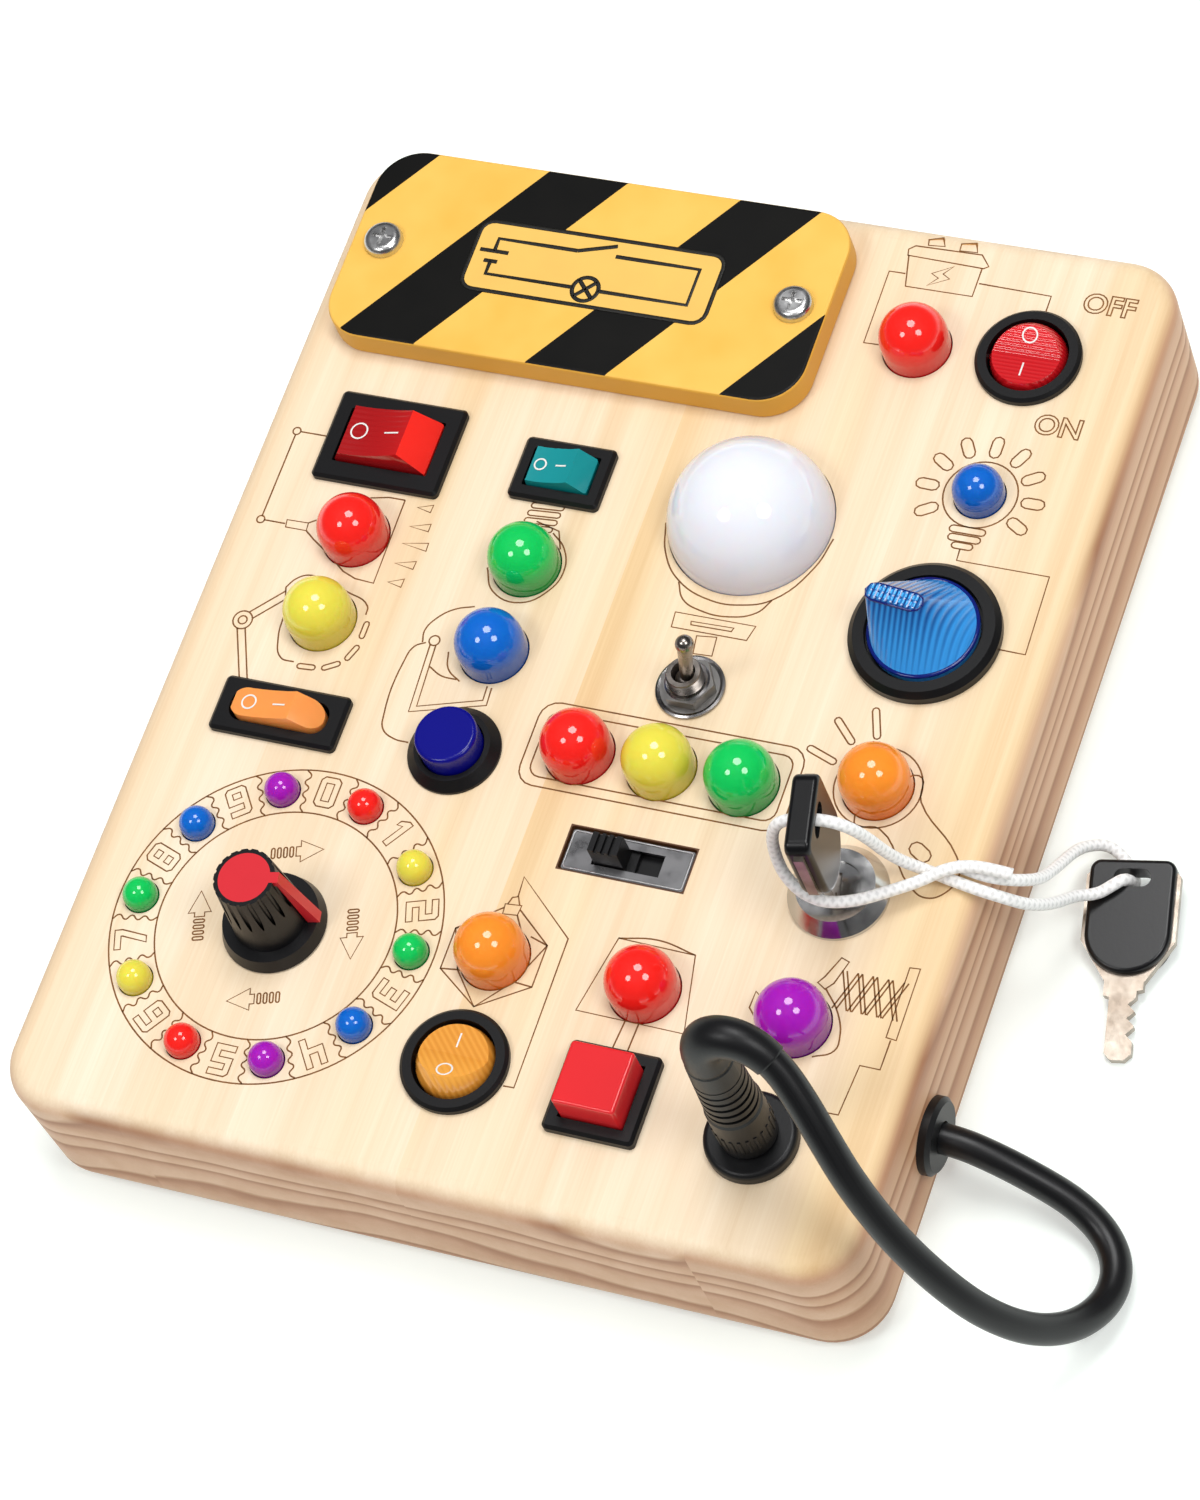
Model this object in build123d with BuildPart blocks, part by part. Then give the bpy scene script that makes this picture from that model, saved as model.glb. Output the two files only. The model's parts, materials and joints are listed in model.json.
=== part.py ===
from build123d import *
import math
import os

os.makedirs("parts", exist_ok=True)

# Frame: +X to the right, +Y away from the user, +Z up; origin under the board's centre.

# ---- wooden board ----
BOARD_WIDTH = 190.0
BOARD_LENGTH = 240.0
BOARD_THICKNESS = 36.5
BOARD_CORNER_RADIUS = 12.5
BOARD_EDGE_ROUND = 4.5
FACE_THICKNESS = 7.0
SIDE_WALL = 11.0
CAVITY_CORNER_RADIUS = 9.0
FACE_TOP = BOARD_THICKNESS
FACE_UNDER = FACE_TOP - FACE_THICKNESS
CAVITY_WIDTH = BOARD_WIDTH - 2 * SIDE_WALL
CAVITY_LENGTH = BOARD_LENGTH - 2 * SIDE_WALL

# ---- nuts under the face, and the tolerance for finding an edge ----
NUT_WALL = 2.2
NUT_HEIGHT = 2.5
NEAR = 0.1



def spot(across, along):
    """A place on the face, as shares of the board's width and length from its centre."""
    return (across * BOARD_WIDTH, along * BOARD_LENGTH)


# ---- clearances ----
PANEL_GAP = 0.2
SEAT_GAP = 0.05
SOFT_GAP = 0.3
PIN_GAP = 0.05

# ---- back panel ----
BACK_PANEL_THICKNESS = 4.0
BACK_PANEL_RECESS = 0.5
BACK_PANEL_LIP = 6.0
BACK_PANEL_CORNER_RADIUS = 8.0
BACK_SCREW_INSET = 2.8
BACK_SCREW_SHANK_RADIUS = 1.1
BACK_SCREW_HEAD_RADIUS = 2.2
BACK_SCREW_HEAD_DEPTH = 1.3
BACK_SCREW_LENGTH = 12.0
BACK_SCREW_CROSS = 2.6
BACK_SCREW_CROSS_WIDTH = 0.7
BACK_SCREW_CROSS_DEPTH = 0.6

# ---- battery cover, tray and cells ----
COVER_X, COVER_Y = spot(-0.16974, 0.37917)
COVER_WIDTH = 112.5
COVER_LENGTH = 48.8
COVER_THICKNESS = 7.0
COVER_CORNER_RADIUS = 10.0
COVER_EDGE_ROUND = 0.8
COVER_SCREW_SPACING = 97.0
COVER_SCREW_SHANK_RADIUS = 1.5
COVER_SCREW_HEAD_RADIUS = 4.4
COVER_SCREW_HEAD_HEIGHT = 2.4
COVER_SCREW_BITE = 6.0
COVER_SCREW_CROSS = 4.6
COVER_SCREW_CROSS_WIDTH = 0.9
COVER_SCREW_ROUND = 1.7
CELL_RADIUS = 5.2
CELL_LENGTH = 44.5
CELL_NIPPLE_RADIUS = 1.9
CELL_NIPPLE_LENGTH = 0.8
CELL_COUNT = 3
CELL_GAP = 0.3
TRAY_WALL = 1.4
TRAY_CAVITY_GAP = 0.4
TRAY_HOLE_CORNER = 2.0
TRAY_END_ROOM = 2.6
TRAY_FLANGE = 7.0
TRAY_FLANGE_THICKNESS = 1.6
CONTACT_THICKNESS = 0.4
CONTACT_WIDTH = 7.0
CONTACT_BUTTON_RADIUS = 2.5

# ---- lamps ----
LAMP_RADIUS = 7.5
LAMP_RISE = 4.1
BULB_LAMP_RADIUS = 5.5
BULB_LAMP_RISE = 2.5
DIAL_LAMP_RADIUS = 3.7
DIAL_LAMP_RISE = 1.2
GLOBE_RADIUS = 18.0
LAMP_WALL = 1.2
LAMP_FLANGE = 1.3
LAMP_FLANGE_THICKNESS = 1.0
DIAL_LAMP_FLANGE = 0.8
LED_BOARD_THICKNESS = 1.6
LED_RADIUS = 2.5
LED_HEIGHT = 8.6
DIAL_LED_RADIUS = 1.5
DIAL_LED_HEIGHT = 5.2

TORCH_LAMP = spot(-0.33474, 0.09125)
COIL_LAMP = spot(-0.12316, 0.09250)
DESK_LAMP = spot(-0.33474, 0.00375)
HELMET_LAMP = spot(-0.12263, 0.00375)
TRAFFIC_X, TRAFFIC_Y = spot(0.11368, -0.07583)
TRAFFIC_PITCH = 18.4
HAND_LAMP = spot(0.35684, -0.05500)
WALL_LAMP = spot(0.35684, -0.28167)
BATTERY_LAMP = spot(0.22789, 0.37375)
BULB_LAMP = spot(0.35684, 0.23750)
PENDANT_LAMP = spot(0.00789, -0.27833)
SHADE_LAMP = spot(0.18421, -0.27958)
GLOBE_LAMP = spot(0.11263, 0.17500)

# ---- rotary dial ----
DIAL_RING_OF_WIDTH = 0.16474
DIAL_RING_OF_LENGTH = 0.13042
DIAL_STEP = 36.0
DIAL_FIRST_ANGLE = 108.0
DIAL_BOARD_WIDTH = 9.4
DIAL_SIDE_GAP = 0.5
DIAL_END_GAP = 3.2
DIAL_LAMP_RING = min(DIAL_RING_OF_WIDTH * BOARD_WIDTH, DIAL_RING_OF_LENGTH * BOARD_LENGTH)
DIAL_BOARD_RADIUS = DIAL_LAMP_RING + DIAL_BOARD_WIDTH / 2
DIAL_X = DIAL_BOARD_RADIUS + DIAL_SIDE_GAP - CAVITY_WIDTH / 2
DIAL_Y = DIAL_BOARD_RADIUS + DIAL_END_GAP - CAVITY_LENGTH / 2
DIAL_SHAFT_RADIUS = 3.0
DIAL_BUSH_RADIUS = 4.5
DIAL_BUSH_RISE = 2.0
DIAL_SWITCH_RADIUS = 12.5
DIAL_SWITCH_HEIGHT = 10.0
DIAL_SWITCH_FLOOR = 2.0
DIAL_TERMINAL_WIDTH = 2.0
KNOB_SKIRT_RADIUS = 11.4
KNOB_SKIRT_HEIGHT = 3.0
KNOB_SKIRT_TAPER = 18.0
KNOB_POINTER_THICKNESS = 0.8
KNOB_POINTER_SET_BACK = 0.4
KNOB_BASE_RADIUS = 8.3
KNOB_TOP_RADIUS = 6.6
KNOB_HEIGHT = 21.0
KNOB_FACE_GAP = 0.5
KNOB_BUSH_ROOM = 0.4
KNOB_FLUTES = 18
KNOB_FLUTE_RADIUS = 0.55
KNOB_CAP_RADIUS = 5.6
KNOB_CAP_DEPTH = 1.6
KNOB_POINTER_WIDTH = 2.4
KNOB_POINTER_ANGLE = 12.0
KNOB_ROOF = 4.0

# ---- rocker switches, all kinds ----
ROCKER_HALF_TILT = 11.5
ROCKER_PIVOT_DROP = 3.4
ROCKER_RIM_RISE = 0.6
ROCKER_BOTTOM = 5.0
ROCKER_END_GAP = 0.35
ROCKER_SIDE_GAP = 0.3
ROCKER_PIN_RADIUS = 1.0
ROCKER_PIN_LENGTH = 0.9
BEZEL_HEIGHT = 2.0
BEZEL_CHAMFER = 0.7
BEZEL_CORNER = 1.2
ROCKER_CORNER = 0.4
SLIM_ROCKER_CORNER = 3.3
ROCKER_TRIM = 1.0
SWITCH_DEPTH = 18.0
POCKET_DEPTH = 11.5
TERMINAL_LENGTH = 6.5
TERMINAL_WIDTH = 4.8
TERMINAL_THICKNESS = 0.8
TERMINAL_PITCH = 6.6
SMALL_TERMINAL_PITCH = 4.0

WIDE_ROCKER = spot(-0.33632, 0.18708)
WIDE_BEZEL = (30.0, 22.0)
WIDE_BODY = (27.0, 20.0)
WIDE_POCKET = (22.6, 13.6)
SMALL_ROCKER = spot(-0.12105, 0.18708)
SMALL_BEZEL = (21.0, 15.0)
SMALL_BODY = (18.8, 13.0)
SMALL_POCKET = (15.6, 9.4)
SLIM_ROCKER = spot(-0.33789, -0.09542)
SLIM_BEZEL = (29.5, 13.0)
SLIM_BODY = (27.0, 11.0)
SLIM_POCKET = (23.0, 7.6)

ROUND_BEZEL_RADIUS = 11.5
ROUND_BODY_RADIUS = 10.0
ROUND_POCKET_RADIUS = 8.9
ROUND_PIN_RADIUS = 0.8
ROUND_PIN_LENGTH = 0.6
RED_ROUND_ROCKER = spot(0.35842, 0.37917)
AMBER_ROUND_ROCKER = spot(0.00895, -0.38000)

# ---- rotary selector ----
SELECTOR = spot(0.35158, 0.09458)
SELECTOR_BEZEL_RADIUS = 16.2
SELECTOR_BEZEL_HEIGHT = 3.2
SELECTOR_RECESS_DEPTH = 1.9
SELECTOR_BODY_RADIUS = 11.0
SELECTOR_BODY_DEPTH = 17.0
SELECTOR_KNOB_RADIUS = 12.3
SELECTOR_KNOB_BASE = 2.4
SELECTOR_CHAMFER = 1.2
SELECTOR_KNOB_ROUND = 0.5
SELECTOR_RIDGE = (13.0, 4.2)
SELECTOR_RIDGE_CORNER = 1.4
SELECTOR_RIDGE_SET_OUT = 5.2
SELECTOR_RIDGE_HEIGHT = 9.8
SELECTOR_RIDGE_ANGLE = 163.0
SELECTOR_STEM_RADIUS = 4.0
SELECTOR_STEM_LENGTH = 10.0

# ---- toggle switch ----
TOGGLE = spot(0.11368, 0.00417)
TOGGLE_BODY = (13.2, 8.0)
TOGGLE_BODY_DEPTH = 10.0
TOGGLE_BUSH_RADIUS = 3.6
TOGGLE_BUSH_RISE = 7.0
TOGGLE_BORE_RADIUS = 2.6
TOGGLE_PIVOT_RISE = 3.6
TOGGLE_BALL_RADIUS = 2.52
TOGGLE_STEM_RADIUS = 1.3
TOGGLE_NECK_RADIUS = 1.65
TOGGLE_TAIL_RADIUS = 0.84
TOGGLE_TIP_RADIUS = 2.0
TOGGLE_TIP_REACH = 16.7
TOGGLE_TAIL = 3.0
TOGGLE_TILT = 12.5
TOGGLE_WASHER_RADIUS = 7.3
TOGGLE_WASHER_THICKNESS = 0.8
TOGGLE_NUT_FLATS = 10.4
TOGGLE_NUT_HEIGHT = 2.6

# ---- slide switch ----
SLIDE = spot(0.11263, -0.16500)
SLIDE_FRAME = (27.2, 9.2)
SLIDE_FRAME_THICKNESS = 0.8
SLIDE_SET_BACK = 0.7
SLIDE_POCKET_GAP = 0.4
SLIDE_CORNER = 0.6
SLIDE_END_GAP = 0.25
SLIDE_SLOT = (15.0, 5.0)
SLIDE_BODY = (19.0, 7.2)
SLIDE_BODY_DEPTH = 14.0
SLIDE_TRAVEL = 7.0
SLIDE_KNOB = (6.6, 4.4)
SLIDE_KNOB_RISE = 6.1
SLIDE_SHOE = (10.5, 5.4)
SLIDE_SHOE_THICKNESS = 1.4
SLIDE_KNOB_RIBS = 4
SLIDE_KNOB_GROOVE = 1.0

# ---- round push button ----
PUSH = spot(-0.12368, -0.09750)
PUSH_BEZEL_RADIUS = 10.2
PUSH_BEZEL_HEIGHT = 2.6
PUSH_BEZEL_SLOPE = 1.9
PUSH_BODY_RADIUS = 7.9
PUSH_BODY_DEPTH = 20.0
PUSH_CAP_RADIUS = 6.8
PUSH_CAP_RISE = 5.4
PUSH_CAP_ROUND = 0.9
PUSH_TRAVEL = 2.5

# ---- square push button ----
SQUARE = spot(0.18158, -0.38083)
SQUARE_BEZEL = 20.0
SQUARE_BEZEL_HEIGHT = 2.4
SQUARE_BODY = 17.6
SQUARE_BODY_DEPTH = 20.0
SQUARE_CAP = 13.8
SQUARE_CAP_RISE = 7.0
SQUARE_CAP_CORNER = 0.8
SQUARE_CAP_ROUND = 0.6
SQUARE_TRAVEL = 3.0
BUTTON_SIDE_GAP = 0.3
BUTTON_GUIDE = 5.0
BUTTON_STEM_RADIUS = 2.0
BUTTON_STEM_GAP = 0.08
BUTTON_STEM_BITE = 2.5

# ---- key lock and keys ----
LOCK = spot(0.35526, -0.15833)
LOCK_FLANGE_RADIUS = 10.6
LOCK_FLANGE_EDGE = 0.9
LOCK_FACE_RADIUS = 8.3
LOCK_RISE = 4.0
LOCK_BODY_RADIUS = 8.6
LOCK_BODY_DEPTH = 20.0
LOCK_FLOOR = 2.0
LOCK_CORE_RADIUS = 5.3
LOCK_CORE_SET_BACK = 0.4
LOCK_CORE_GAP = 0.06
LOCK_TURN_REST = 11.7
KEY_LENGTH = 43.0
KEY_INSERTION = 10.5
KEY_PLATE_THICKNESS = 2.0
KEY_PLATE_WIDTH = 19.6
KEY_PLATE_TOP = 1.6
KEY_SHOULDER = 17.4
KEY_NECK = 26.2
KEY_NECK_WIDTH = 8.2
KEY_STOP_NEAR = 27.8
KEY_STOP_FAR = 29.2
KEY_STOP_SLOPE = 0.3
KEY_PLATE_CORNER = 1.5
KEY_BLADE_WIDTH = 5.6
KEY_HEAD_WIDTH = 18.0
KEY_HEAD_LENGTH = 24.8
KEY_HEAD_THICKNESS = 5.4
KEY_HEAD_ROUND = 1.0
KEY_HEAD_CORNER = 2.4
KEY_SLOT_CENTRE = 4.1
KEY_SLOT_LENGTH = 7.8
KEY_SLOT_HEIGHT = 3.9
KEY_SLOT_RIM = 1.0
KEY_NOTCHES = (31.0, 34.0, 37.5)
KEY_NOTCH_DEPTH = 1.1
KEYWAY_GAP = 0.1
SPARE_KEY_TOP = (BOARD_WIDTH / 2 + 20.2, -4.8, 5.9)
SPARE_KEY_HEADING = -79.6
SPARE_KEY_TILT = 6.3

# ---- plug lead ----
SOCKET = spot(0.35474, -0.39000)
SOCKET_FLANGE_RADIUS = 9.7
SOCKET_FLANGE_HEIGHT = 3.0
SOCKET_BODY_RADIUS = 6.0
SOCKET_ROUND = 1.2
SOCKET_DEPTH = 16.0
PLUG_PIN_RADIUS = 2.75
PLUG_PIN_LENGTH = 9.5
PLUG_PIN_GAP = 0.08
PLUG_PIN_ROOT = 3.0
PLUG_PIN_CHAMFER = 0.4
PLUG_EDGE = 0.7
PLUG_BODY_RADIUS = 6.0
PLUG_BODY_LENGTH = 14.0
PLUG_BOOT_RADIUS = 5.7
PLUG_BOOT_TOP_RADIUS = 5.0
PLUG_LENGTH = 35.7
PLUG_BOOT_RIBS = 6
PLUG_RIB_PITCH = 2.5
PLUG_RIB_DEPTH = 0.6
PLUG_RIB_WIDTH = 1.0
CABLE_DIAMETER = 6.5
GROMMET_Y = -76.5
GROMMET_Z = 15.5
GROMMET_FLANGE_RADIUS = 8.2
GROMMET_FLANGE_THICKNESS = 2.6
GROMMET_EDGE = 0.9
GROMMET_NECK_RADIUS = 5.4
GROMMET_INNER_RADIUS = 7.0
GROMMET_INNER_THICKNESS = 2.0
CABLE_BORE_GAP = 0.15
CORD_DIAMETER = 2.5

# The lead's route, from inside the grommet round to the top of the plug.
CABLE_ROUTE = [
    (91.0, GROMMET_Y, GROMMET_Z), (100.0, GROMMET_Y, GROMMET_Z), (109.5, -77.7, 13.3),
    (118.7, -79.2, 9.6),
    (125.4, -80.9, 7.0), (131.2, -83.9, 5.0), (135.4, -88.2, 4.2), (137.4, -93.4, 4.1),
    (137.2, -99.3, 5.2), (134.9, -105.4, 8.5), (131.6, -110.5, 14.2), (127.0, -114.3, 22.0),
    (120.9, -115.9, 31.0), (114.5, -115.2, 40.0), (107.9, -113.2, 49.0), (102.3, -110.3, 57.0),
    (97.6, -107.1, 64.0), (92.9, -102.8, 70.5), (88.4, -98.6, 75.7), (84.2, -95.3, 79.8),
    (80.2, -93.6, 83.0), (76.3, -93.0, 84.8), (72.4, -93.0, 84.8), (69.2, -93.3, 82.9),
    (67.4, -93.6, 79.5), (67.4, -93.6, 75.5),
]

# The key cord's route: one open loop through the slots of both keys, its two ends side by side.
CORD_ROUTE = [
    (102.0, -28.0, 39.8), (97.3, -28.2, 41.1), (92.6, -28.8, 41.5), (88.6, -30.7, 41.7),
    (84.4, -33.9, 41.0), (79.6, -37.6, 42.0), (74.2, -41.6, 43.2), (68.6, -44.1, 44.6),
    (64.0, -44.2, 47.0), (60.5, -42.7, 50.6), (58.9, -40.7, 55.0), (59.1, -39.6, 61.0),
    (60.9, -39.0, 66.0), (64.2, -38.5, 68.6), (70.8, -37.3, 68.7), (74.8, -36.4, 66.0),
    (77.1, -34.7, 59.0), (78.7, -33.0, 49.8), (80.8, -31.4, 43.2), (84.0, -30.3, 39.2),
    (88.8, -30.9, 38.2), (94.8, -31.8, 38.0), (100.2, -31.3, 35.2), (103.8, -28.6, 28.0),
    (105.6, -23.2, 19.2), (106.8, -17.6, 12.4), (110.4, -14.8, 9.1), (113.0, -12.3, 9.5),
    (114.6, -10.2, 9.0), (115.4, -9.0, 6.0), (115.5, -8.4, 2.6), (114.4, -5.8, 1.4),
    (111.3, -2.2, 1.8), (107.4, -0.6, 3.2), (104.1, -3.1, 6.2), (102.9, -7.1, 10.2),
    (102.8, -13.3, 16.0), (102.9, -20.5, 24.0), (102.0, -25.4, 32.2), (98.6, -28.4, 37.2),
    (94.0, -28.6, 38.3), (89.8, -27.7, 38.25),
]

# ---- values worked out from those above ----
REBATE_WIDTH = BOARD_WIDTH - 2 * BACK_PANEL_LIP
REBATE_LENGTH = BOARD_LENGTH - 2 * BACK_PANEL_LIP
REBATE_DEPTH = BACK_PANEL_RECESS + BACK_PANEL_THICKNESS
BACK_PANEL_WIDTH = REBATE_WIDTH - 2 * PANEL_GAP
BACK_PANEL_LENGTH = REBATE_LENGTH - 2 * PANEL_GAP
BACK_SCREW_X = REBATE_WIDTH / 2 - BACK_SCREW_INSET
BACK_SCREW_Y = REBATE_LENGTH / 2 - BACK_SCREW_INSET
BACK_SCREWS = [(sx * BACK_SCREW_X, sy * BACK_SCREW_Y / 2) for sx in (-1, 1) for sy in (-1, 1)]
BACK_SCREWS += [(sx * BACK_SCREW_X / 2, sy * BACK_SCREW_Y) for sx in (-1, 1) for sy in (-1, 1)]
COVER_TOP = FACE_TOP + COVER_THICKNESS
COVER_SCREWS = [(COVER_X + side * COVER_SCREW_SPACING / 2, COVER_Y) for side in (-1, 1)]
TRAY_INNER_LENGTH = CELL_LENGTH + CELL_NIPPLE_LENGTH + 2 * TRAY_END_ROOM
TRAY_INNER_WIDTH = CELL_COUNT * (2 * CELL_RADIUS + CELL_GAP) + CELL_GAP
TRAY_Y = CAVITY_LENGTH / 2 - TRAY_CAVITY_GAP - TRAY_WALL - TRAY_INNER_WIDTH / 2
TRAY_DEPTH = 2 * CELL_RADIUS + TRAY_WALL + SOFT_GAP
TRAY_FLOOR = FACE_UNDER - TRAY_DEPTH + TRAY_WALL
CELL_Z = TRAY_FLOOR + CELL_RADIUS
TRAFFIC_LAMPS = [(TRAFFIC_X + step * TRAFFIC_PITCH, TRAFFIC_Y) for step in (-1, 0, 1)]
RED_LAMPS = [TORCH_LAMP, TRAFFIC_LAMPS[0], BATTERY_LAMP, SHADE_LAMP]
YELLOW_LAMPS = [DESK_LAMP, TRAFFIC_LAMPS[1]]
GREEN_LAMPS = [COIL_LAMP, TRAFFIC_LAMPS[2]]
ORANGE_LAMPS = [HAND_LAMP, PENDANT_LAMP]
BIG_LAMPS = RED_LAMPS + YELLOW_LAMPS + GREEN_LAMPS + ORANGE_LAMPS + [HELMET_LAMP, WALL_LAMP]
DIAL_COLOURS = ["purple", "red", "yellow", "green", "blue"]
SLIDE_FRAME_TOP = FACE_TOP - SLIDE_SET_BACK
SLIDE_SEAT = SLIDE_FRAME_TOP - SLIDE_FRAME_THICKNESS
DIAL_LAMPS = [
    (
        DIAL_X + DIAL_LAMP_RING * math.cos(math.radians(DIAL_FIRST_ANGLE - DIAL_STEP * place)),
        DIAL_Y + DIAL_LAMP_RING * math.sin(math.radians(DIAL_FIRST_ANGLE - DIAL_STEP * place)),
    )
    for place in range(2 * len(DIAL_COLOURS))
]
LED_BOARD_TOP = FACE_UNDER - LAMP_FLANGE_THICKNESS
BEZEL_TOP = FACE_TOP + BEZEL_HEIGHT
SWITCH_BOTTOM = FACE_TOP - SWITCH_DEPTH
ROCKER_PIVOT_Z = BEZEL_TOP - ROCKER_PIVOT_DROP
ROCKER_VALLEY = (ROCKER_PIVOT_DROP + ROCKER_RIM_RISE) / math.cos(math.radians(ROCKER_HALF_TILT))
KNOB_BOTTOM = FACE_TOP + KNOB_FACE_GAP
KNOB_TOP = KNOB_BOTTOM + KNOB_HEIGHT
LOCK_FACE = FACE_TOP + LOCK_RISE
CORE_TOP = LOCK_FACE - LOCK_CORE_SET_BACK
KEY_TOP_Z = CORE_TOP - KEY_INSERTION + KEY_LENGTH
SOCKET_TOP = FACE_TOP + SOCKET_FLANGE_HEIGHT
PLUG_BOTTOM = SOCKET_TOP + SOFT_GAP
PLUG_TOP = PLUG_BOTTOM + PLUG_LENGTH
CABLE_RADIUS = CABLE_DIAMETER / 2
CABLE_ROUTE[-2] = (*SOCKET, CABLE_ROUTE[-2][2])
CABLE_ROUTE[-1] = (*SOCKET, PLUG_TOP)


def keep(piece, label):
    """Label a finished piece and write its STEP file."""
    piece.label = label
    export_step(piece, f"parts/{label}.step")


def arc_radii(route):
    """The radius of each corner's arc, as large as its two runs allow."""
    points = [Vector(*point) for point in route]
    radii = []
    for before, corner, after in zip(points, points[1:], points[2:]):
        arriving, leaving = corner - before, after - corner
        half_turn = math.radians(arriving.get_angle(leaving)) / 2
        radii.append(0.45 * min(arriving.length, leaving.length) / math.tan(half_turn))
    return radii


def cord_tube(route, diameter, label):
    """A round tube along straight runs joined by tangent arcs."""
    radii = arc_radii(route)
    with BuildPart() as tube:
        with BuildLine() as path:
            FilletPolyline(*route, radius=radii)
        with BuildSketch(Plane(origin=path.line @ 0, z_dir=path.line % 0)):
            Circle(diameter / 2)
        sweep()
    length = sum(edge.length for edge in path.edges())
    print(f"{label}: length {length:.1f} mm, radii {[round(radius, 1) for radius in radii]}")
    filled = tube.part.volume / (math.pi * diameter**2 / 4 * length)
    print(f"{label}: volume / (section x length) = {filled:.4f}")
    return tube.part


def lamp_cap(radius, rise, flange):
    """A hollow domed lens at the origin's face plane, held by a flange under the face."""
    with BuildPart() as cap:
        with BuildSketch(Plane.XZ):
            with BuildLine():
                Polyline(
                    (radius - LAMP_WALL, -FACE_THICKNESS - LAMP_FLANGE_THICKNESS),
                    (radius + flange, -FACE_THICKNESS - LAMP_FLANGE_THICKNESS),
                    (radius + flange, -FACE_THICKNESS), (radius, -FACE_THICKNESS), (radius, rise),
                )
                RadiusArc((radius, rise), (0, rise + radius), -radius)
                Line((0, rise + radius), (0, rise + radius - LAMP_WALL))
                RadiusArc((0, rise + radius - LAMP_WALL), (radius - LAMP_WALL, rise), radius - LAMP_WALL)
                Line(
                    (radius - LAMP_WALL, rise),
                    (radius - LAMP_WALL, -FACE_THICKNESS - LAMP_FLANGE_THICKNESS),
                )
            make_face()
        revolve(axis=Axis.Z)
    return cap.part


def lamp_group(centres, radius, rise, flange):
    """Separate lamp caps at the given centres on the face."""
    cap = lamp_cap(radius, rise, flange)
    with BuildPart() as group:
        with Locations(*[(x, y, FACE_TOP) for x, y in centres]):
            add(cap)
    return group.part


def terminals(centre, pitch, count, bottom, along_x=True):
    """Flat solder tabs under a switch, added to the part being built."""
    size = (TERMINAL_THICKNESS, TERMINAL_WIDTH) if along_x else (TERMINAL_WIDTH, TERMINAL_THICKNESS)
    step = (pitch, 0) if along_x else (0, pitch)
    places = [
        (centre[0] + (number - (count - 1) / 2) * step[0], centre[1] + (number - (count - 1) / 2) * step[1])
        for number in range(count)
    ]
    with BuildSketch(Plane.XY.offset(bottom)) as tabs:
        with Locations(*places):
            Rectangle(*size)
    extrude(tabs.sketch, amount=-TERMINAL_LENGTH)


def rocker_plane(centre, along_x, tilt=0.0):
    """The upright plane through a rocker's pivot, across its tilt axis and turned about it."""
    origin = (*centre, ROCKER_PIVOT_Z)
    if along_x:
        return Plane(origin=origin, x_dir=(1, 0, 0), z_dir=(0, -1, 0)).rotated((0, -tilt, 0))
    return Plane(origin=origin, x_dir=(0, 1, 0), z_dir=(1, 0, 0)).rotated((tilt, 0, 0))


def rocker_profile(reach):
    """The points of a rocker's outline: a shallow valley on top, cut flat below the pivot."""
    end_height = ROCKER_VALLEY + reach * math.tan(math.radians(ROCKER_HALF_TILT))
    return [
        (-reach, -ROCKER_BOTTOM), (reach, -ROCKER_BOTTOM), (reach, end_height),
        (0, ROCKER_VALLEY), (-reach, end_height),
    ]


def rocker_housing(centre, bezel, body, pocket, corner):
    """Bezel and body of a rectangular rocker switch, open for its button."""
    with BuildPart() as housing:
        with BuildSketch(Plane.XY.offset(FACE_TOP)):
            with Locations(centre):
                RectangleRounded(*bezel, BEZEL_CORNER)
        extrude(amount=BEZEL_HEIGHT)
        chamfer(housing.faces().sort_by(Axis.Z)[-1].edges(), BEZEL_CHAMFER)
        with BuildSketch(Plane.XY.offset(FACE_TOP)):
            with Locations(centre):
                Rectangle(*body)
        extrude(amount=-SWITCH_DEPTH)
        with BuildSketch(Plane.XY.offset(BEZEL_TOP)):
            with Locations(centre):
                RectangleRounded(*pocket, corner)
        extrude(amount=-POCKET_DEPTH, mode=Mode.SUBTRACT)
        with BuildSketch(rocker_plane(centre, True)):
            Circle(ROCKER_PIN_RADIUS + PIN_GAP)
        extrude(
            amount=pocket[1] / 2 + ROCKER_PIN_LENGTH + PIN_GAP - ROCKER_SIDE_GAP,
            both=True, mode=Mode.SUBTRACT,
        )
        terminals(centre, TERMINAL_PITCH, 3 if body[1] > TERMINAL_WIDTH * 2 else 2, SWITCH_BOTTOM)
    return housing.part


def rocker_button(centre, pocket, corner):
    """A rocker turned about its pins, so that it clears its pocket at any tilt, its left end pressed."""
    reach = pocket[0] / 2 - ROCKER_END_GAP
    half_width = pocket[1] / 2 - ROCKER_SIDE_GAP
    pivot = (*centre, ROCKER_PIVOT_Z)
    plane = rocker_plane(centre, True, ROCKER_HALF_TILT)
    with BuildPart() as button:
        with BuildSketch(Plane(origin=pivot)):
            RectangleRounded(2 * reach, 2 * half_width, corner)
            split(bisect_by=Plane.YZ)
        revolve(axis=Axis(pivot, (0, 1, 0)))
        with BuildSketch(plane):
            Polygon(*rocker_profile(reach + ROCKER_TRIM), align=None)
        extrude(amount=half_width + ROCKER_TRIM, both=True, mode=Mode.INTERSECT)
        with BuildSketch(plane):
            Circle(ROCKER_PIN_RADIUS)
        extrude(amount=half_width + ROCKER_PIN_LENGTH, both=True)
    return button.part


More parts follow.
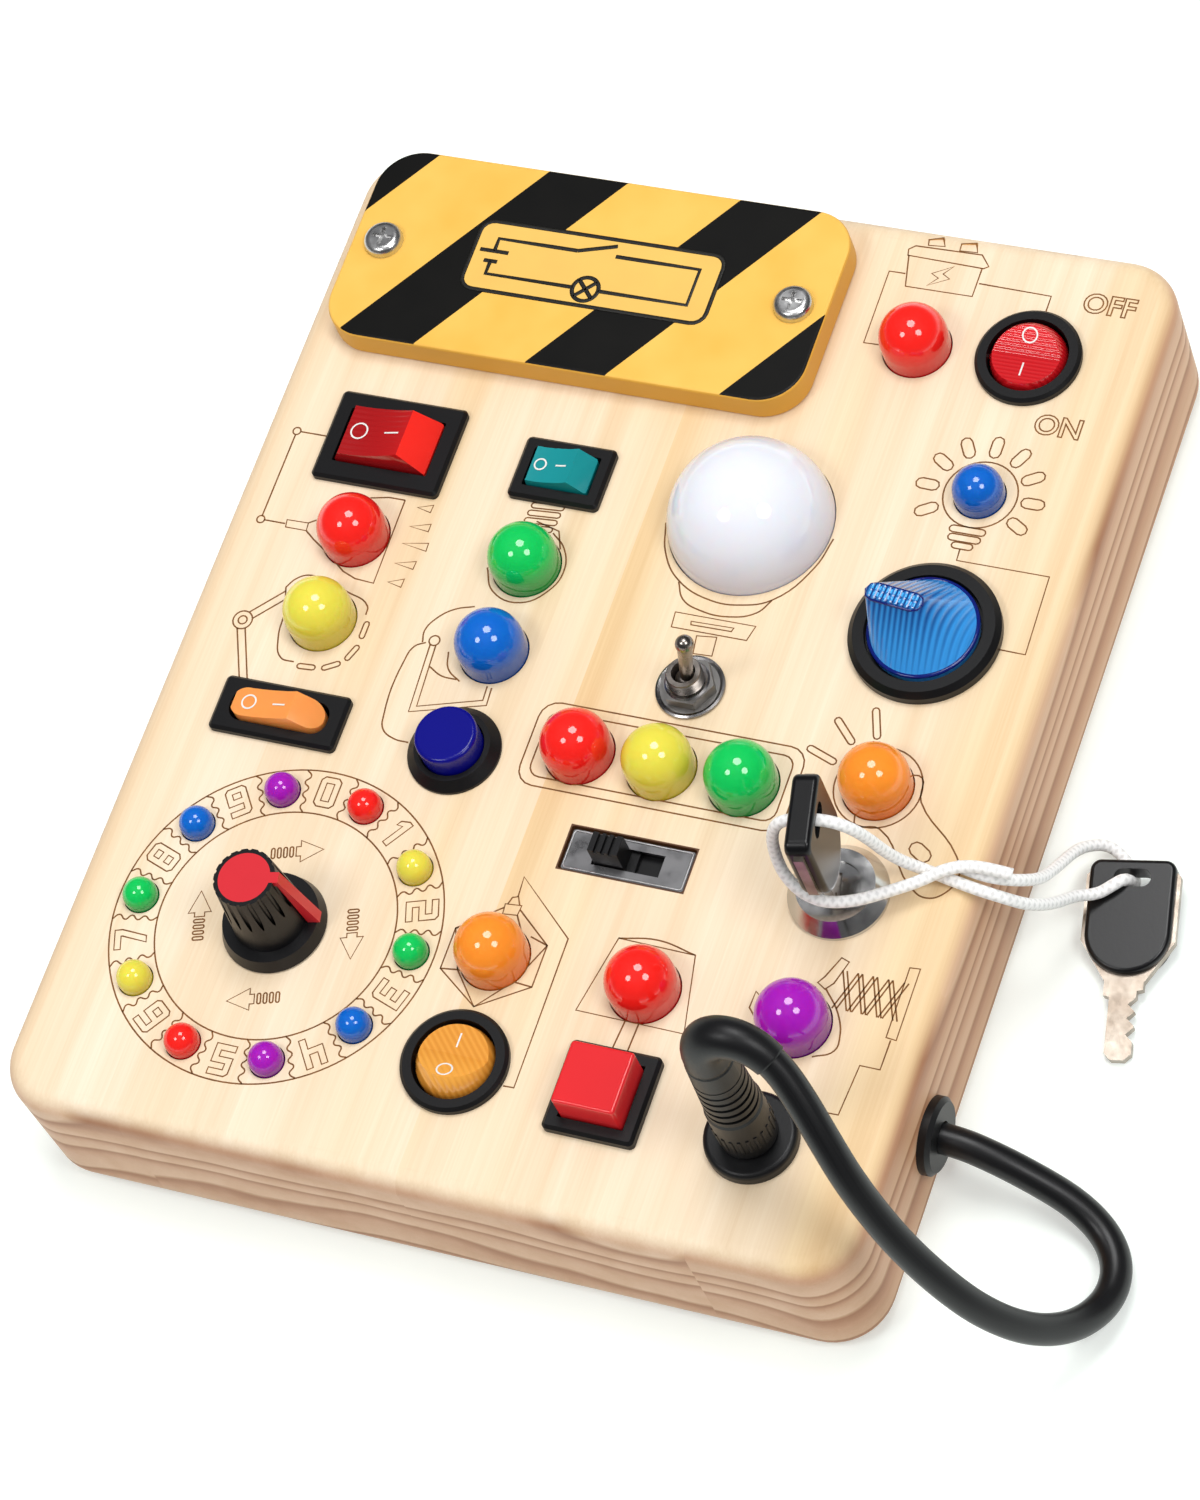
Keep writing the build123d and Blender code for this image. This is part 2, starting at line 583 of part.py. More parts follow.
def round_housing(centre):
    """Bezel and body of a round rocker switch."""
    with BuildPart() as housing:
        with BuildSketch(Plane.XY.offset(FACE_TOP)):
            with Locations(centre):
                Circle(ROUND_BEZEL_RADIUS)
        extrude(amount=BEZEL_HEIGHT)
        chamfer(housing.faces().sort_by(Axis.Z)[-1].edges(), BEZEL_CHAMFER)
        with BuildSketch(Plane.XY.offset(FACE_TOP)):
            with Locations(centre):
                Circle(ROUND_BODY_RADIUS)
        extrude(amount=-SWITCH_DEPTH)
        with BuildSketch(Plane.XY.offset(BEZEL_TOP)):
            with Locations(centre):
                Circle(ROUND_POCKET_RADIUS)
        extrude(amount=-ROUND_POCKET_RADIUS - ROCKER_PIVOT_DROP, mode=Mode.SUBTRACT)
        with BuildSketch(rocker_plane(centre, False)):
            Circle(ROUND_PIN_RADIUS + PIN_GAP)
        extrude(
            amount=ROUND_POCKET_RADIUS + ROUND_PIN_LENGTH - SOFT_GAP + PIN_GAP, both=True, mode=Mode.SUBTRACT
        )
        terminals(centre, TERMINAL_PITCH, 2, SWITCH_BOTTOM, along_x=False)
    return housing.part


def round_button(centre, near_end_down):
    """A round rocker cut from a ball about its pivot, one half pressed level."""
    reach = ROUND_POCKET_RADIUS - ROCKER_END_GAP
    tilt = ROCKER_HALF_TILT if near_end_down else -ROCKER_HALF_TILT
    with BuildPart() as button:
        with BuildSketch(rocker_plane(centre, False, tilt)):
            Polygon(*rocker_profile(ROUND_POCKET_RADIUS), align=None)
        extrude(amount=ROUND_POCKET_RADIUS, both=True)
        with Locations((*centre, ROCKER_PIVOT_Z)):
            Sphere(reach, mode=Mode.INTERSECT)
        with BuildSketch(rocker_plane(centre, False)):
            Circle(ROUND_PIN_RADIUS)
        extrude(amount=ROUND_POCKET_RADIUS + ROUND_PIN_LENGTH - SOFT_GAP, both=True)
    return button.part


def key_outline():
    """The metal key's outline from its head down to its tip, y measured down from the head's top."""
    half = KEY_PLATE_WIDTH / 2
    neck = KEY_NECK_WIDTH / 2
    blade = KEY_BLADE_WIDTH / 2
    with BuildLine() as outline:
        head = Polyline(
            (-neck, -KEY_NECK), (-half, -KEY_SHOULDER), (-half, -KEY_PLATE_TOP - KEY_PLATE_CORNER),
            (-half + KEY_PLATE_CORNER, -KEY_PLATE_TOP), (half - KEY_PLATE_CORNER, -KEY_PLATE_TOP),
            (half, -KEY_PLATE_TOP - KEY_PLATE_CORNER), (half, -KEY_SHOULDER), (neck, -KEY_NECK),
        )
        right = Polyline(
            head @ 1, (neck, -KEY_STOP_NEAR), (blade, -KEY_STOP_NEAR - KEY_STOP_SLOPE),
            (blade, -KEY_LENGTH + blade / 2), (blade / 2, -KEY_LENGTH),
        )
        Polyline(
            right @ 1, (-blade / 2, -KEY_LENGTH), (-blade, -KEY_LENGTH + blade / 2),
            (-blade, -KEY_STOP_FAR - KEY_STOP_SLOPE), (-neck, -KEY_STOP_FAR), head @ 0,
        )
    return outline.line


def make_key(plane):
    """A metal key plate and its moulded head, the head's top centre at the plane's origin."""
    slot_place = (0, -KEY_SLOT_CENTRE)
    across = Axis(plane.origin, plane.z_dir)
    with BuildPart() as plate:
        with BuildSketch(plane):
            add(key_outline())
            make_face()
            with Locations(slot_place):
                Rectangle(
                    KEY_SLOT_LENGTH + 2 * KEY_SLOT_RIM, KEY_SLOT_HEIGHT + 2 * KEY_SLOT_RIM, mode=Mode.SUBTRACT
                )
            with Locations(*[(KEY_BLADE_WIDTH / 2, -notch) for notch in KEY_NOTCHES]):
                Rectangle(2 * KEY_NOTCH_DEPTH, 2 * KEY_NOTCH_DEPTH, rotation=45, mode=Mode.SUBTRACT)
        extrude(amount=KEY_PLATE_THICKNESS / 2, both=True)
    with BuildPart() as head:
        with BuildSketch(plane):
            with Locations((0, -KEY_HEAD_LENGTH + KEY_HEAD_WIDTH / 2)):
                Circle(KEY_HEAD_WIDTH / 2)
            with Locations((0, -(KEY_HEAD_LENGTH - KEY_HEAD_WIDTH / 2) / 2)):
                Rectangle(KEY_HEAD_WIDTH, KEY_HEAD_LENGTH - KEY_HEAD_WIDTH / 2)
        extrude(amount=KEY_HEAD_THICKNESS / 2, both=True)
        corners = [
            edge for edge in head.edges().filter_by(across)
            if abs((edge.center() - plane.origin).length - KEY_HEAD_WIDTH / 2) < NEAR
        ]
        fillet(corners, KEY_HEAD_CORNER)
        fillet(head.faces().filter_by(across).edges(), KEY_HEAD_ROUND)
        with BuildSketch(plane):
            with Locations(slot_place):
                SlotOverall(KEY_SLOT_LENGTH, KEY_SLOT_HEIGHT)
        extrude(amount=KEY_HEAD_THICKNESS, both=True, mode=Mode.SUBTRACT)
        add(plate.part, mode=Mode.SUBTRACT)
    return plate.part, head.part


def hex_nut(centre, flats, bore, bottom, height):
    """A hexagonal nut, added to the part being built."""
    with BuildSketch(Plane.XY.offset(bottom)) as ring:
        with Locations(centre):
            RegularPolygon(flats / 2, 6, major_radius=False)
            Circle(bore, mode=Mode.SUBTRACT)
    extrude(ring.sketch, amount=height)


# ================= wooden body =================
ROUND_HOLES = [(*centre, LAMP_RADIUS + PANEL_GAP) for centre in BIG_LAMPS]
ROUND_HOLES += [(*BULB_LAMP, BULB_LAMP_RADIUS + PANEL_GAP), (*GLOBE_LAMP, GLOBE_RADIUS + PANEL_GAP)]
ROUND_HOLES += [(*centre, DIAL_LAMP_RADIUS + PANEL_GAP) for centre in DIAL_LAMPS]
ROUND_HOLES += [
    (*RED_ROUND_ROCKER, ROUND_BODY_RADIUS + PANEL_GAP), (*AMBER_ROUND_ROCKER, ROUND_BODY_RADIUS + PANEL_GAP),
    (*SELECTOR, SELECTOR_BODY_RADIUS + PANEL_GAP), (*TOGGLE, TOGGLE_BUSH_RADIUS + PANEL_GAP),
    (*PUSH, PUSH_BODY_RADIUS + PANEL_GAP), (*LOCK, LOCK_BODY_RADIUS + PANEL_GAP),
    (*SOCKET, SOCKET_BODY_RADIUS + PANEL_GAP), (DIAL_X, DIAL_Y, DIAL_BUSH_RADIUS + PANEL_GAP),
]
SQUARE_HOLES = [
    (WIDE_ROCKER, WIDE_BODY), (SMALL_ROCKER, SMALL_BODY), (SLIM_ROCKER, SLIM_BODY), (SLIDE, SLIDE_BODY),
    (SQUARE, (SQUARE_BODY, SQUARE_BODY)),
]
with BuildPart() as wooden_body:
    with BuildSketch():
        RectangleRounded(BOARD_WIDTH, BOARD_LENGTH, BOARD_CORNER_RADIUS)
    extrude(amount=BOARD_THICKNESS)
    fillet(wooden_body.faces().filter_by(Axis.Z).edges(), BOARD_EDGE_ROUND)
    with BuildSketch():
        RectangleRounded(REBATE_WIDTH, REBATE_LENGTH, BACK_PANEL_CORNER_RADIUS)
    extrude(amount=REBATE_DEPTH, mode=Mode.SUBTRACT)
    with BuildSketch(Plane.XY.offset(REBATE_DEPTH)):
        RectangleRounded(CAVITY_WIDTH, CAVITY_LENGTH, CAVITY_CORNER_RADIUS)
    extrude(amount=FACE_UNDER - REBATE_DEPTH, mode=Mode.SUBTRACT)
    with BuildSketch(Plane.XY.offset(FACE_UNDER)):
        for x, y, radius in ROUND_HOLES:
            with Locations((x, y)):
                Circle(radius)
        for centre, (length, width) in SQUARE_HOLES:
            with Locations(centre):
                Rectangle(length + 2 * PANEL_GAP, width + 2 * PANEL_GAP)
        with Locations((COVER_X, TRAY_Y)):
            RectangleRounded(TRAY_INNER_LENGTH, TRAY_INNER_WIDTH, TRAY_HOLE_CORNER)
        with Locations(*COVER_SCREWS):
            Circle(COVER_SCREW_SHANK_RADIUS + SEAT_GAP)
    extrude(amount=FACE_THICKNESS, mode=Mode.SUBTRACT)
    with BuildSketch(Plane.XY.offset(SLIDE_SEAT)):
        with Locations(SLIDE):
            RectangleRounded(
                SLIDE_FRAME[0] + 2 * SLIDE_POCKET_GAP, SLIDE_FRAME[1] + 2 * SLIDE_POCKET_GAP, SLIDE_CORNER
            )
    extrude(amount=SLIDE_FRAME_THICKNESS + SLIDE_SET_BACK, mode=Mode.SUBTRACT)
    with BuildSketch(Plane.XY.offset(REBATE_DEPTH)):
        with Locations(*BACK_SCREWS):
            Circle(BACK_SCREW_SHANK_RADIUS + SEAT_GAP)
    extrude(amount=BACK_SCREW_LENGTH, mode=Mode.SUBTRACT)
    with BuildSketch(Plane.YZ.offset(CAVITY_WIDTH / 2 - SIDE_WALL)):
        with Locations((GROMMET_Y, GROMMET_Z)):
            Circle(GROMMET_NECK_RADIUS + SEAT_GAP)
    extrude(amount=2 * SIDE_WALL, mode=Mode.SUBTRACT)
keep(wooden_body.part, "wooden_body")

# ================= back panel and its screws =================
with BuildPart() as back_panel:
    with BuildSketch(Plane.XY.offset(BACK_PANEL_RECESS)):
        RectangleRounded(BACK_PANEL_WIDTH, BACK_PANEL_LENGTH, BACK_PANEL_CORNER_RADIUS - PANEL_GAP)
        with Locations(*BACK_SCREWS):
            Circle(BACK_SCREW_SHANK_RADIUS + PANEL_GAP, mode=Mode.SUBTRACT)
    extrude(amount=BACK_PANEL_THICKNESS)
    with BuildSketch(Plane.XY.offset(BACK_PANEL_RECESS)):
        with Locations(*BACK_SCREWS):
            Circle(BACK_SCREW_HEAD_RADIUS + SEAT_GAP)
    extrude(amount=BACK_SCREW_HEAD_DEPTH, mode=Mode.SUBTRACT)
keep(back_panel.part, "back_panel")

with BuildPart() as back_panel_screws:
    with BuildSketch(Plane.XY.offset(BACK_PANEL_RECESS)):
        with Locations(*BACK_SCREWS):
            Circle(BACK_SCREW_HEAD_RADIUS)
            Rectangle(BACK_SCREW_CROSS, BACK_SCREW_CROSS_WIDTH, mode=Mode.SUBTRACT)
            Rectangle(BACK_SCREW_CROSS_WIDTH, BACK_SCREW_CROSS, mode=Mode.SUBTRACT)
    extrude(amount=BACK_SCREW_CROSS_DEPTH)
    with BuildSketch(Plane.XY.offset(BACK_PANEL_RECESS + BACK_SCREW_CROSS_DEPTH)):
        with Locations(*BACK_SCREWS):
            Circle(BACK_SCREW_HEAD_RADIUS)
    extrude(amount=BACK_SCREW_HEAD_DEPTH - BACK_SCREW_CROSS_DEPTH)
    with BuildSketch(Plane.XY.offset(BACK_PANEL_RECESS + BACK_SCREW_HEAD_DEPTH)):
        with Locations(*BACK_SCREWS):
            Circle(BACK_SCREW_SHANK_RADIUS)
    extrude(amount=BACK_SCREW_LENGTH - BACK_SCREW_HEAD_DEPTH)
keep(back_panel_screws.part, "back_panel_screws")

# ================= battery cover, its screws, tray, contacts and cells =================
with BuildPart() as battery_cover:
    with BuildSketch(Plane.XY.offset(FACE_TOP)):
        with Locations((COVER_X, COVER_Y)):
            RectangleRounded(COVER_WIDTH, COVER_LENGTH, COVER_CORNER_RADIUS)
    extrude(amount=COVER_THICKNESS)
    fillet(battery_cover.faces().filter_by(Axis.Z).edges(), COVER_EDGE_ROUND)
    with BuildSketch(Plane.XY.offset(FACE_TOP)):
        with Locations(*COVER_SCREWS):
            Circle(COVER_SCREW_SHANK_RADIUS + PANEL_GAP)
    extrude(amount=COVER_THICKNESS, mode=Mode.SUBTRACT)
keep(battery_cover.part, "battery_cover")

with BuildPart() as battery_cover_screws:
    with BuildSketch(Plane.XY.offset(COVER_TOP)):
        with Locations(*COVER_SCREWS):
            Circle(COVER_SCREW_HEAD_RADIUS)
    extrude(amount=COVER_SCREW_HEAD_HEIGHT)
    fillet(battery_cover_screws.faces().filter_by(Axis.Z).group_by(Axis.Z)[-1].edges(), COVER_SCREW_ROUND)
    with BuildSketch(Plane.XY.offset(COVER_TOP + COVER_SCREW_HEAD_HEIGHT)):
        with Locations(*COVER_SCREWS):
            Rectangle(COVER_SCREW_CROSS, COVER_SCREW_CROSS_WIDTH)
            Rectangle(COVER_SCREW_CROSS_WIDTH, COVER_SCREW_CROSS)
    extrude(amount=-COVER_SCREW_HEAD_HEIGHT / 2, mode=Mode.SUBTRACT)
    with BuildSketch(Plane.XY.offset(COVER_TOP)):
        with Locations(*COVER_SCREWS):
            Circle(COVER_SCREW_SHANK_RADIUS)
    extrude(amount=-COVER_THICKNESS - COVER_SCREW_BITE)
keep(battery_cover_screws.part, "battery_cover_screws")

with BuildPart() as battery_tray:
    with BuildSketch(Plane.XY.offset(FACE_UNDER)):
        with Locations((COVER_X, TRAY_Y)):
            Rectangle(TRAY_INNER_LENGTH + 2 * TRAY_WALL + 2 * TRAY_FLANGE, TRAY_INNER_WIDTH + 2 * TRAY_WALL)
    extrude(amount=-TRAY_FLANGE_THICKNESS)
    with BuildSketch(Plane.XY.offset(FACE_UNDER)):
        with Locations((COVER_X, TRAY_Y)):
            Rectangle(TRAY_INNER_LENGTH + 2 * TRAY_WALL, TRAY_INNER_WIDTH + 2 * TRAY_WALL)
    extrude(amount=-TRAY_DEPTH)
    with BuildSketch(Plane.XY.offset(FACE_UNDER)):
        with Locations((COVER_X, TRAY_Y)):
            Rectangle(TRAY_INNER_LENGTH, TRAY_INNER_WIDTH)
    extrude(amount=-TRAY_DEPTH + TRAY_WALL, mode=Mode.SUBTRACT)
keep(battery_tray.part, "battery_tray")

CELL_PITCH = 2 * CELL_RADIUS + CELL_GAP
CELL_CENTRES = [
    (COVER_X, TRAY_Y + (number - (CELL_COUNT - 1) / 2) * CELL_PITCH) for number in range(CELL_COUNT)
]
with BuildPart() as battery_cells:
    for number, (x, y) in enumerate(CELL_CENTRES):
        facing = 1 if number % 2 == 0 else -1
        with BuildSketch(Plane(origin=(x, y, CELL_Z), x_dir=(0, 1, 0), z_dir=(1, 0, 0))):
            Circle(CELL_RADIUS)
        extrude(amount=CELL_LENGTH / 2, both=True)
        nipple_end = (x + facing * CELL_LENGTH / 2, y, CELL_Z)
        with BuildSketch(Plane(origin=nipple_end, x_dir=(0, 1, 0), z_dir=(facing, 0, 0))):
            Circle(CELL_NIPPLE_RADIUS)
        extrude(amount=CELL_NIPPLE_LENGTH)
keep(battery_cells.part, "battery_cells")

with BuildPart() as battery_contacts:
    for side in (-1, 1):
        wall_x = COVER_X + side * TRAY_INNER_LENGTH / 2
        for x, y in CELL_CENTRES:
            with BuildSketch(Plane(origin=(wall_x, y, CELL_Z), x_dir=(0, 1, 0), z_dir=(-side, 0, 0))):
                Rectangle(CONTACT_WIDTH, CONTACT_WIDTH)
            extrude(amount=CONTACT_THICKNESS)
            with BuildSketch(Plane(origin=(wall_x, y, CELL_Z), x_dir=(0, 1, 0), z_dir=(-side, 0, 0))):
                Circle(CONTACT_BUTTON_RADIUS)
            extrude(amount=TRAY_END_ROOM + CELL_NIPPLE_LENGTH / 2 - CELL_NIPPLE_LENGTH - PIN_GAP)
keep(battery_contacts.part, "battery_contacts")

# ================= lamps and the light boards behind them =================
keep(lamp_group(RED_LAMPS, LAMP_RADIUS, LAMP_RISE, LAMP_FLANGE), "lamps_red")
keep(lamp_group(YELLOW_LAMPS, LAMP_RADIUS, LAMP_RISE, LAMP_FLANGE), "lamps_yellow")
keep(lamp_group(GREEN_LAMPS, LAMP_RADIUS, LAMP_RISE, LAMP_FLANGE), "lamps_green")
keep(lamp_group(ORANGE_LAMPS, LAMP_RADIUS, LAMP_RISE, LAMP_FLANGE), "lamps_orange")
keep(lamp_group([WALL_LAMP], LAMP_RADIUS, LAMP_RISE, LAMP_FLANGE), "lamp_purple")
keep(lamp_group([GLOBE_LAMP], GLOBE_RADIUS, 0.0, LAMP_FLANGE), "globe_lamp")
with BuildPart() as lamps_blue:
    add(lamp_group([HELMET_LAMP], LAMP_RADIUS, LAMP_RISE, LAMP_FLANGE))
    add(lamp_group([BULB_LAMP], BULB_LAMP_RADIUS, BULB_LAMP_RISE, LAMP_FLANGE))
keep(lamps_blue.part, "lamps_blue")
for number, colour in enumerate(DIAL_COLOURS):
    pair = [DIAL_LAMPS[number], DIAL_LAMPS[number + len(DIAL_COLOURS)]]
    keep(lamp_group(pair, DIAL_LAMP_RADIUS, DIAL_LAMP_RISE, DIAL_LAMP_FLANGE), f"dial_lamps_{colour}")

LIGHTS = [(centre, LAMP_RADIUS) for centre in BIG_LAMPS]
LIGHTS += [(BULB_LAMP, BULB_LAMP_RADIUS), (GLOBE_LAMP, GLOBE_RADIUS)]
with BuildPart() as light_boards:
    for centre, radius in LIGHTS:
        with BuildSketch(Plane.XY.offset(LED_BOARD_TOP)):
            with Locations(centre):
                Circle(radius + LAMP_FLANGE)
        extrude(amount=-LED_BOARD_THICKNESS)
        with BuildSketch(Plane.XY.offset(LED_BOARD_TOP)):
            with Locations(centre):
                Circle(LED_RADIUS)
        extrude(amount=LED_HEIGHT - LED_RADIUS)
        with Locations((*centre, LED_BOARD_TOP + LED_HEIGHT - LED_RADIUS)):
            Sphere(LED_RADIUS)
keep(light_boards.part, "light_boards")

with BuildPart() as dial_board:
    with BuildSketch(Plane.XY.offset(LED_BOARD_TOP)):
        with Locations((DIAL_X, DIAL_Y)):
            Circle(DIAL_BOARD_RADIUS)
            Circle(DIAL_LAMP_RING - DIAL_BOARD_WIDTH / 2, mode=Mode.SUBTRACT)
    extrude(amount=-LED_BOARD_THICKNESS)
    with BuildSketch(Plane.XY.offset(LED_BOARD_TOP)):
        with Locations(*DIAL_LAMPS):
            Circle(DIAL_LED_RADIUS)
    extrude(amount=DIAL_LED_HEIGHT)
keep(dial_board.part, "dial_board")

# ================= rocker switches =================
keep(
    rocker_housing(WIDE_ROCKER, WIDE_BEZEL, WIDE_BODY, WIDE_POCKET, ROCKER_CORNER), "wide_rocker_housing"
)
keep(rocker_button(WIDE_ROCKER, WIDE_POCKET, ROCKER_CORNER), "wide_rocker_button")
keep(
    rocker_housing(SMALL_ROCKER, SMALL_BEZEL, SMALL_BODY, SMALL_POCKET, ROCKER_CORNER), "small_rocker_housing"
)
keep(rocker_button(SMALL_ROCKER, SMALL_POCKET, ROCKER_CORNER), "small_rocker_button")
keep(
    rocker_housing(SLIM_ROCKER, SLIM_BEZEL, SLIM_BODY, SLIM_POCKET, SLIM_ROCKER_CORNER), "slim_rocker_housing"
)
keep(rocker_button(SLIM_ROCKER, SLIM_POCKET, SLIM_ROCKER_CORNER), "slim_rocker_button")
keep(round_housing(RED_ROUND_ROCKER), "red_round_rocker_housing")
keep(round_button(RED_ROUND_ROCKER, True), "red_round_rocker_button")
keep(round_housing(AMBER_ROUND_ROCKER), "amber_round_rocker_housing")
keep(round_button(AMBER_ROUND_ROCKER, False), "amber_round_rocker_button")

# ================= selector switch =================
SELECTOR_BEZEL_TOP = FACE_TOP + SELECTOR_BEZEL_HEIGHT
SELECTOR_FLOOR = SELECTOR_BEZEL_TOP - SELECTOR_RECESS_DEPTH
SELECTOR_KNOB_BOTTOM = SELECTOR_FLOOR + SOFT_GAP
SELECTOR_KNOB_TOP = SELECTOR_KNOB_BOTTOM + SELECTOR_KNOB_BASE
with BuildPart() as selector_housing:
    with BuildSketch(Plane.XY.offset(FACE_TOP)):
        with Locations(SELECTOR):
            Circle(SELECTOR_BEZEL_RADIUS)
    extrude(amount=SELECTOR_BEZEL_HEIGHT)
    chamfer(selector_housing.faces().sort_by(Axis.Z)[-1].edges(), SELECTOR_CHAMFER)
    with BuildSketch(Plane.XY.offset(FACE_TOP)):
        with Locations(SELECTOR):
            Circle(SELECTOR_BODY_RADIUS)
    extrude(amount=-SELECTOR_BODY_DEPTH)
    with BuildSketch(Plane.XY.offset(SELECTOR_BEZEL_TOP)):
        with Locations(SELECTOR):
            Circle(SELECTOR_KNOB_RADIUS + SOFT_GAP)
    extrude(amount=-SELECTOR_RECESS_DEPTH, mode=Mode.SUBTRACT)
    with BuildSketch(Plane.XY.offset(SELECTOR_FLOOR)):
        with Locations(SELECTOR):
            Circle(SELECTOR_STEM_RADIUS + PIN_GAP)
    extrude(amount=-SELECTOR_STEM_LENGTH - SOFT_GAP, mode=Mode.SUBTRACT)
    terminals(SELECTOR, TERMINAL_PITCH, 2, FACE_TOP - SELECTOR_BODY_DEPTH)
keep(selector_housing.part, "selector_housing")

with BuildPart() as selector_knob:
    with BuildSketch(Plane.XY.offset(SELECTOR_KNOB_BOTTOM)):
        with Locations(SELECTOR):
            Circle(SELECTOR_KNOB_RADIUS)
    extrude(amount=SELECTOR_KNOB_BASE)
    fillet(selector_knob.faces().sort_by(Axis.Z)[-1].edges(), SELECTOR_KNOB_ROUND)
    with BuildSketch(Plane.XY.offset(SELECTOR_KNOB_TOP)):
        with Locations(SELECTOR):
            Circle(SELECTOR_KNOB_RADIUS - SELECTOR_KNOB_ROUND)
    with BuildSketch(Plane.XY.offset(SELECTOR_KNOB_TOP + SELECTOR_RIDGE_HEIGHT)):
        with Locations(Location((*SELECTOR, 0), (0, 0, SELECTOR_RIDGE_ANGLE))):
            with Locations((SELECTOR_RIDGE_SET_OUT, 0)):
                RectangleRounded(*SELECTOR_RIDGE, SELECTOR_RIDGE_CORNER)
    loft(ruled=True)
    with BuildSketch(Plane.XY.offset(SELECTOR_KNOB_BOTTOM)):
        with Locations(SELECTOR):
            Circle(SELECTOR_STEM_RADIUS)
    extrude(amount=-SELECTOR_STEM_LENGTH)
keep(selector_knob.part, "selector_knob")

# ================= toggle switch =================
TOGGLE_PIVOT_Z = FACE_TOP + TOGGLE_PIVOT_RISE
with BuildPart() as toggle_body:
    with BuildSketch(Plane.XY.offset(FACE_UNDER)):
        with Locations(TOGGLE):
            Rectangle(*TOGGLE_BODY)
    extrude(amount=-TOGGLE_BODY_DEPTH)
    with BuildSketch(Plane.XY.offset(FACE_UNDER)):
        with Locations(TOGGLE):
            Circle(TOGGLE_BUSH_RADIUS)
    extrude(amount=FACE_THICKNESS + TOGGLE_BUSH_RISE)
    with BuildSketch(Plane.XY.offset(FACE_TOP + TOGGLE_BUSH_RISE)):
        with Locations(TOGGLE):
            Circle(TOGGLE_BORE_RADIUS)
    extrude(
        amount=-TOGGLE_BUSH_RISE + TOGGLE_PIVOT_RISE - TOGGLE_BALL_RADIUS - TOGGLE_TAIL - SOFT_GAP,
        mode=Mode.SUBTRACT,
    )
    terminals(TOGGLE, SMALL_TERMINAL_PITCH, 3, FACE_UNDER - TOGGLE_BODY_DEPTH)
keep(toggle_body.part, "toggle_body")

with BuildPart() as toggle_lever:
    with Locations((*TOGGLE, TOGGLE_PIVOT_Z)):
        Sphere(TOGGLE_BALL_RADIUS)
    with Locations(Location((*TOGGLE, TOGGLE_PIVOT_Z), (0, TOGGLE_TILT, 0))):
        with Locations((0, 0, -TOGGLE_TAIL / 2 - TOGGLE_BALL_RADIUS / 2)):
            Cylinder(TOGGLE_TAIL_RADIUS, TOGGLE_TAIL + TOGGLE_BALL_RADIUS)
        with Locations((0, 0, TOGGLE_TIP_REACH / 2)):
            Cone(TOGGLE_STEM_RADIUS, TOGGLE_NECK_RADIUS, TOGGLE_TIP_REACH)
        with Locations((0, 0, TOGGLE_TIP_REACH)):
            Sphere(TOGGLE_TIP_RADIUS)
keep(toggle_lever.part, "toggle_lever")

# ================= slide switch =================
SLIDE_SHOE_TOP = SLIDE_SEAT - SOFT_GAP
SLIDE_KNOB_X = SLIDE[0] - SLIDE_TRAVEL / 2
with BuildPart() as slide_switch_frame:
    with BuildSketch(Plane.XY.offset(SLIDE_SEAT)):
        with Locations(SLIDE):
            RectangleRounded(*SLIDE_FRAME, SLIDE_CORNER)
            Rectangle(*SLIDE_SLOT, mode=Mode.SUBTRACT)
    extrude(amount=SLIDE_FRAME_THICKNESS)
keep(slide_switch_frame.part, "slide_switch_frame")

with BuildPart() as slide_switch_body:
    with BuildSketch(Plane.XY.offset(SLIDE_SEAT)):
        with Locations(SLIDE):
            Rectangle(*SLIDE_BODY)
    extrude(amount=-SLIDE_BODY_DEPTH)
    with BuildSketch(Plane.XY.offset(SLIDE_SEAT)):
        with Locations(SLIDE):
            Rectangle(SLIDE_SHOE[0] + SLIDE_TRAVEL + 2 * SLIDE_END_GAP, SLIDE_SHOE[1] + 2 * PIN_GAP)
    extrude(amount=-SOFT_GAP - SLIDE_SHOE_THICKNESS - PIN_GAP, mode=Mode.SUBTRACT)
    terminals(SLIDE, SMALL_TERMINAL_PITCH, 3, SLIDE_SEAT - SLIDE_BODY_DEPTH)
keep(slide_switch_body.part, "slide_switch_body")

with BuildPart() as slide_switch_knob:
    with BuildSketch(Plane.XY.offset(SLIDE_SHOE_TOP)):
        with Locations((SLIDE_KNOB_X, SLIDE[1])):
            Rectangle(*SLIDE_SHOE)
    extrude(amount=-SLIDE_SHOE_THICKNESS)
    with BuildSketch(Plane.XY.offset(SLIDE_SHOE_TOP)):
        with Locations((SLIDE_KNOB_X, SLIDE[1])):
            Rectangle(*SLIDE_KNOB)
    extrude(amount=SOFT_GAP + SLIDE_FRAME_THICKNESS + SLIDE_KNOB_RISE)
    with BuildSketch(Plane.XY.offset(SLIDE_FRAME_TOP + SLIDE_KNOB_RISE)):
        with Locations((SLIDE_KNOB_X, SLIDE[1])):
            with GridLocations(SLIDE_KNOB[0] / SLIDE_KNOB_RIBS, 1, SLIDE_KNOB_RIBS - 1, 1):
                Rectangle(SLIDE_KNOB[0] / SLIDE_KNOB_RIBS / 2, SLIDE_KNOB[1])
    extrude(amount=-SLIDE_KNOB_GROOVE, mode=Mode.SUBTRACT)
keep(slide_switch_knob.part, "slide_switch_knob")

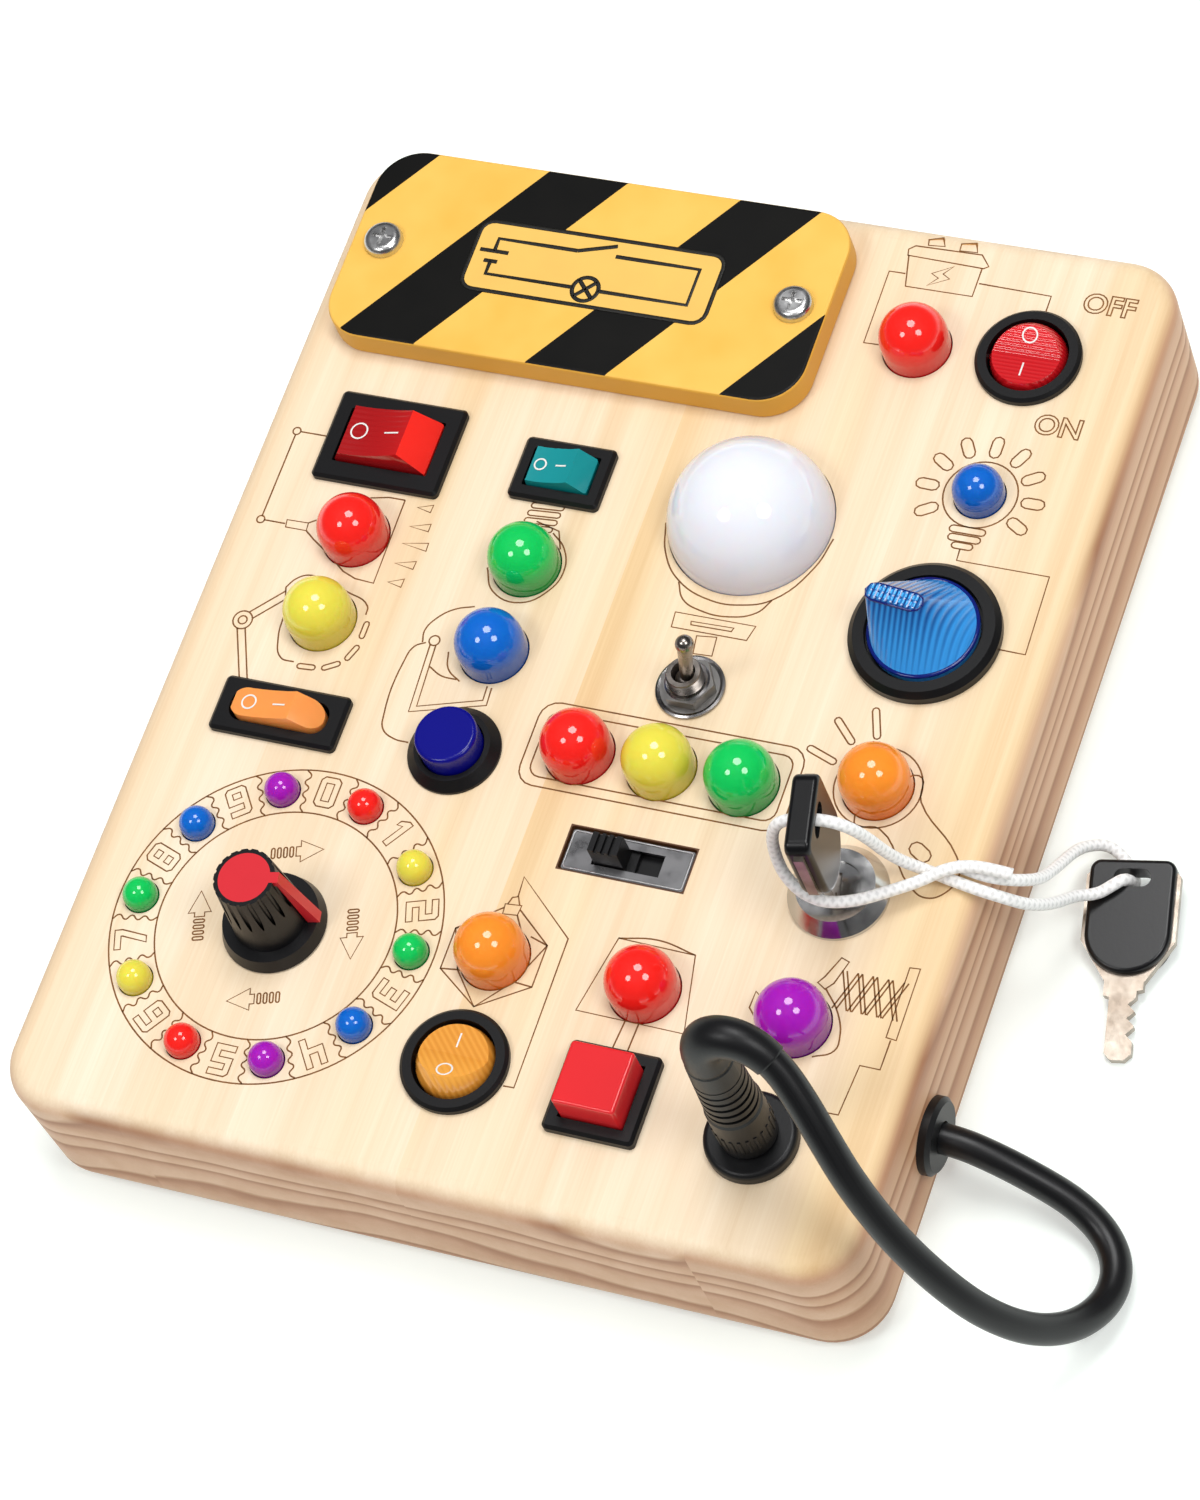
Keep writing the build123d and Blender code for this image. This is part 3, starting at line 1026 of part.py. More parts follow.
# ================= push buttons =================
PUSH_BEZEL_TOP = FACE_TOP + PUSH_BEZEL_HEIGHT
PUSH_FLOOR = PUSH_BEZEL_TOP - BUTTON_GUIDE - PUSH_TRAVEL - SOFT_GAP
with BuildPart() as push_button_barrel:
    with BuildSketch(Plane.XY.offset(FACE_TOP)):
        with Locations(PUSH):
            Circle(PUSH_BEZEL_RADIUS)
    extrude(amount=PUSH_BEZEL_HEIGHT)
    chamfer(push_button_barrel.faces().sort_by(Axis.Z)[-1].edges(), PUSH_BEZEL_SLOPE)
    with BuildSketch(Plane.XY.offset(FACE_TOP)):
        with Locations(PUSH):
            Circle(PUSH_BODY_RADIUS)
    extrude(amount=-PUSH_BODY_DEPTH)
    with BuildSketch(Plane.XY.offset(PUSH_BEZEL_TOP)):
        with Locations(PUSH):
            Circle(PUSH_CAP_RADIUS + BUTTON_SIDE_GAP)
    extrude(amount=PUSH_FLOOR - PUSH_BEZEL_TOP, mode=Mode.SUBTRACT)
    with BuildSketch(Plane.XY.offset(PUSH_FLOOR)):
        with Locations(PUSH):
            Circle(BUTTON_STEM_RADIUS + BUTTON_STEM_GAP)
    extrude(amount=-BUTTON_STEM_BITE - PUSH_TRAVEL - SOFT_GAP, mode=Mode.SUBTRACT)
    terminals(PUSH, SMALL_TERMINAL_PITCH, 2, FACE_TOP - PUSH_BODY_DEPTH)
keep(push_button_barrel.part, "push_button_barrel")

with BuildPart() as push_button_cap:
    with BuildSketch(Plane.XY.offset(PUSH_BEZEL_TOP - BUTTON_GUIDE)):
        with Locations(PUSH):
            Circle(PUSH_CAP_RADIUS)
    extrude(amount=BUTTON_GUIDE + PUSH_CAP_RISE)
    fillet(push_button_cap.faces().sort_by(Axis.Z)[-1].edges(), PUSH_CAP_ROUND)
    with BuildSketch(Plane.XY.offset(PUSH_BEZEL_TOP - BUTTON_GUIDE)):
        with Locations(PUSH):
            Circle(BUTTON_STEM_RADIUS)
    extrude(amount=-PUSH_TRAVEL - SOFT_GAP - BUTTON_STEM_BITE)
keep(push_button_cap.part, "push_button_cap")

SQUARE_BEZEL_TOP = FACE_TOP + SQUARE_BEZEL_HEIGHT
SQUARE_FLOOR = SQUARE_BEZEL_TOP - BUTTON_GUIDE - SQUARE_TRAVEL - SOFT_GAP
with BuildPart() as square_button_housing:
    with BuildSketch(Plane.XY.offset(FACE_TOP)):
        with Locations(SQUARE):
            RectangleRounded(SQUARE_BEZEL, SQUARE_BEZEL, BEZEL_CORNER)
    extrude(amount=SQUARE_BEZEL_HEIGHT)
    chamfer(square_button_housing.faces().sort_by(Axis.Z)[-1].edges(), BEZEL_CHAMFER)
    with BuildSketch(Plane.XY.offset(FACE_TOP)):
        with Locations(SQUARE):
            Rectangle(SQUARE_BODY, SQUARE_BODY)
    extrude(amount=-SQUARE_BODY_DEPTH)
    with BuildSketch(Plane.XY.offset(SQUARE_BEZEL_TOP)):
        with Locations(SQUARE):
            Rectangle(SQUARE_CAP + 2 * BUTTON_SIDE_GAP, SQUARE_CAP + 2 * BUTTON_SIDE_GAP)
    extrude(amount=SQUARE_FLOOR - SQUARE_BEZEL_TOP, mode=Mode.SUBTRACT)
    with BuildSketch(Plane.XY.offset(SQUARE_FLOOR)):
        with Locations(SQUARE):
            Circle(BUTTON_STEM_RADIUS + BUTTON_STEM_GAP)
    extrude(amount=-BUTTON_STEM_BITE - SQUARE_TRAVEL - SOFT_GAP, mode=Mode.SUBTRACT)
    terminals(SQUARE, SMALL_TERMINAL_PITCH, 2, FACE_TOP - SQUARE_BODY_DEPTH)
keep(square_button_housing.part, "square_button_housing")

with BuildPart() as square_button_cap:
    with BuildSketch(Plane.XY.offset(SQUARE_BEZEL_TOP - BUTTON_GUIDE)):
        with Locations(SQUARE):
            RectangleRounded(SQUARE_CAP, SQUARE_CAP, SQUARE_CAP_CORNER)
    extrude(amount=BUTTON_GUIDE + SQUARE_CAP_RISE)
    fillet(square_button_cap.faces().sort_by(Axis.Z)[-1].edges(), SQUARE_CAP_ROUND)
    with BuildSketch(Plane.XY.offset(SQUARE_BEZEL_TOP - BUTTON_GUIDE)):
        with Locations(SQUARE):
            Circle(BUTTON_STEM_RADIUS)
    extrude(amount=-SQUARE_TRAVEL - SOFT_GAP - BUTTON_STEM_BITE)
keep(square_button_cap.part, "square_button_cap")

# ================= rotary dial =================
DIAL_SWITCH_BOTTOM = FACE_UNDER - DIAL_SWITCH_HEIGHT
with BuildPart() as rotary_switch:
    with BuildSketch(Plane.XY.offset(FACE_UNDER)):
        with Locations((DIAL_X, DIAL_Y)):
            Circle(DIAL_SWITCH_RADIUS)
    extrude(amount=-DIAL_SWITCH_HEIGHT)
    with BuildSketch(Plane.XY.offset(FACE_UNDER)):
        with Locations((DIAL_X, DIAL_Y)):
            Circle(DIAL_BUSH_RADIUS)
    extrude(amount=FACE_THICKNESS + DIAL_BUSH_RISE)
    with BuildSketch(Plane.XY.offset(DIAL_SWITCH_BOTTOM + DIAL_SWITCH_FLOOR)):
        with Locations((DIAL_X, DIAL_Y)):
            Circle(DIAL_SHAFT_RADIUS + PIN_GAP)
    extrude(amount=DIAL_SWITCH_HEIGHT + FACE_THICKNESS + DIAL_BUSH_RISE, mode=Mode.SUBTRACT)
    with BuildSketch(Plane.XY.offset(DIAL_SWITCH_BOTTOM)):
        with Locations((DIAL_X, DIAL_Y)):
            with PolarLocations(DIAL_SWITCH_RADIUS - DIAL_TERMINAL_WIDTH, len(DIAL_LAMPS)):
                Rectangle(TERMINAL_THICKNESS, DIAL_TERMINAL_WIDTH)
    extrude(amount=-TERMINAL_LENGTH / 2)
keep(rotary_switch.part, "rotary_switch")

with BuildPart() as dial_shaft:
    with BuildSketch(Plane.XY.offset(DIAL_SWITCH_BOTTOM + DIAL_SWITCH_FLOOR + SOFT_GAP)):
        with Locations((DIAL_X, DIAL_Y)):
            Circle(DIAL_SHAFT_RADIUS)
    extrude(amount=KNOB_TOP - KNOB_ROOF - DIAL_SWITCH_BOTTOM - DIAL_SWITCH_FLOOR - SOFT_GAP)
keep(dial_shaft.part, "dial_shaft")

with BuildPart() as dial_knob:
    with BuildSketch(Plane.XY.offset(KNOB_BOTTOM)):
        with Locations((DIAL_X, DIAL_Y)):
            Circle(KNOB_SKIRT_RADIUS)
    extrude(amount=KNOB_SKIRT_HEIGHT, taper=KNOB_SKIRT_TAPER)
    with BuildSketch(Plane.XY.offset(KNOB_BOTTOM)):
        with Locations((DIAL_X, DIAL_Y)):
            Circle(KNOB_BASE_RADIUS)
    extrude(
        amount=KNOB_HEIGHT,
        taper=math.degrees(math.atan((KNOB_BASE_RADIUS - KNOB_TOP_RADIUS) / KNOB_HEIGHT)),
    )
    with Locations((DIAL_X, DIAL_Y, KNOB_TOP)):
        with PolarLocations(KNOB_TOP_RADIUS + KNOB_FLUTE_RADIUS * 0.5, KNOB_FLUTES):
            with Locations((0, 0, -(KNOB_HEIGHT - KNOB_SKIRT_HEIGHT) / 2 + 1)):
                Cylinder(KNOB_FLUTE_RADIUS, KNOB_HEIGHT - KNOB_SKIRT_HEIGHT, mode=Mode.SUBTRACT)
    with BuildSketch(Plane.XY.offset(KNOB_BOTTOM)):
        with Locations((DIAL_X, DIAL_Y)):
            Circle(DIAL_BUSH_RADIUS + KNOB_BUSH_ROOM)
    extrude(amount=DIAL_BUSH_RISE + KNOB_BUSH_ROOM, mode=Mode.SUBTRACT)
    with BuildSketch(Plane.XY.offset(KNOB_BOTTOM)):
        with Locations((DIAL_X, DIAL_Y)):
            Circle(DIAL_SHAFT_RADIUS)
    extrude(amount=KNOB_HEIGHT - KNOB_ROOF, mode=Mode.SUBTRACT)
    with BuildSketch(Plane.XY.offset(KNOB_TOP)):
        with Locations((DIAL_X, DIAL_Y)):
            Circle(KNOB_CAP_RADIUS)
        with Locations(Location((DIAL_X, DIAL_Y, 0), (0, 0, KNOB_POINTER_ANGLE))):
            with Locations((KNOB_SKIRT_RADIUS / 2, 0)):
                Rectangle(KNOB_SKIRT_RADIUS, KNOB_POINTER_WIDTH)
    extrude(amount=-KNOB_CAP_DEPTH, mode=Mode.SUBTRACT)
keep(dial_knob.part, "dial_knob")

pointer_x = math.cos(math.radians(KNOB_POINTER_ANGLE))
pointer_y = math.sin(math.radians(KNOB_POINTER_ANGLE))
pointer_foot = KNOB_BOTTOM + KNOB_SKIRT_HEIGHT + SEAT_GAP
with BuildPart() as dial_knob_cap:
    with BuildSketch(Plane.XY.offset(KNOB_TOP - KNOB_CAP_DEPTH)):
        with Locations((DIAL_X, DIAL_Y)):
            Circle(KNOB_CAP_RADIUS)
        with Locations(Location((DIAL_X, DIAL_Y, 0), (0, 0, KNOB_POINTER_ANGLE))):
            with Locations(((KNOB_TOP_RADIUS + KNOB_POINTER_THICKNESS) / 2, 0)):
                Rectangle(KNOB_TOP_RADIUS + KNOB_POINTER_THICKNESS, KNOB_POINTER_WIDTH)
    extrude(amount=KNOB_CAP_DEPTH)
    with BuildSketch(
        Plane(origin=(DIAL_X, DIAL_Y, 0), x_dir=(pointer_x, pointer_y, 0), z_dir=(pointer_y, -pointer_x, 0))
    ):
        Polygon(
            (KNOB_TOP_RADIUS + SEAT_GAP, KNOB_TOP), (KNOB_TOP_RADIUS + KNOB_POINTER_THICKNESS, KNOB_TOP),
            (KNOB_SKIRT_RADIUS - KNOB_POINTER_SET_BACK, pointer_foot),
            (KNOB_BASE_RADIUS + SEAT_GAP, pointer_foot),
            align=None,
        )
    extrude(amount=KNOB_POINTER_WIDTH / 2, both=True)
keep(dial_knob_cap.part, "dial_knob_cap")

# ================= key lock and keys =================
with BuildPart() as lock_barrel:
    with BuildSketch(Plane.XZ):
        with BuildLine():
            Polyline(
                (0, -LOCK_BODY_DEPTH), (LOCK_BODY_RADIUS, -LOCK_BODY_DEPTH), (LOCK_BODY_RADIUS, 0),
                (LOCK_FLANGE_RADIUS, 0), (LOCK_FLANGE_RADIUS, LOCK_FLANGE_EDGE),
                (LOCK_FACE_RADIUS, LOCK_RISE), (0, LOCK_RISE), close=True,
            )
        make_face()
    revolve(axis=Axis.Z)
    with Locations((0, 0, LOCK_RISE)):
        Cylinder(
            LOCK_CORE_RADIUS + LOCK_CORE_GAP, LOCK_RISE + LOCK_BODY_DEPTH - LOCK_FLOOR,
            align=(Align.CENTER, Align.CENTER, Align.MAX), mode=Mode.SUBTRACT,
        )
lock_barrel_placed = lock_barrel.part.moved(Location((*LOCK, FACE_TOP)))
keep(lock_barrel_placed, "lock_barrel")

turn = math.radians(LOCK_TURN_REST)
lock_key_plane = Plane(
    origin=(*LOCK, KEY_TOP_Z), x_dir=(-math.sin(turn), math.cos(turn), 0),
    z_dir=(math.cos(turn), math.sin(turn), 0),
)
with BuildPart() as lock_core:
    with BuildSketch(Plane.XY.offset(CORE_TOP)):
        with Locations(LOCK):
            Circle(LOCK_CORE_RADIUS)
    extrude(amount=-(LOCK_RISE - LOCK_CORE_SET_BACK + LOCK_BODY_DEPTH - LOCK_FLOOR - SOFT_GAP))
    with BuildSketch(Plane.XY.offset(CORE_TOP)):
        with Locations(Location((*LOCK, 0), (0, 0, 90 + LOCK_TURN_REST))):
            Rectangle(KEY_BLADE_WIDTH + 2 * KEYWAY_GAP, KEY_PLATE_THICKNESS + 2 * KEYWAY_GAP)
    extrude(amount=-KEY_INSERTION - KEYWAY_GAP, mode=Mode.SUBTRACT)
keep(lock_core.part, "lock_core")

key_blade, key_head = make_key(lock_key_plane)
keep(key_blade, "key_blade")
keep(key_head, "key_head")

heading = math.radians(SPARE_KEY_HEADING)
tilt = math.radians(SPARE_KEY_TILT)
down_key = Vector(math.cos(heading) * math.cos(tilt), math.sin(heading) * math.cos(tilt), -math.sin(tilt))
across_key = Vector(-math.sin(heading), math.cos(heading), 0)
spare_key_plane = Plane(origin=SPARE_KEY_TOP, x_dir=across_key, z_dir=across_key.cross(down_key * -1))
spare_key_blade, spare_key_head = make_key(spare_key_plane)
keep(spare_key_blade, "spare_key_blade")
keep(spare_key_head, "spare_key_head")

key_cord = cord_tube(CORD_ROUTE, CORD_DIAMETER, "key_cord")
keep(key_cord, "key_cord")

# ================= plug lead =================
with BuildPart() as plug_socket:
    with BuildSketch(Plane.XY.offset(FACE_TOP)):
        with Locations(SOCKET):
            Circle(SOCKET_FLANGE_RADIUS)
    extrude(amount=SOCKET_FLANGE_HEIGHT)
    fillet(plug_socket.faces().sort_by(Axis.Z)[-1].edges(), SOCKET_ROUND)
    with BuildSketch(Plane.XY.offset(FACE_TOP)):
        with Locations(SOCKET):
            Circle(SOCKET_BODY_RADIUS)
    extrude(amount=-SOCKET_DEPTH)
    with BuildSketch(Plane.XY.offset(SOCKET_TOP)):
        with Locations(SOCKET):
            Circle(PLUG_PIN_RADIUS + PLUG_PIN_GAP)
    extrude(amount=-PLUG_PIN_LENGTH - SOFT_GAP, mode=Mode.SUBTRACT)
    terminals(SOCKET, SMALL_TERMINAL_PITCH, 2, FACE_TOP - SOCKET_DEPTH)
keep(plug_socket.part, "plug_socket")

with BuildPart() as plug_pin:
    with BuildSketch(Plane.XY.offset(PLUG_BOTTOM + PLUG_PIN_ROOT)):
        with Locations(SOCKET):
            Circle(PLUG_PIN_RADIUS)
    extrude(amount=-PLUG_PIN_ROOT - PLUG_PIN_LENGTH)
    chamfer(plug_pin.faces().sort_by(Axis.Z)[0].edges(), PLUG_PIN_CHAMFER)
keep(plug_pin.part, "plug_pin")

with BuildPart() as plug_body:
    with BuildSketch(Plane.XZ):
        with BuildLine():
            Polyline(
                (PLUG_PIN_RADIUS, 0), (PLUG_BODY_RADIUS - PLUG_EDGE, 0), (PLUG_BODY_RADIUS, PLUG_EDGE),
                (PLUG_BODY_RADIUS, PLUG_BODY_LENGTH), (PLUG_BOOT_RADIUS, PLUG_BODY_LENGTH + PLUG_EDGE),
                (PLUG_BOOT_TOP_RADIUS, PLUG_LENGTH - 2 * PLUG_EDGE),
                (PLUG_BOOT_TOP_RADIUS - PLUG_EDGE, PLUG_LENGTH), (0, PLUG_LENGTH),
                (0, PLUG_PIN_ROOT), (PLUG_PIN_RADIUS, PLUG_PIN_ROOT), close=True,
            )
        make_face()
        rib_heights = [PLUG_BODY_LENGTH + PLUG_RIB_PITCH * (rib + 1) for rib in range(PLUG_BOOT_RIBS)]
        rib_reach = PLUG_RIB_DEPTH + PLUG_BODY_RADIUS - PLUG_BOOT_RADIUS
        with Locations(*[(PLUG_BODY_RADIUS, height) for height in rib_heights]):
            Rectangle(2 * rib_reach, PLUG_RIB_WIDTH, mode=Mode.SUBTRACT)
    revolve(axis=Axis.Z)
plug_body_placed = plug_body.part.moved(Location((*SOCKET, PLUG_BOTTOM)))
keep(plug_body_placed, "plug_body")

with BuildPart() as cable_grommet:
    with BuildSketch(Plane.XZ):
        with BuildLine():
            Polyline(
                (CABLE_RADIUS + CABLE_BORE_GAP, -SIDE_WALL - GROMMET_INNER_THICKNESS),
                (GROMMET_INNER_RADIUS, -SIDE_WALL - GROMMET_INNER_THICKNESS),
                (GROMMET_INNER_RADIUS, -SIDE_WALL),
                (GROMMET_NECK_RADIUS, -SIDE_WALL), (GROMMET_NECK_RADIUS, 0), (GROMMET_FLANGE_RADIUS, 0),
                (GROMMET_FLANGE_RADIUS, GROMMET_FLANGE_THICKNESS - GROMMET_EDGE),
                (GROMMET_FLANGE_RADIUS - GROMMET_EDGE, GROMMET_FLANGE_THICKNESS),
                (CABLE_RADIUS + CABLE_BORE_GAP, GROMMET_FLANGE_THICKNESS), close=True,
            )
        make_face()
    revolve(axis=Axis.Z)
grommet_place = Location((BOARD_WIDTH / 2, GROMMET_Y, GROMMET_Z), (0, 90, 0))
keep(cable_grommet.part.moved(grommet_place), "cable_grommet")

plug_cable = cord_tube(CABLE_ROUTE, CABLE_DIAMETER, "plug_cable")
keep(plug_cable, "plug_cable")

# ================= panel nuts =================
with BuildPart() as panel_nuts:
    with BuildSketch(Plane.XY.offset(FACE_TOP)):
        with Locations(TOGGLE):
            Circle(TOGGLE_WASHER_RADIUS)
            Circle(TOGGLE_BUSH_RADIUS + SEAT_GAP, mode=Mode.SUBTRACT)
    extrude(amount=TOGGLE_WASHER_THICKNESS)
    toggle_nut_bottom = FACE_TOP + TOGGLE_WASHER_THICKNESS
    hex_nut(TOGGLE, TOGGLE_NUT_FLATS, TOGGLE_BUSH_RADIUS + SEAT_GAP, toggle_nut_bottom, TOGGLE_NUT_HEIGHT)
    for centre, bore in (
        (SELECTOR, SELECTOR_BODY_RADIUS), (PUSH, PUSH_BODY_RADIUS), (LOCK, LOCK_BODY_RADIUS),
        (SOCKET, SOCKET_BODY_RADIUS),
    ):
        hex_nut(centre, 2 * (bore + NUT_WALL), bore + SEAT_GAP, FACE_UNDER - NUT_HEIGHT, NUT_HEIGHT)
keep(panel_nuts.part, "panel_nuts")
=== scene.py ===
"""Dresses a child's wooden busy board: finishes, burnt drawings, printed marks, leads and a plain studio."""

import json
import logging
import math
from collections.abc import Sequence
from dataclasses import dataclass
from enum import Enum
from functools import partial

import bmesh
import bpy
from mathutils import Matrix, Vector

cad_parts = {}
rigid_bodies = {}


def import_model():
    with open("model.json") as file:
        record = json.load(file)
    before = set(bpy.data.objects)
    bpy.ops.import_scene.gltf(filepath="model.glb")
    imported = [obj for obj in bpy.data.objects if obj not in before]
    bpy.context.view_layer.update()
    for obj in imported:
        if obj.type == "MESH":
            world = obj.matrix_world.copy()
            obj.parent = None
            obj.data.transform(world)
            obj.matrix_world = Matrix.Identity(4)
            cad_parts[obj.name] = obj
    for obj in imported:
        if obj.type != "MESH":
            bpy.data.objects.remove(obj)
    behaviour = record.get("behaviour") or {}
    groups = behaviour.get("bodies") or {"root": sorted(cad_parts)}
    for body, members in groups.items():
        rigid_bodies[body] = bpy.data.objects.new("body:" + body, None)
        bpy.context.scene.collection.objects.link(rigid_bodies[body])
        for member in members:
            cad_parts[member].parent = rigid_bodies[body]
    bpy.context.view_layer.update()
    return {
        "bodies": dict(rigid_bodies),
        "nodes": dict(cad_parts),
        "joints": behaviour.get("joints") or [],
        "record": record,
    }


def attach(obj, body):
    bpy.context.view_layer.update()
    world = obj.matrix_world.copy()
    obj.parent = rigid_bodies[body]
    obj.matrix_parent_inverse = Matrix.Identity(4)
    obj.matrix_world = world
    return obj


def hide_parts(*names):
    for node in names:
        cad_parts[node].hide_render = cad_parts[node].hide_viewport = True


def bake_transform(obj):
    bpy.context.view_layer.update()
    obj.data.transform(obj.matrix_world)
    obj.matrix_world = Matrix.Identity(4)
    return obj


LOG = logging.getLogger("busy_board")
MM = 0.001
FACE = 36.5
LINE_SINK = 0.22
Point2 = tuple[float, float]
Point3 = tuple[float, float, float]
Stops = Sequence[tuple[float, str]]
Piece = bpy.types.Object
Tree = bpy.types.NodeTree
Socket = bpy.types.NodeSocket


# ---------------------------------------------------------------- small helpers
def linear(code: str) -> tuple[float, float, float, float]:
    """Turn an sRGB hex colour into linear light.

    Args:
        code: A colour such as "#C04020".

    Returns:
        Red, green, blue and an alpha of one.
    """
    parts = [int(code[place : place + 2], 16) / 255 for place in (1, 3, 5)]
    bent = [part / 12.92 if part <= 0.04045 else ((part + 0.055) / 1.055) ** 2.4 for part in parts]
    return (bent[0], bent[1], bent[2], 1.0)


def add_node(
    tree: Tree, kind: str, inputs: dict | None = None, stops: Stops = (), out: int | str = 0,
    **settings: object,
) -> Socket:
    """Add one shader node with its settings, values and links.

    Args:
        tree: The material's node tree.
        kind: The node's type, without its common beginning.
        inputs: A value or an output socket for each named or numbered input.
        stops: Places and colours of a colour ramp.
        out: The output that is wanted.
        settings: Properties of the node itself.

    Returns:
        The wanted output socket of the new node.
    """
    node = tree.nodes.new("ShaderNode" + kind)
    for name, value in settings.items():
        setattr(node, name, value)
    for socket, value in (inputs or {}).items():
        if isinstance(value, Socket):
            tree.links.new(value, node.inputs[socket])
        else:
            node.inputs[socket].default_value = value
    for number, (place, code) in enumerate(stops):
        ramp = node.color_ramp
        element = ramp.elements[number] if number < 2 else ramp.elements.new(place)
        element.position = place
        element.color = linear(code)
    return node.outputs[out]


def deselect() -> None:
    """Leave nothing selected."""
    if bpy.context.object and bpy.context.object.mode != "OBJECT":
        bpy.ops.object.mode_set(mode="OBJECT")
    bpy.ops.object.select_all(action="DESELECT")


def pick(piece: Piece) -> None:
    """Make one object the only selected and active one.

    Args:
        piece: The object.
    """
    deselect()
    piece.select_set(True)
    bpy.context.view_layer.objects.active = piece


def named(piece: Piece, name: str) -> Piece:
    """Name an object and its mesh.

    Args:
        piece: A mesh object.
        name: Its new name.

    Returns:
        The same object.
    """
    piece.name = name
    piece.data.name = name
    return piece


def settle(piece: Piece, place: Matrix | None = None) -> Piece:
    """Put an object's place into its mesh, so that the object stays at the origin.

    Args:
        piece: The mesh object.
        place: A further move of the mesh, in metres.

    Returns:
        The same object.
    """
    bpy.context.view_layer.update()
    piece.data.transform(piece.matrix_world)
    if place is not None:
        piece.data.transform(place)
    piece.matrix_world = Matrix.Identity(4)
    piece.data.update()
    return piece


def join(pieces: Sequence[Piece], name: str) -> Piece:
    """Join mesh objects into one of the given name.

    Args:
        pieces: The objects.
        name: The name of the whole.

    Returns:
        The joined object.
    """
    pick(pieces[0])
    for piece in pieces:
        piece.select_set(True)
    if len(pieces) > 1:
        bpy.ops.object.join()
    return named(bpy.context.object, name)


def dress(piece: Piece, finish: "Finish", body: str, slot: str) -> Piece:
    """Give a new piece its finish and its body.

    Args:
        piece: A new mesh object.
        finish: What it is made of.
        body: The body that it rides on.
        slot: Not used.

    Returns:
        The same object.
    """
    piece.data.materials.clear()
    piece.data.materials.append(finish.material())
    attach(piece, body)
    LOG.info("made %s: %d faces on %s", piece.name, len(piece.data.polygons), body)
    return piece


def finish_nodes(frame: dict, finish: "Finish", *names: str) -> None:
    """Give solids of the frame a better material.

    Args:
        frame: The loaded frame.
        finish: What the solids are made of.
        names: The solids' nodes.
    """
    for name in names:
        node = frame["nodes"][name]
        node.data.materials.clear()
        node.data.materials.append(finish.material())
        LOG.info("finished %s: %s", name, finish.name)


def edit(made: Piece) -> None:
    """Start editing all of the active object's mesh.

    Args:
        made: The active object.
    """
    settle(made)
    bpy.ops.object.mode_set(mode="EDIT")
    bpy.ops.mesh.select_all(action="SELECT")


def pull(move: Sequence[float]) -> None:
    """Extrude what is selected by a move in millimetres."""
    bpy.ops.mesh.extrude_region_move(TRANSFORM_OT_translate={"value": Vector(move) * MM})


def close(made: Piece, crease: float = 180.0) -> Piece:
    """Turn all faces outwards, leave edit mode and keep edges sharper than a crease in degrees.

    Args:
        made: The object that is being edited.
        crease: The least angle of an edge that stays sharp, in degrees.

    Returns:
        The same object.
    """
    bpy.ops.mesh.select_all(action="SELECT")
    bpy.ops.mesh.normals_make_consistent(inside=False)
    bpy.ops.object.mode_set(mode="OBJECT")
    if crease < 180.0:
        bpy.ops.object.shade_smooth_by_angle(angle=math.radians(crease))
    return made


def traced(name: str, corners: Sequence[Vector]) -> Piece:
    """Draw a closed loop of edges and stay in edit mode with all of it selected.

    Args:
        name: The piece's name.
        corners: The loop's corners, in millimetres.

    Returns:
        The object, whose mesh is the loop.
    """
    deselect()
    bpy.ops.mesh.primitive_plane_add(size=MM, location=corners[0] * MM)
    made = named(bpy.context.object, name)
    edit(made)
    bpy.ops.mesh.select_mode(type="VERT")
    bpy.ops.mesh.select_all(action="SELECT")
    bpy.ops.mesh.merge(type="CENTER")
    for before, after in zip(corners, [*corners[1:], corners[0]]):
        pull(after - before)
    bpy.ops.mesh.select_all(action="SELECT")
    return made


def turned(name: str, outline: Sequence[Point2], centre: Point3, steps: int = 64) -> Piece:
    """Turn a closed outline about an upright axis.

    Args:
        name: The piece's name.
        outline: Radius and height of each corner, in millimetres from the centre.
        centre: The foot of the axis, in millimetres.
        steps: Faces round the axis.

    Returns:
        A closed ring or disc, with crisp corners over 35 degrees.
    """
    foot = Vector(centre)
    made = traced(name, [foot + Vector((radius, 0, height)) for radius, height in outline])
    bpy.ops.mesh.spin(steps=steps, angle=math.tau, center=foot * MM, axis=(0, 0, 1))
    bpy.ops.mesh.select_all(action="SELECT")
    bpy.ops.mesh.remove_doubles(threshold=0.002 * MM)
    return close(made, 35)


# ---------------------------------------------------------------- finishes
@dataclass(frozen=True)
class Finish:
    """What a surface is made of; its shader is built once and shared."""

    name: str

    def material(self) -> bpy.types.Material:
        """The material of this finish.

        Returns:
            The one material of this name.
        """
        made = bpy.data.materials.get(self.name)
        if made is None:
            made = bpy.data.materials.new(self.name)
            made.use_nodes = True
            made.node_tree.nodes.clear()
            end = made.node_tree.nodes.new("ShaderNodeOutputMaterial")
            made.node_tree.links.new(self.shader(made.node_tree), end.inputs["Surface"])
        return made

    def shader(self, tree: Tree) -> Socket:
        """Build the finish's shader in a node tree."""
        raise NotImplementedError


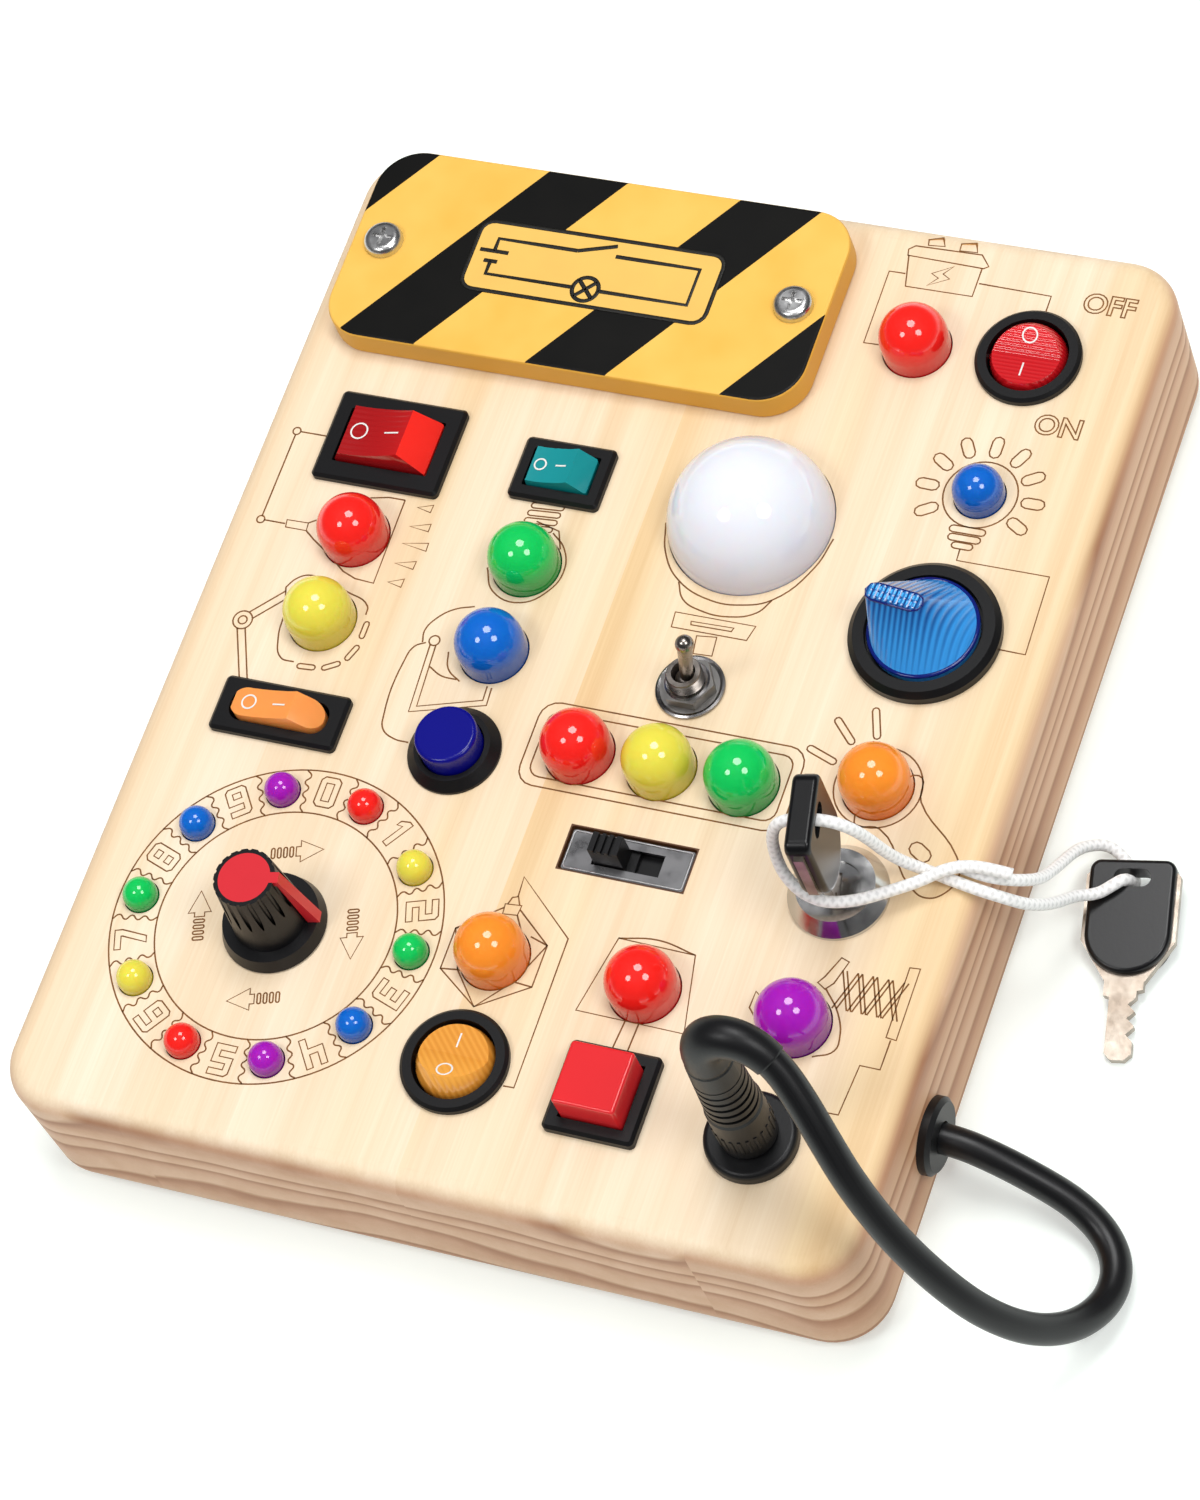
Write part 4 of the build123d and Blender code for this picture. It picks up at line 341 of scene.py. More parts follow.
@dataclass(frozen=True)
class Pine(Finish):
    """Edge-glued pine, sanded and thinly lacquered."""

    # Pine has cream early wood and thin honey late wood. On the broad face the rings run so flat that they
    # show as wide soft bands; on the edges they are cut across and show as wavy pink-brown stripes.
    ring_mm: float = 7.6
    plank_mm: float = 63.0
    plank_shift_mm: float = 128.0
    heart_mm: float = -18.0
    side_mm: Point2 = (84.0, 96.0)
    cut: tuple[Point2, Point2] = ((21.4, -39.6), (14.3, 5.3))

    def shader(self, tree: Tree) -> Socket:
        """Rings bent through the board, fibres along its length, and one scorched cut-out.

        Args:
            tree: The material's nodes.

        Returns:
            The shader's output.
        """
        node = partial(add_node, tree)
        place = node("TexCoord", out="Object")
        across = node("SeparateXYZ", {0: place}, out="X")
        along = node("SeparateXYZ", {0: place}, out="Y")
        up = node("SeparateXYZ", {0: place}, out="Z")
        shifted = node("Math", {0: across, 1: self.plank_shift_mm * MM}, operation="ADD")
        planks = node("Math", {0: shifted, 1: self.plank_mm * MM}, operation="DIVIDE")
        plank = node("Math", {0: planks}, operation="FLOOR")
        seed = node("Math", {0: plank, 1: 2.7}, operation="MULTIPLY")
        slow = node("Mapping", {"Vector": place, "Scale": (14.0, 3.6, 9.0)})
        wander = node(
            "TexNoise", {"Vector": slow, "W": seed, "Scale": 1.0, "Detail": 2.0}, noise_dimensions="4D"
        )
        off = node("Math", {0: across, 1: self.heart_mm * MM}, operation="SUBTRACT")
        bow = node("Math", {0: off, 1: off}, operation="MULTIPLY")
        bent = node("Math", {0: bow, 1: 0.6, 2: up}, operation="MULTIPLY_ADD")
        uneven = node("TexNoise", {"W": up, "Scale": 55.0, "Detail": 0.0}, noise_dimensions="1D")
        spread = node("Math", {0: uneven, 1: 0.016, 2: bent}, operation="MULTIPLY_ADD")
        drifted = node("Math", {0: wander, 1: 0.03, 2: spread}, operation="MULTIPLY_ADD")
        rings = node("Math", {0: drifted, 1: self.ring_mm * MM}, operation="DIVIDE")
        growth = node("Math", {0: rings}, operation="FRACT")
        edge = node(
            "ValToRGB", {0: growth},
            ((0.0, "#E0BC9F"), (0.3, "#D9B294"), (0.62, "#CB9D7E"), (0.88, "#A8734F"), (1.0, "#DDB898")),
        )
        band_place = node("Mapping", {"Vector": place, "Scale": (40.0, 3.0, 9.0)})
        band = node(
            "TexNoise", {"Vector": band_place, "W": seed, "Scale": 1.0, "Detail": 1.5, "Distortion": 0.3},
            noise_dimensions="4D",
        )
        broad = node(
            "ValToRGB", {0: band},
            ((0.3, "#F3E2C9"), (0.52, "#EFDBBD"), (0.63, "#EBD2A9"), (0.7, "#E5C594"), (0.77, "#F0DCBC")),
        )
        facing = node("NewGeometry", out="Normal")
        lift = node("SeparateXYZ", {0: facing}, out="Z")
        top = node(
            "MapRange", {"Value": lift, "From Min": 0.3, "From Max": 0.95}, interpolation_type="SMOOTHSTEP"
        )
        wood = node("Mix", {0: top, 6: edge, 7: broad}, out=2, data_type="RGBA")
        fibre_place = node("Mapping", {"Vector": place, "Scale": (2400.0, 30.0, 2400.0)})
        fibre = node("TexNoise", {"Vector": fibre_place, "Scale": 1.0, "Detail": 3.0})
        streak_place = node("Mapping", {"Vector": place, "Scale": (180.0, 4.0, 180.0)})
        streak = node("TexNoise", {"Vector": streak_place, "Scale": 1.0, "Detail": 3.0})
        mixed = node("Math", {0: fibre, 1: 0.45, 2: streak}, operation="MULTIPLY_ADD")
        fine = node("ValToRGB", {0: mixed}, ((0.45, "#F1E8DC"), (0.95, "#FFFFFF")))
        grained = node("Mix", {0: 1.0, 6: wood, 7: fine}, out=2, data_type="RGBA", blend_type="MULTIPLY")
        side = node("Math", {0: across}, operation="ABSOLUTE")
        near, far = self.side_mm
        warmth = node(
            "MapRange", {"Value": side, "From Min": near * MM, "From Max": far * MM, "To Max": 0.22},
            interpolation_type="SMOOTHSTEP",
        )
        warm = node(
            "Mix", {0: warmth, 6: grained, 7: linear("#F4D8B2")}, out=2, data_type="RGBA",
            blend_type="MULTIPLY",
        )
        (cut_x, cut_y), (half_x, half_y) = self.cut
        from_x = node("Math", {0: across, 1: cut_x * MM, 2: half_x * MM}, operation="COMPARE")
        from_y = node("Math", {0: along, 1: cut_y * MM, 2: half_y * MM}, operation="COMPARE")
        inside = node("Math", {0: from_x, 1: from_y}, operation="MULTIPLY")
        scorched = node("Mix", {0: inside, 6: warm, 7: linear("#5A3618")}, out=2, data_type="RGBA")
        normal = node("Bump", {"Height": mixed, "Distance": 0.03 * MM, "Strength": 0.8})
        return node(
            "BsdfPrincipled", {"Base Color": scorched, "Roughness": 0.5, "IOR": 1.48, "Normal": normal},
        )


@dataclass(frozen=True)
class Plywood(Finish):
    """Rotary cut poplar plywood, sanded and bare."""

    # A peeled face veneer shows long open flames of slightly darker wood and a dry, dull surface.
    def shader(self, tree: Tree) -> Socket:
        """Long flames along the board with fine fibres.

        Args:
            tree: The material's nodes.

        Returns:
            The shader's output.
        """
        node = partial(add_node, tree)
        place = node("TexCoord", out="Object")
        flame_place = node("Mapping", {"Vector": place, "Scale": (34.0, 5.0, 34.0)})
        flame = node("TexNoise", {"Vector": flame_place, "Scale": 1.0, "Detail": 2.0})
        rings = node("Math", {0: flame, 1: 9.0}, operation="MULTIPLY")
        growth = node("Math", {0: rings}, operation="FRACT")
        tone = node("ValToRGB", {0: growth}, ((0.0, "#E4CCA6"), (0.8, "#D9BC92"), (1.0, "#E2C9A2")))
        fibre_place = node("Mapping", {"Vector": place, "Scale": (1800.0, 40.0, 1800.0)})
        fibre = node("TexNoise", {"Vector": fibre_place, "Scale": 1.0, "Detail": 2.0})
        fine = node("ValToRGB", {0: fibre}, ((0.3, "#EBDDCB"), (0.7, "#FFFFFF")))
        wood = node("Mix", {0: 1.0, 6: tone, 7: fine}, out=2, data_type="RGBA", blend_type="MULTIPLY")
        normal = node("Bump", {"Height": fibre, "Distance": 0.05 * MM, "Strength": 0.8})
        return node("BsdfPrincipled", {"Base Color": wood, "Roughness": 0.68, "Normal": normal})


@dataclass(frozen=True)
class BurntWood(Finish):
    """Pine charred by a laser."""

    # A laser leaves a brown char, darkest in the middle of the line and tan where the heat only browned
    # the wood.
    def shader(self, tree: Tree) -> Socket:
        """Dark on the crest of the line, tan at its rims, with uneven char.

        Args:
            tree: The material's nodes.

        Returns:
            The shader's output.
        """
        node = partial(add_node, tree)
        place = node("TexCoord", out="Object")
        up = node("SeparateXYZ", {0: place}, out="Z")
        uneven = node("TexNoise", {"Vector": place, "Scale": 420.0, "Detail": 2.0})
        crest = node(
            "MapRange",
            {"Value": up, "From Min": (FACE - 0.01) * MM, "From Max": (FACE + 0.08) * MM, "To Max": 0.7},
        )
        heat = node("Math", {0: uneven, 1: 0.55, 2: crest}, operation="MULTIPLY_ADD")
        tone = node("ValToRGB", {0: heat}, ((0.15, "#C98F45"), (0.5, "#8E5E2E"), (1.0, "#58391C")))
        return node("BsdfPrincipled", {"Base Color": tone, "Roughness": 0.85})


@dataclass(frozen=True)
class PaintedPanel(Finish):
    """Fibreboard, spray painted yellow and screen printed with slanting black bars."""

    # Spray paint on fine board is satin with a faint orange peel. The side faces are given a deeper yellow
    # than the broad face.
    pitch_mm: float = 45.4
    black_share: float = 0.415
    slant: float = 0.709
    start_mm: float = 94.6
    top_edge_mm: float = 115.4

    def shader(self, tree: Tree) -> Socket:
        """Bars on the broad face only.

        Args:
            tree: The material's nodes.

        Returns:
            The shader's output.
        """
        node = partial(add_node, tree)
        place = node("TexCoord", out="Object")
        across = node("SeparateXYZ", {0: place}, out="X")
        along = node("SeparateXYZ", {0: place}, out="Y")
        fall = node("Math", {0: along, 1: self.top_edge_mm * MM}, operation="SUBTRACT")
        lean = node("Math", {0: fall, 1: -self.slant, 2: across}, operation="MULTIPLY_ADD")
        run = node("Math", {0: lean, 1: self.start_mm * MM}, operation="ADD")
        turns = node("Math", {0: run, 1: self.pitch_mm * MM}, operation="DIVIDE")
        part = node("Math", {0: turns}, operation="FRACT")
        bar = node("Math", {0: part, 1: self.black_share}, operation="LESS_THAN")
        facing = node("NewGeometry", out="Normal")
        lift = node("SeparateXYZ", {0: facing}, out="Z")
        top = node("Math", {0: lift, 1: 0.75}, operation="GREATER_THAN")
        printed = node("Math", {0: bar, 1: top}, operation="MULTIPLY")
        cloud = node("TexNoise", {"Vector": place, "Scale": 70.0, "Detail": 2.0})
        face_tone = node("ValToRGB", {0: cloud}, ((0.3, "#E9B44E"), (0.7, "#EDBE5C")))
        paint = node("Mix", {0: top, 6: linear("#D9A241"), 7: face_tone}, out=2, data_type="RGBA")
        black = node("ValToRGB", {0: cloud}, ((0.3, "#080807"), (0.7, "#0E0D0B")))
        tone = node("Mix", {0: printed, 6: paint, 7: black}, out=2, data_type="RGBA")
        peel = node("TexNoise", {"Vector": place, "Scale": 1300.0, "Detail": 1.0})
        normal = node("Bump", {"Height": peel, "Distance": 0.012 * MM, "Strength": 0.7})
        return node(
            "BsdfPrincipled",
            {"Base Color": tone, "Roughness": 0.44, "IOR": 1.5, "Specular IOR Level": 0.2, "Normal": normal},
        )


@dataclass(frozen=True)
class MouldedPlastic(Finish):
    """ABS or nylon from a mould."""

    # Injection moulding copies the tool: even colour, faint cloudiness, and a grain from spark erosion or
    # polish. Its grain is drawn coarser than real, so that it shows.
    colour: str
    roughness: float = 0.4
    grain_mm: float = 0.5
    grain_depth: float = 0.02
    tint: float = 0.88
    coat: float = 0.0
    glow: float = 0.0
    shine: float = 0.5

    def shader(self, tree: Tree) -> Socket:
        """Even colour, slightly cloudy, with the mould's grain.

        Args:
            tree: The material's nodes.

        Returns:
            The shader's output.
        """
        node = partial(add_node, tree)
        place = node("TexCoord", out="Object")
        cloud = node("TexNoise", {"Vector": place, "Scale": 110.0, "Detail": 2.0})
        base = linear(self.colour)
        dark = (base[0] * self.tint, base[1] * self.tint, base[2] * self.tint, 1.0)
        tone = node("Mix", {0: cloud, 6: dark, 7: base}, out=2, data_type="RGBA")
        grain = node("TexNoise", {"Vector": place, "Scale": 1 / (self.grain_mm * MM), "Detail": 1.0})
        normal = node("Bump", {"Height": grain, "Distance": self.grain_depth * MM, "Strength": 0.7})
        return node(
            "BsdfPrincipled",
            {
                "Base Color": tone, "Roughness": self.roughness, "IOR": 1.5,
                "Specular IOR Level": self.shine, "Coat Weight": self.coat, "Subsurface Weight": self.glow,
                "Subsurface Scale": 2.5 * MM, "Normal": normal,
            },
        )


@dataclass(frozen=True)
class LensPlastic(Finish):
    """Dyed diffusing acrylic from a polished mould."""

    # A diffusing lamp cap is glossy outside and milky inside and scatters light. Its colour is painted paler
    # at the crown as painted light and deeper at the foot as painted shade.
    crown: str
    foot: str
    foot_mm: float = 37.5
    crown_mm: float = 47.0

    def shader(self, tree: Tree) -> Socket:
        """Painted shade at the foot and painted light at the crown, under a polished skin.

        Args:
            tree: The material's nodes.

        Returns:
            The shader's output.
        """
        node = partial(add_node, tree)
        place = node("TexCoord", out="Object")
        up = node("SeparateXYZ", {0: place}, out="Z")
        cloud = node("TexNoise", {"Vector": place, "Scale": 160.0, "Detail": 1.0})
        level = node(
            "MapRange", {"Value": up, "From Min": self.foot_mm * MM, "From Max": self.crown_mm * MM}
        )
        mixed = node("Math", {0: cloud, 1: 0.05, 2: level}, operation="MULTIPLY_ADD")
        tone = node("ValToRGB", {0: mixed}, ((0.0, self.foot), (0.85, self.crown)))
        return node(
            "BsdfPrincipled",
            {
                "Base Color": tone, "Roughness": 0.05, "IOR": 1.49, "Subsurface Weight": 0.2,
                "Subsurface Scale": 2.0 * MM, "Coat Weight": 0.3, "Coat Roughness": 0.03,
            },
        )


@dataclass(frozen=True)
class ClearPlastic(Finish):
    """Dyed see-through polycarbonate from a polished mould."""

    # Clear dyed plastic is dark where it is thick and seen edge-on, and bright where light comes through its
    # ribs. In this finish both are painted into the colour, as painted shade and painted light that change
    # with height and across the ribs.
    deep: str
    bright: str
    low_mm: float
    high_mm: float
    transmission: float = 0.35
    rib_mm: float = 1.0
    rib_angle: float = 0.0
    rib_share: float = 0.3

    def shader(self, tree: Tree) -> Socket:
        """A ribbed body with painted light and shade that change with height and across its ribs.

        Args:
            tree: The material's nodes.

        Returns:
            The shader's output.
        """
        node = partial(add_node, tree)
        place = node("TexCoord", out="Object")
        up = node("SeparateXYZ", {0: place}, out="Z")
        level = node(
            "MapRange", {"Value": up, "From Min": self.low_mm * MM, "From Max": self.high_mm * MM}
        )
        turned_place = node(
            "Mapping", {"Vector": place, "Rotation": (0.0, 0.0, math.radians(-self.rib_angle))}
        )
        rib = node("TexWave", {"Vector": turned_place, "Scale": 0.314 / (self.rib_mm * MM)})
        mixed = node("Math", {0: rib, 1: self.rib_share, 2: level}, operation="MULTIPLY_ADD")
        tone = node("ValToRGB", {0: mixed}, ((0.05, self.deep), (1.0, self.bright)))
        normal = node("Bump", {"Height": rib, "Distance": 0.16 * MM, "Strength": 0.6})
        return node(
            "BsdfPrincipled",
            {
                "Base Color": tone, "Roughness": 0.08, "IOR": 1.58, "Transmission Weight": self.transmission,
                "Coat Weight": 0.3, "Normal": normal,
            },
        )


@dataclass(frozen=True)
class PlatedMetal(Finish):
    """Steel or brass, machined and nickel or chrome plated."""

    # Plating over turned metal is a clear mirror with faint turning marks and fingerprints that dull it
    # in spots.
    colour: str = "#D5D3CE"
    roughness: float = 0.14
    marks_mm: float = 0.25
    marks: float = 0.006

    def shader(self, tree: Tree) -> Socket:
        """Mirror metal with uneven dullness and fine marks.

        Args:
            tree: The material's nodes.

        Returns:
            The shader's output.
        """
        node = partial(add_node, tree)
        place = node("TexCoord", out="Object")
        smear = node("TexNoise", {"Vector": place, "Scale": 260.0, "Detail": 3.0})
        dull = node(
            "MapRange",
            {"Value": smear, "From Min": 0.3, "From Max": 0.75, "To Min": self.roughness * 0.7,
             "To Max": self.roughness * 1.6},
        )
        flat = node("Mapping", {"Vector": place, "Scale": (0.3, 0.3, 1.0)})
        turning = node("TexNoise", {"Vector": flat, "Scale": 1 / (self.marks_mm * MM), "Detail": 1.0})
        normal = node("Bump", {"Height": turning, "Distance": self.marks * MM, "Strength": 0.6})
        base = linear(self.colour)
        dark = (base[0] * 0.72, base[1] * 0.71, base[2] * 0.7, 1.0)
        tone = node("Mix", {0: smear, 6: dark, 7: base}, out=2, data_type="RGBA")
        return node(
            "BsdfPrincipled", {"Base Color": tone, "Metallic": 1.0, "Roughness": dull, "Normal": normal}
        )


@dataclass(frozen=True)
class StampedMetal(Finish):
    """Nickel-plated brass sheet, stamped and tumbled."""

    # Stamped key blanks have long drawn lines, a warm grey plate and brighter worn high spots.
    colour: str = "#94877A"

    def shader(self, tree: Tree) -> Socket:
        """Warm grey metal with drawn lines and wear.

        Args:
            tree: The material's nodes.

        Returns:
            The shader's output.
        """
        node = partial(add_node, tree)
        place = node("TexCoord", out="Object")
        worn = node("TexNoise", {"Vector": place, "Scale": 190.0, "Detail": 4.0})
        lines_place = node("Mapping", {"Vector": place, "Scale": (900.0, 900.0, 120.0)})
        lines = node("TexNoise", {"Vector": lines_place, "Scale": 1.0, "Detail": 2.0})
        tone = node("ValToRGB", {0: worn}, ((0.35, self.colour), (0.75, "#B9AFA3")))
        dull = node("MapRange", {"Value": lines, "To Min": 0.22, "To Max": 0.48})
        normal = node("Bump", {"Height": lines, "Distance": 0.02 * MM, "Strength": 0.5})
        return node(
            "BsdfPrincipled", {"Base Color": tone, "Metallic": 1.0, "Roughness": dull, "Normal": normal}
        )


@dataclass(frozen=True)
class ExtrudedSheath(Finish):
    """Flexible PVC, extruded over the wires."""

    # Extrusion leaves a smooth satin skin with faint lines along the lead and a soft broad highlight.
    def shader(self, tree: Tree) -> Socket:
        """Near black with draw lines along its length.

        Args:
            tree: The material's nodes.

        Returns:
            The shader's output.
        """
        node = partial(add_node, tree)
        where = node("UVMap", uv_map="length_round")
        drawn = node("Mapping", {"Vector": where, "Scale": (30.0, 60.0, 1.0)})
        lines = node("TexNoise", {"Vector": drawn, "Scale": 1.0, "Detail": 2.0})
        tone = node("ValToRGB", {0: lines}, ((0.3, "#0B0B0D"), (0.7, "#131315")))
        dull = node("MapRange", {"Value": lines, "To Min": 0.3, "To Max": 0.42})
        normal = node("Bump", {"Height": lines, "Distance": 0.02 * MM, "Strength": 0.5})
        return node(
            "BsdfPrincipled",
            {"Base Color": tone, "Roughness": dull, "IOR": 1.52, "Specular IOR Level": 0.4, "Normal": normal},
        )


@dataclass(frozen=True)
class Braid(Finish):
    """Polyester cord braided from sixteen strands."""

    # A round braid is two sets of strands crossing in a diamond weave, matt white, with painted shade in the
    # gaps between the strands.
    strand_mm: float = 0.9

    def shader(self, tree: Tree) -> Socket:
        """Two crossing sets of slanted strands on the cord's own map.

        Args:
            tree: The material's nodes.

        Returns:
            The shader's output.
        """
        node = partial(add_node, tree)
        where = node("UVMap", uv_map="length_round")
        along = node("SeparateXYZ", {0: where}, out="X")
        round_it = node("SeparateXYZ", {0: where}, out="Y")
        turns = node("Math", {0: along, 1: 1 / (self.strand_mm * 2 * MM)}, operation="MULTIPLY")
        waves = []
        for hand in (3.0, -3.0):
            lean = node("Math", {0: round_it, 1: hand, 2: turns}, operation="MULTIPLY_ADD")
            angle = node("Math", {0: lean, 1: math.tau}, operation="MULTIPLY")
            waves.append(node("Math", {0: angle}, operation="SINE"))
        weave = node("Math", {0: waves[0], 1: waves[1]}, operation="MAXIMUM")
        level = node("MapRange", {"Value": weave, "From Min": -0.6, "From Max": 0.9})
        # The darker stop is painted shade in the gaps between the strands.
        tone = node("ValToRGB", {0: level}, ((0.0, "#DEDDDC"), (0.55, "#EFEEED"), (1.0, "#F7F6F5")))
        normal = node("Bump", {"Height": level, "Distance": 0.1 * MM, "Strength": 0.5})
        return node(
            "BsdfPrincipled", {"Base Color": tone, "Roughness": 0.75, "Sheen Weight": 0.3, "Normal": normal},
        )


@dataclass(frozen=True)
class CircuitBoard(Finish):
    """Glass epoxy board under green solder mask."""

    # The mask is a glossy green lacquer; the copper under it shows as paler straight tracks.
    def shader(self, tree: Tree) -> Socket:
        """Green mask with square copper areas below.

        Args:
            tree: The material's nodes.

        Returns:
            The shader's output.
        """
        node = partial(add_node, tree)
        place = node("TexCoord", out="Object")
        tracks = node("TexVoronoi", {"Vector": place, "Scale": 260.0}, distance="MANHATTAN")
        tone = node("ValToRGB", {0: tracks}, ((0.2, "#2F7A50"), (0.5, "#1F5A39")))
        return node("BsdfPrincipled", {"Base Color": tone, "Roughness": 0.3, "Coat Weight": 0.4})


@dataclass(frozen=True)
class PaperWhite(Finish):
    """Matt white paper: it holds the shadow and shows plain white to the eye."""

    lift: float = 0.3

    def shader(self, tree: Tree) -> Socket:
        """A matt white, lifted to plain white where it is looked at.

        Args:
            tree: The material's nodes.

        Returns:
            The shader's output.
        """
        node = partial(add_node, tree)
        camera = node("LightPath", out="Is Camera Ray")
        glossy = node("LightPath", out="Is Glossy Ray")
        through = node("LightPath", out="Is Transmission Ray")
        seen = node("Math", {0: camera, 1: glossy}, operation="MAXIMUM")
        seen_all = node("Math", {0: seen, 1: through}, operation="MAXIMUM")
        fibre = node("TexNoise", {"Scale": 300.0})
        white = node("ValToRGB", {0: fibre}, ((0.3, "#E3EBE6"), (0.7, "#E6EEE9")))
        matt = node("BsdfDiffuse", {"Color": white})
        strength = node("Math", {0: seen_all, 1: self.lift}, operation="MULTIPLY")
        glow = node("Emission", {"Strength": strength})
        return node("AddShader", {0: matt, 1: glow})


# ---------------------------------------------------------------- line work
class Draw(Enum):
    """How a line joins its points."""

    LINES = "straight runs"
    SHAPE = "straight runs, closed"
    CURVE = "a smooth curve"
    LOOP = "a smooth closed curve"


@dataclass(frozen=True)
class Stroke:
    """One line of a drawing, in millimetres."""

    points: tuple[Point2, ...]
    kind: Draw = Draw.LINES


Strokes = tuple[Stroke, ...]


def through(kind: Draw, *numbers: float) -> Stroke:
    """A stroke of one kind through points given as x, y, x, y and so on."""
    return Stroke(tuple(zip(numbers[::2], numbers[1::2])), kind)


line = partial(through, Draw.LINES)
shape = partial(through, Draw.SHAPE)
curve = partial(through, Draw.CURVE)
loop = partial(through, Draw.LOOP)


def ring(x: float, y: float, radius: float, corners: int = 40) -> Stroke:
    """A round stroke about a point."""
    angles = [math.tau * number / corners for number in range(corners)]
    return Stroke(tuple((x + radius * math.cos(a), y + radius * math.sin(a)) for a in angles), Draw.SHAPE)


def slot_stroke(x: float, y: float, length: float, width: float, angle: float) -> Stroke:
    """A long round-ended outline.

    Args:
        x: Its centre.
        y: Its centre.
        length: Its whole length.
        width: Its width.
        angle: Its direction, in degrees from +X.

    Returns:
        A closed stroke.
    """
    half, radius, way = (length - width) / 2, width / 2, math.radians(angle)
    points = []
    for end, first in ((1, -90), (-1, 90)):
        for step in range(5):
            turn = math.radians(angle + first + 45 * step)
            points.append(
                (
                    x + end * half * math.cos(way) + radius * math.cos(turn),
                    y + end * half * math.sin(way) + radius * math.sin(turn),
                )
            )
    return Stroke(tuple(points), Draw.SHAPE)


def rounded(x: float, y: float, half_x: float, half_y: float, radius: float) -> Stroke:
    """A rectangle with round corners.

    Args:
        x: Its centre.
        y: Its centre.
        half_x: Half of its width.
        half_y: Half of its height.
        radius: The radius of its corners.

    Returns:
        A closed stroke.
    """
    points = []
    for sign_x, sign_y, first in ((1, 1, 0), (-1, 1, 90), (-1, -1, 180), (1, -1, 270)):
        for step in range(5):
            turn = math.radians(first + 22.5 * step)
            points.append(
                (
                    x + sign_x * (half_x - radius) + radius * math.cos(turn),
                    y + sign_y * (half_y - radius) + radius * math.sin(turn),
                )
            )
    return Stroke(tuple(points), Draw.SHAPE)


@dataclass(frozen=True)
class LineWork:
    """Strokes laid on a plane as fine beads, round for a burnt line and nearly flat for a print."""

    name: str
    strokes: Strokes
    width: float = 0.62
    flat: float = 1.0
    place: Matrix = Matrix.Translation((0, 0, (FACE - LINE_SINK) * MM))

    def build(self) -> Piece:
        """Make the beads.

        Returns:
            One mesh object at the origin.
        """
        data = bpy.data.curves.new(self.name, "CURVE")
        data.dimensions = "3D"
        data.bevel_depth = self.width / 2 * MM
        data.bevel_resolution = 1
        data.resolution_u = 6
        data.use_fill_caps = True
        for stroke in self.strokes:
            smooth = stroke.kind in (Draw.CURVE, Draw.LOOP)
            spline = data.splines.new("BEZIER" if smooth else "POLY")
            places = spline.bezier_points if smooth else spline.points
            places.add(len(stroke.points) - 1)
            for point, (x, y) in zip(places, stroke.points):
                if smooth:
                    point.co = (x * MM, y * MM, 0)
                    point.handle_left_type = point.handle_right_type = "AUTO"
                else:
                    point.co = (x * MM, y * MM, 0, 1)
            spline.use_cyclic_u = stroke.kind in (Draw.SHAPE, Draw.LOOP)
        made = bpy.data.objects.new(self.name, data)
        bpy.context.scene.collection.objects.link(made)
        pick(made)
        bpy.ops.object.convert(target="MESH")
        made = named(bpy.context.object, self.name)
        made.data.shade_smooth()
        return settle(made, self.place @ Matrix.Diagonal((1, 1, self.flat, 1)))


@dataclass(frozen=True)
class BlockDigit:
    """A hollow block figure, 4.6 mm wide and 7 mm high."""

    outlines: tuple[tuple[Point2, ...], ...]

    def strokes(self, x: float, y: float, angle: float) -> Strokes:
        """The figure's outlines, turned and moved to a place.

        Args:
            x: The figure's middle.
            y: The figure's middle.
            angle: Its turn, in degrees.

        Returns:
            One closed stroke for each outline.
        """
        way, side = math.cos(math.radians(angle)), math.sin(math.radians(angle))
        return tuple(
            Stroke(
                tuple((x + a * way - b * side, y + a * side + b * way) for a, b in outline),
                Draw.SHAPE,
            )
            for outline in self.outlines
        )


SHELL = (
    (-1.5, 3.5), (1.5, 3.5), (2.3, 2.7), (2.3, -2.7), (1.5, -3.5), (-1.5, -3.5), (-2.3, -2.7), (-2.3, 2.7),
)
SIX = (
    (-1.6, 3.5), (2.3, 3.5), (2.3, 2.1), (-0.9, 2.1), (-0.9, 0.7), (2.3, 0.7), (2.3, -2.8), (1.6, -3.5),
    (-1.6, -3.5), (-2.3, -2.8), (-2.3, 2.8),
)
SIX_HOLE = ((-0.9, -0.7), (0.9, -0.7), (0.9, -2.1), (-0.9, -2.1))
TWO = (
    (-2.3, 3.5), (1.6, 3.5), (2.3, 2.8), (2.3, -0.7), (-0.9, -0.7), (-0.9, -2.1), (2.3, -2.1), (2.3, -3.5),
    (-2.3, -3.5), (-2.3, 0.7), (0.9, 0.7), (0.9, 2.1), (-2.3, 2.1),
)
ONE = ((-0.7, -3.5), (0.7, -3.5), (0.7, 3.5), (-0.4, 3.5), (-1.9, 2.2), (-1.9, 1.0), (-0.7, 1.7))
THREE = (
    (-2.3, 3.5), (2.3, 3.5), (2.3, -2.8), (1.6, -3.5), (-2.3, -3.5), (-2.3, -2.1), (0.9, -2.1), (0.9, -0.7),
    (-1.4, -0.7), (-1.4, 0.7), (0.9, 0.7), (0.9, 2.1), (-2.3, 2.1),
)
FOUR = (
    (-2.3, 3.5), (-0.9, 3.5), (-0.9, 0.4), (0.9, 0.4), (0.9, 3.5), (2.3, 3.5), (2.3, -3.5), (0.9, -3.5),
    (0.9, -1.0), (-2.3, -1.0),
)
SEVEN = (
    (-2.3, 3.5), (2.3, 3.5), (2.3, 1.8), (0.4, -3.5), (-1.1, -3.5), (0.8, 1.8), (0.8, 2.1), (-2.3, 2.1),
)
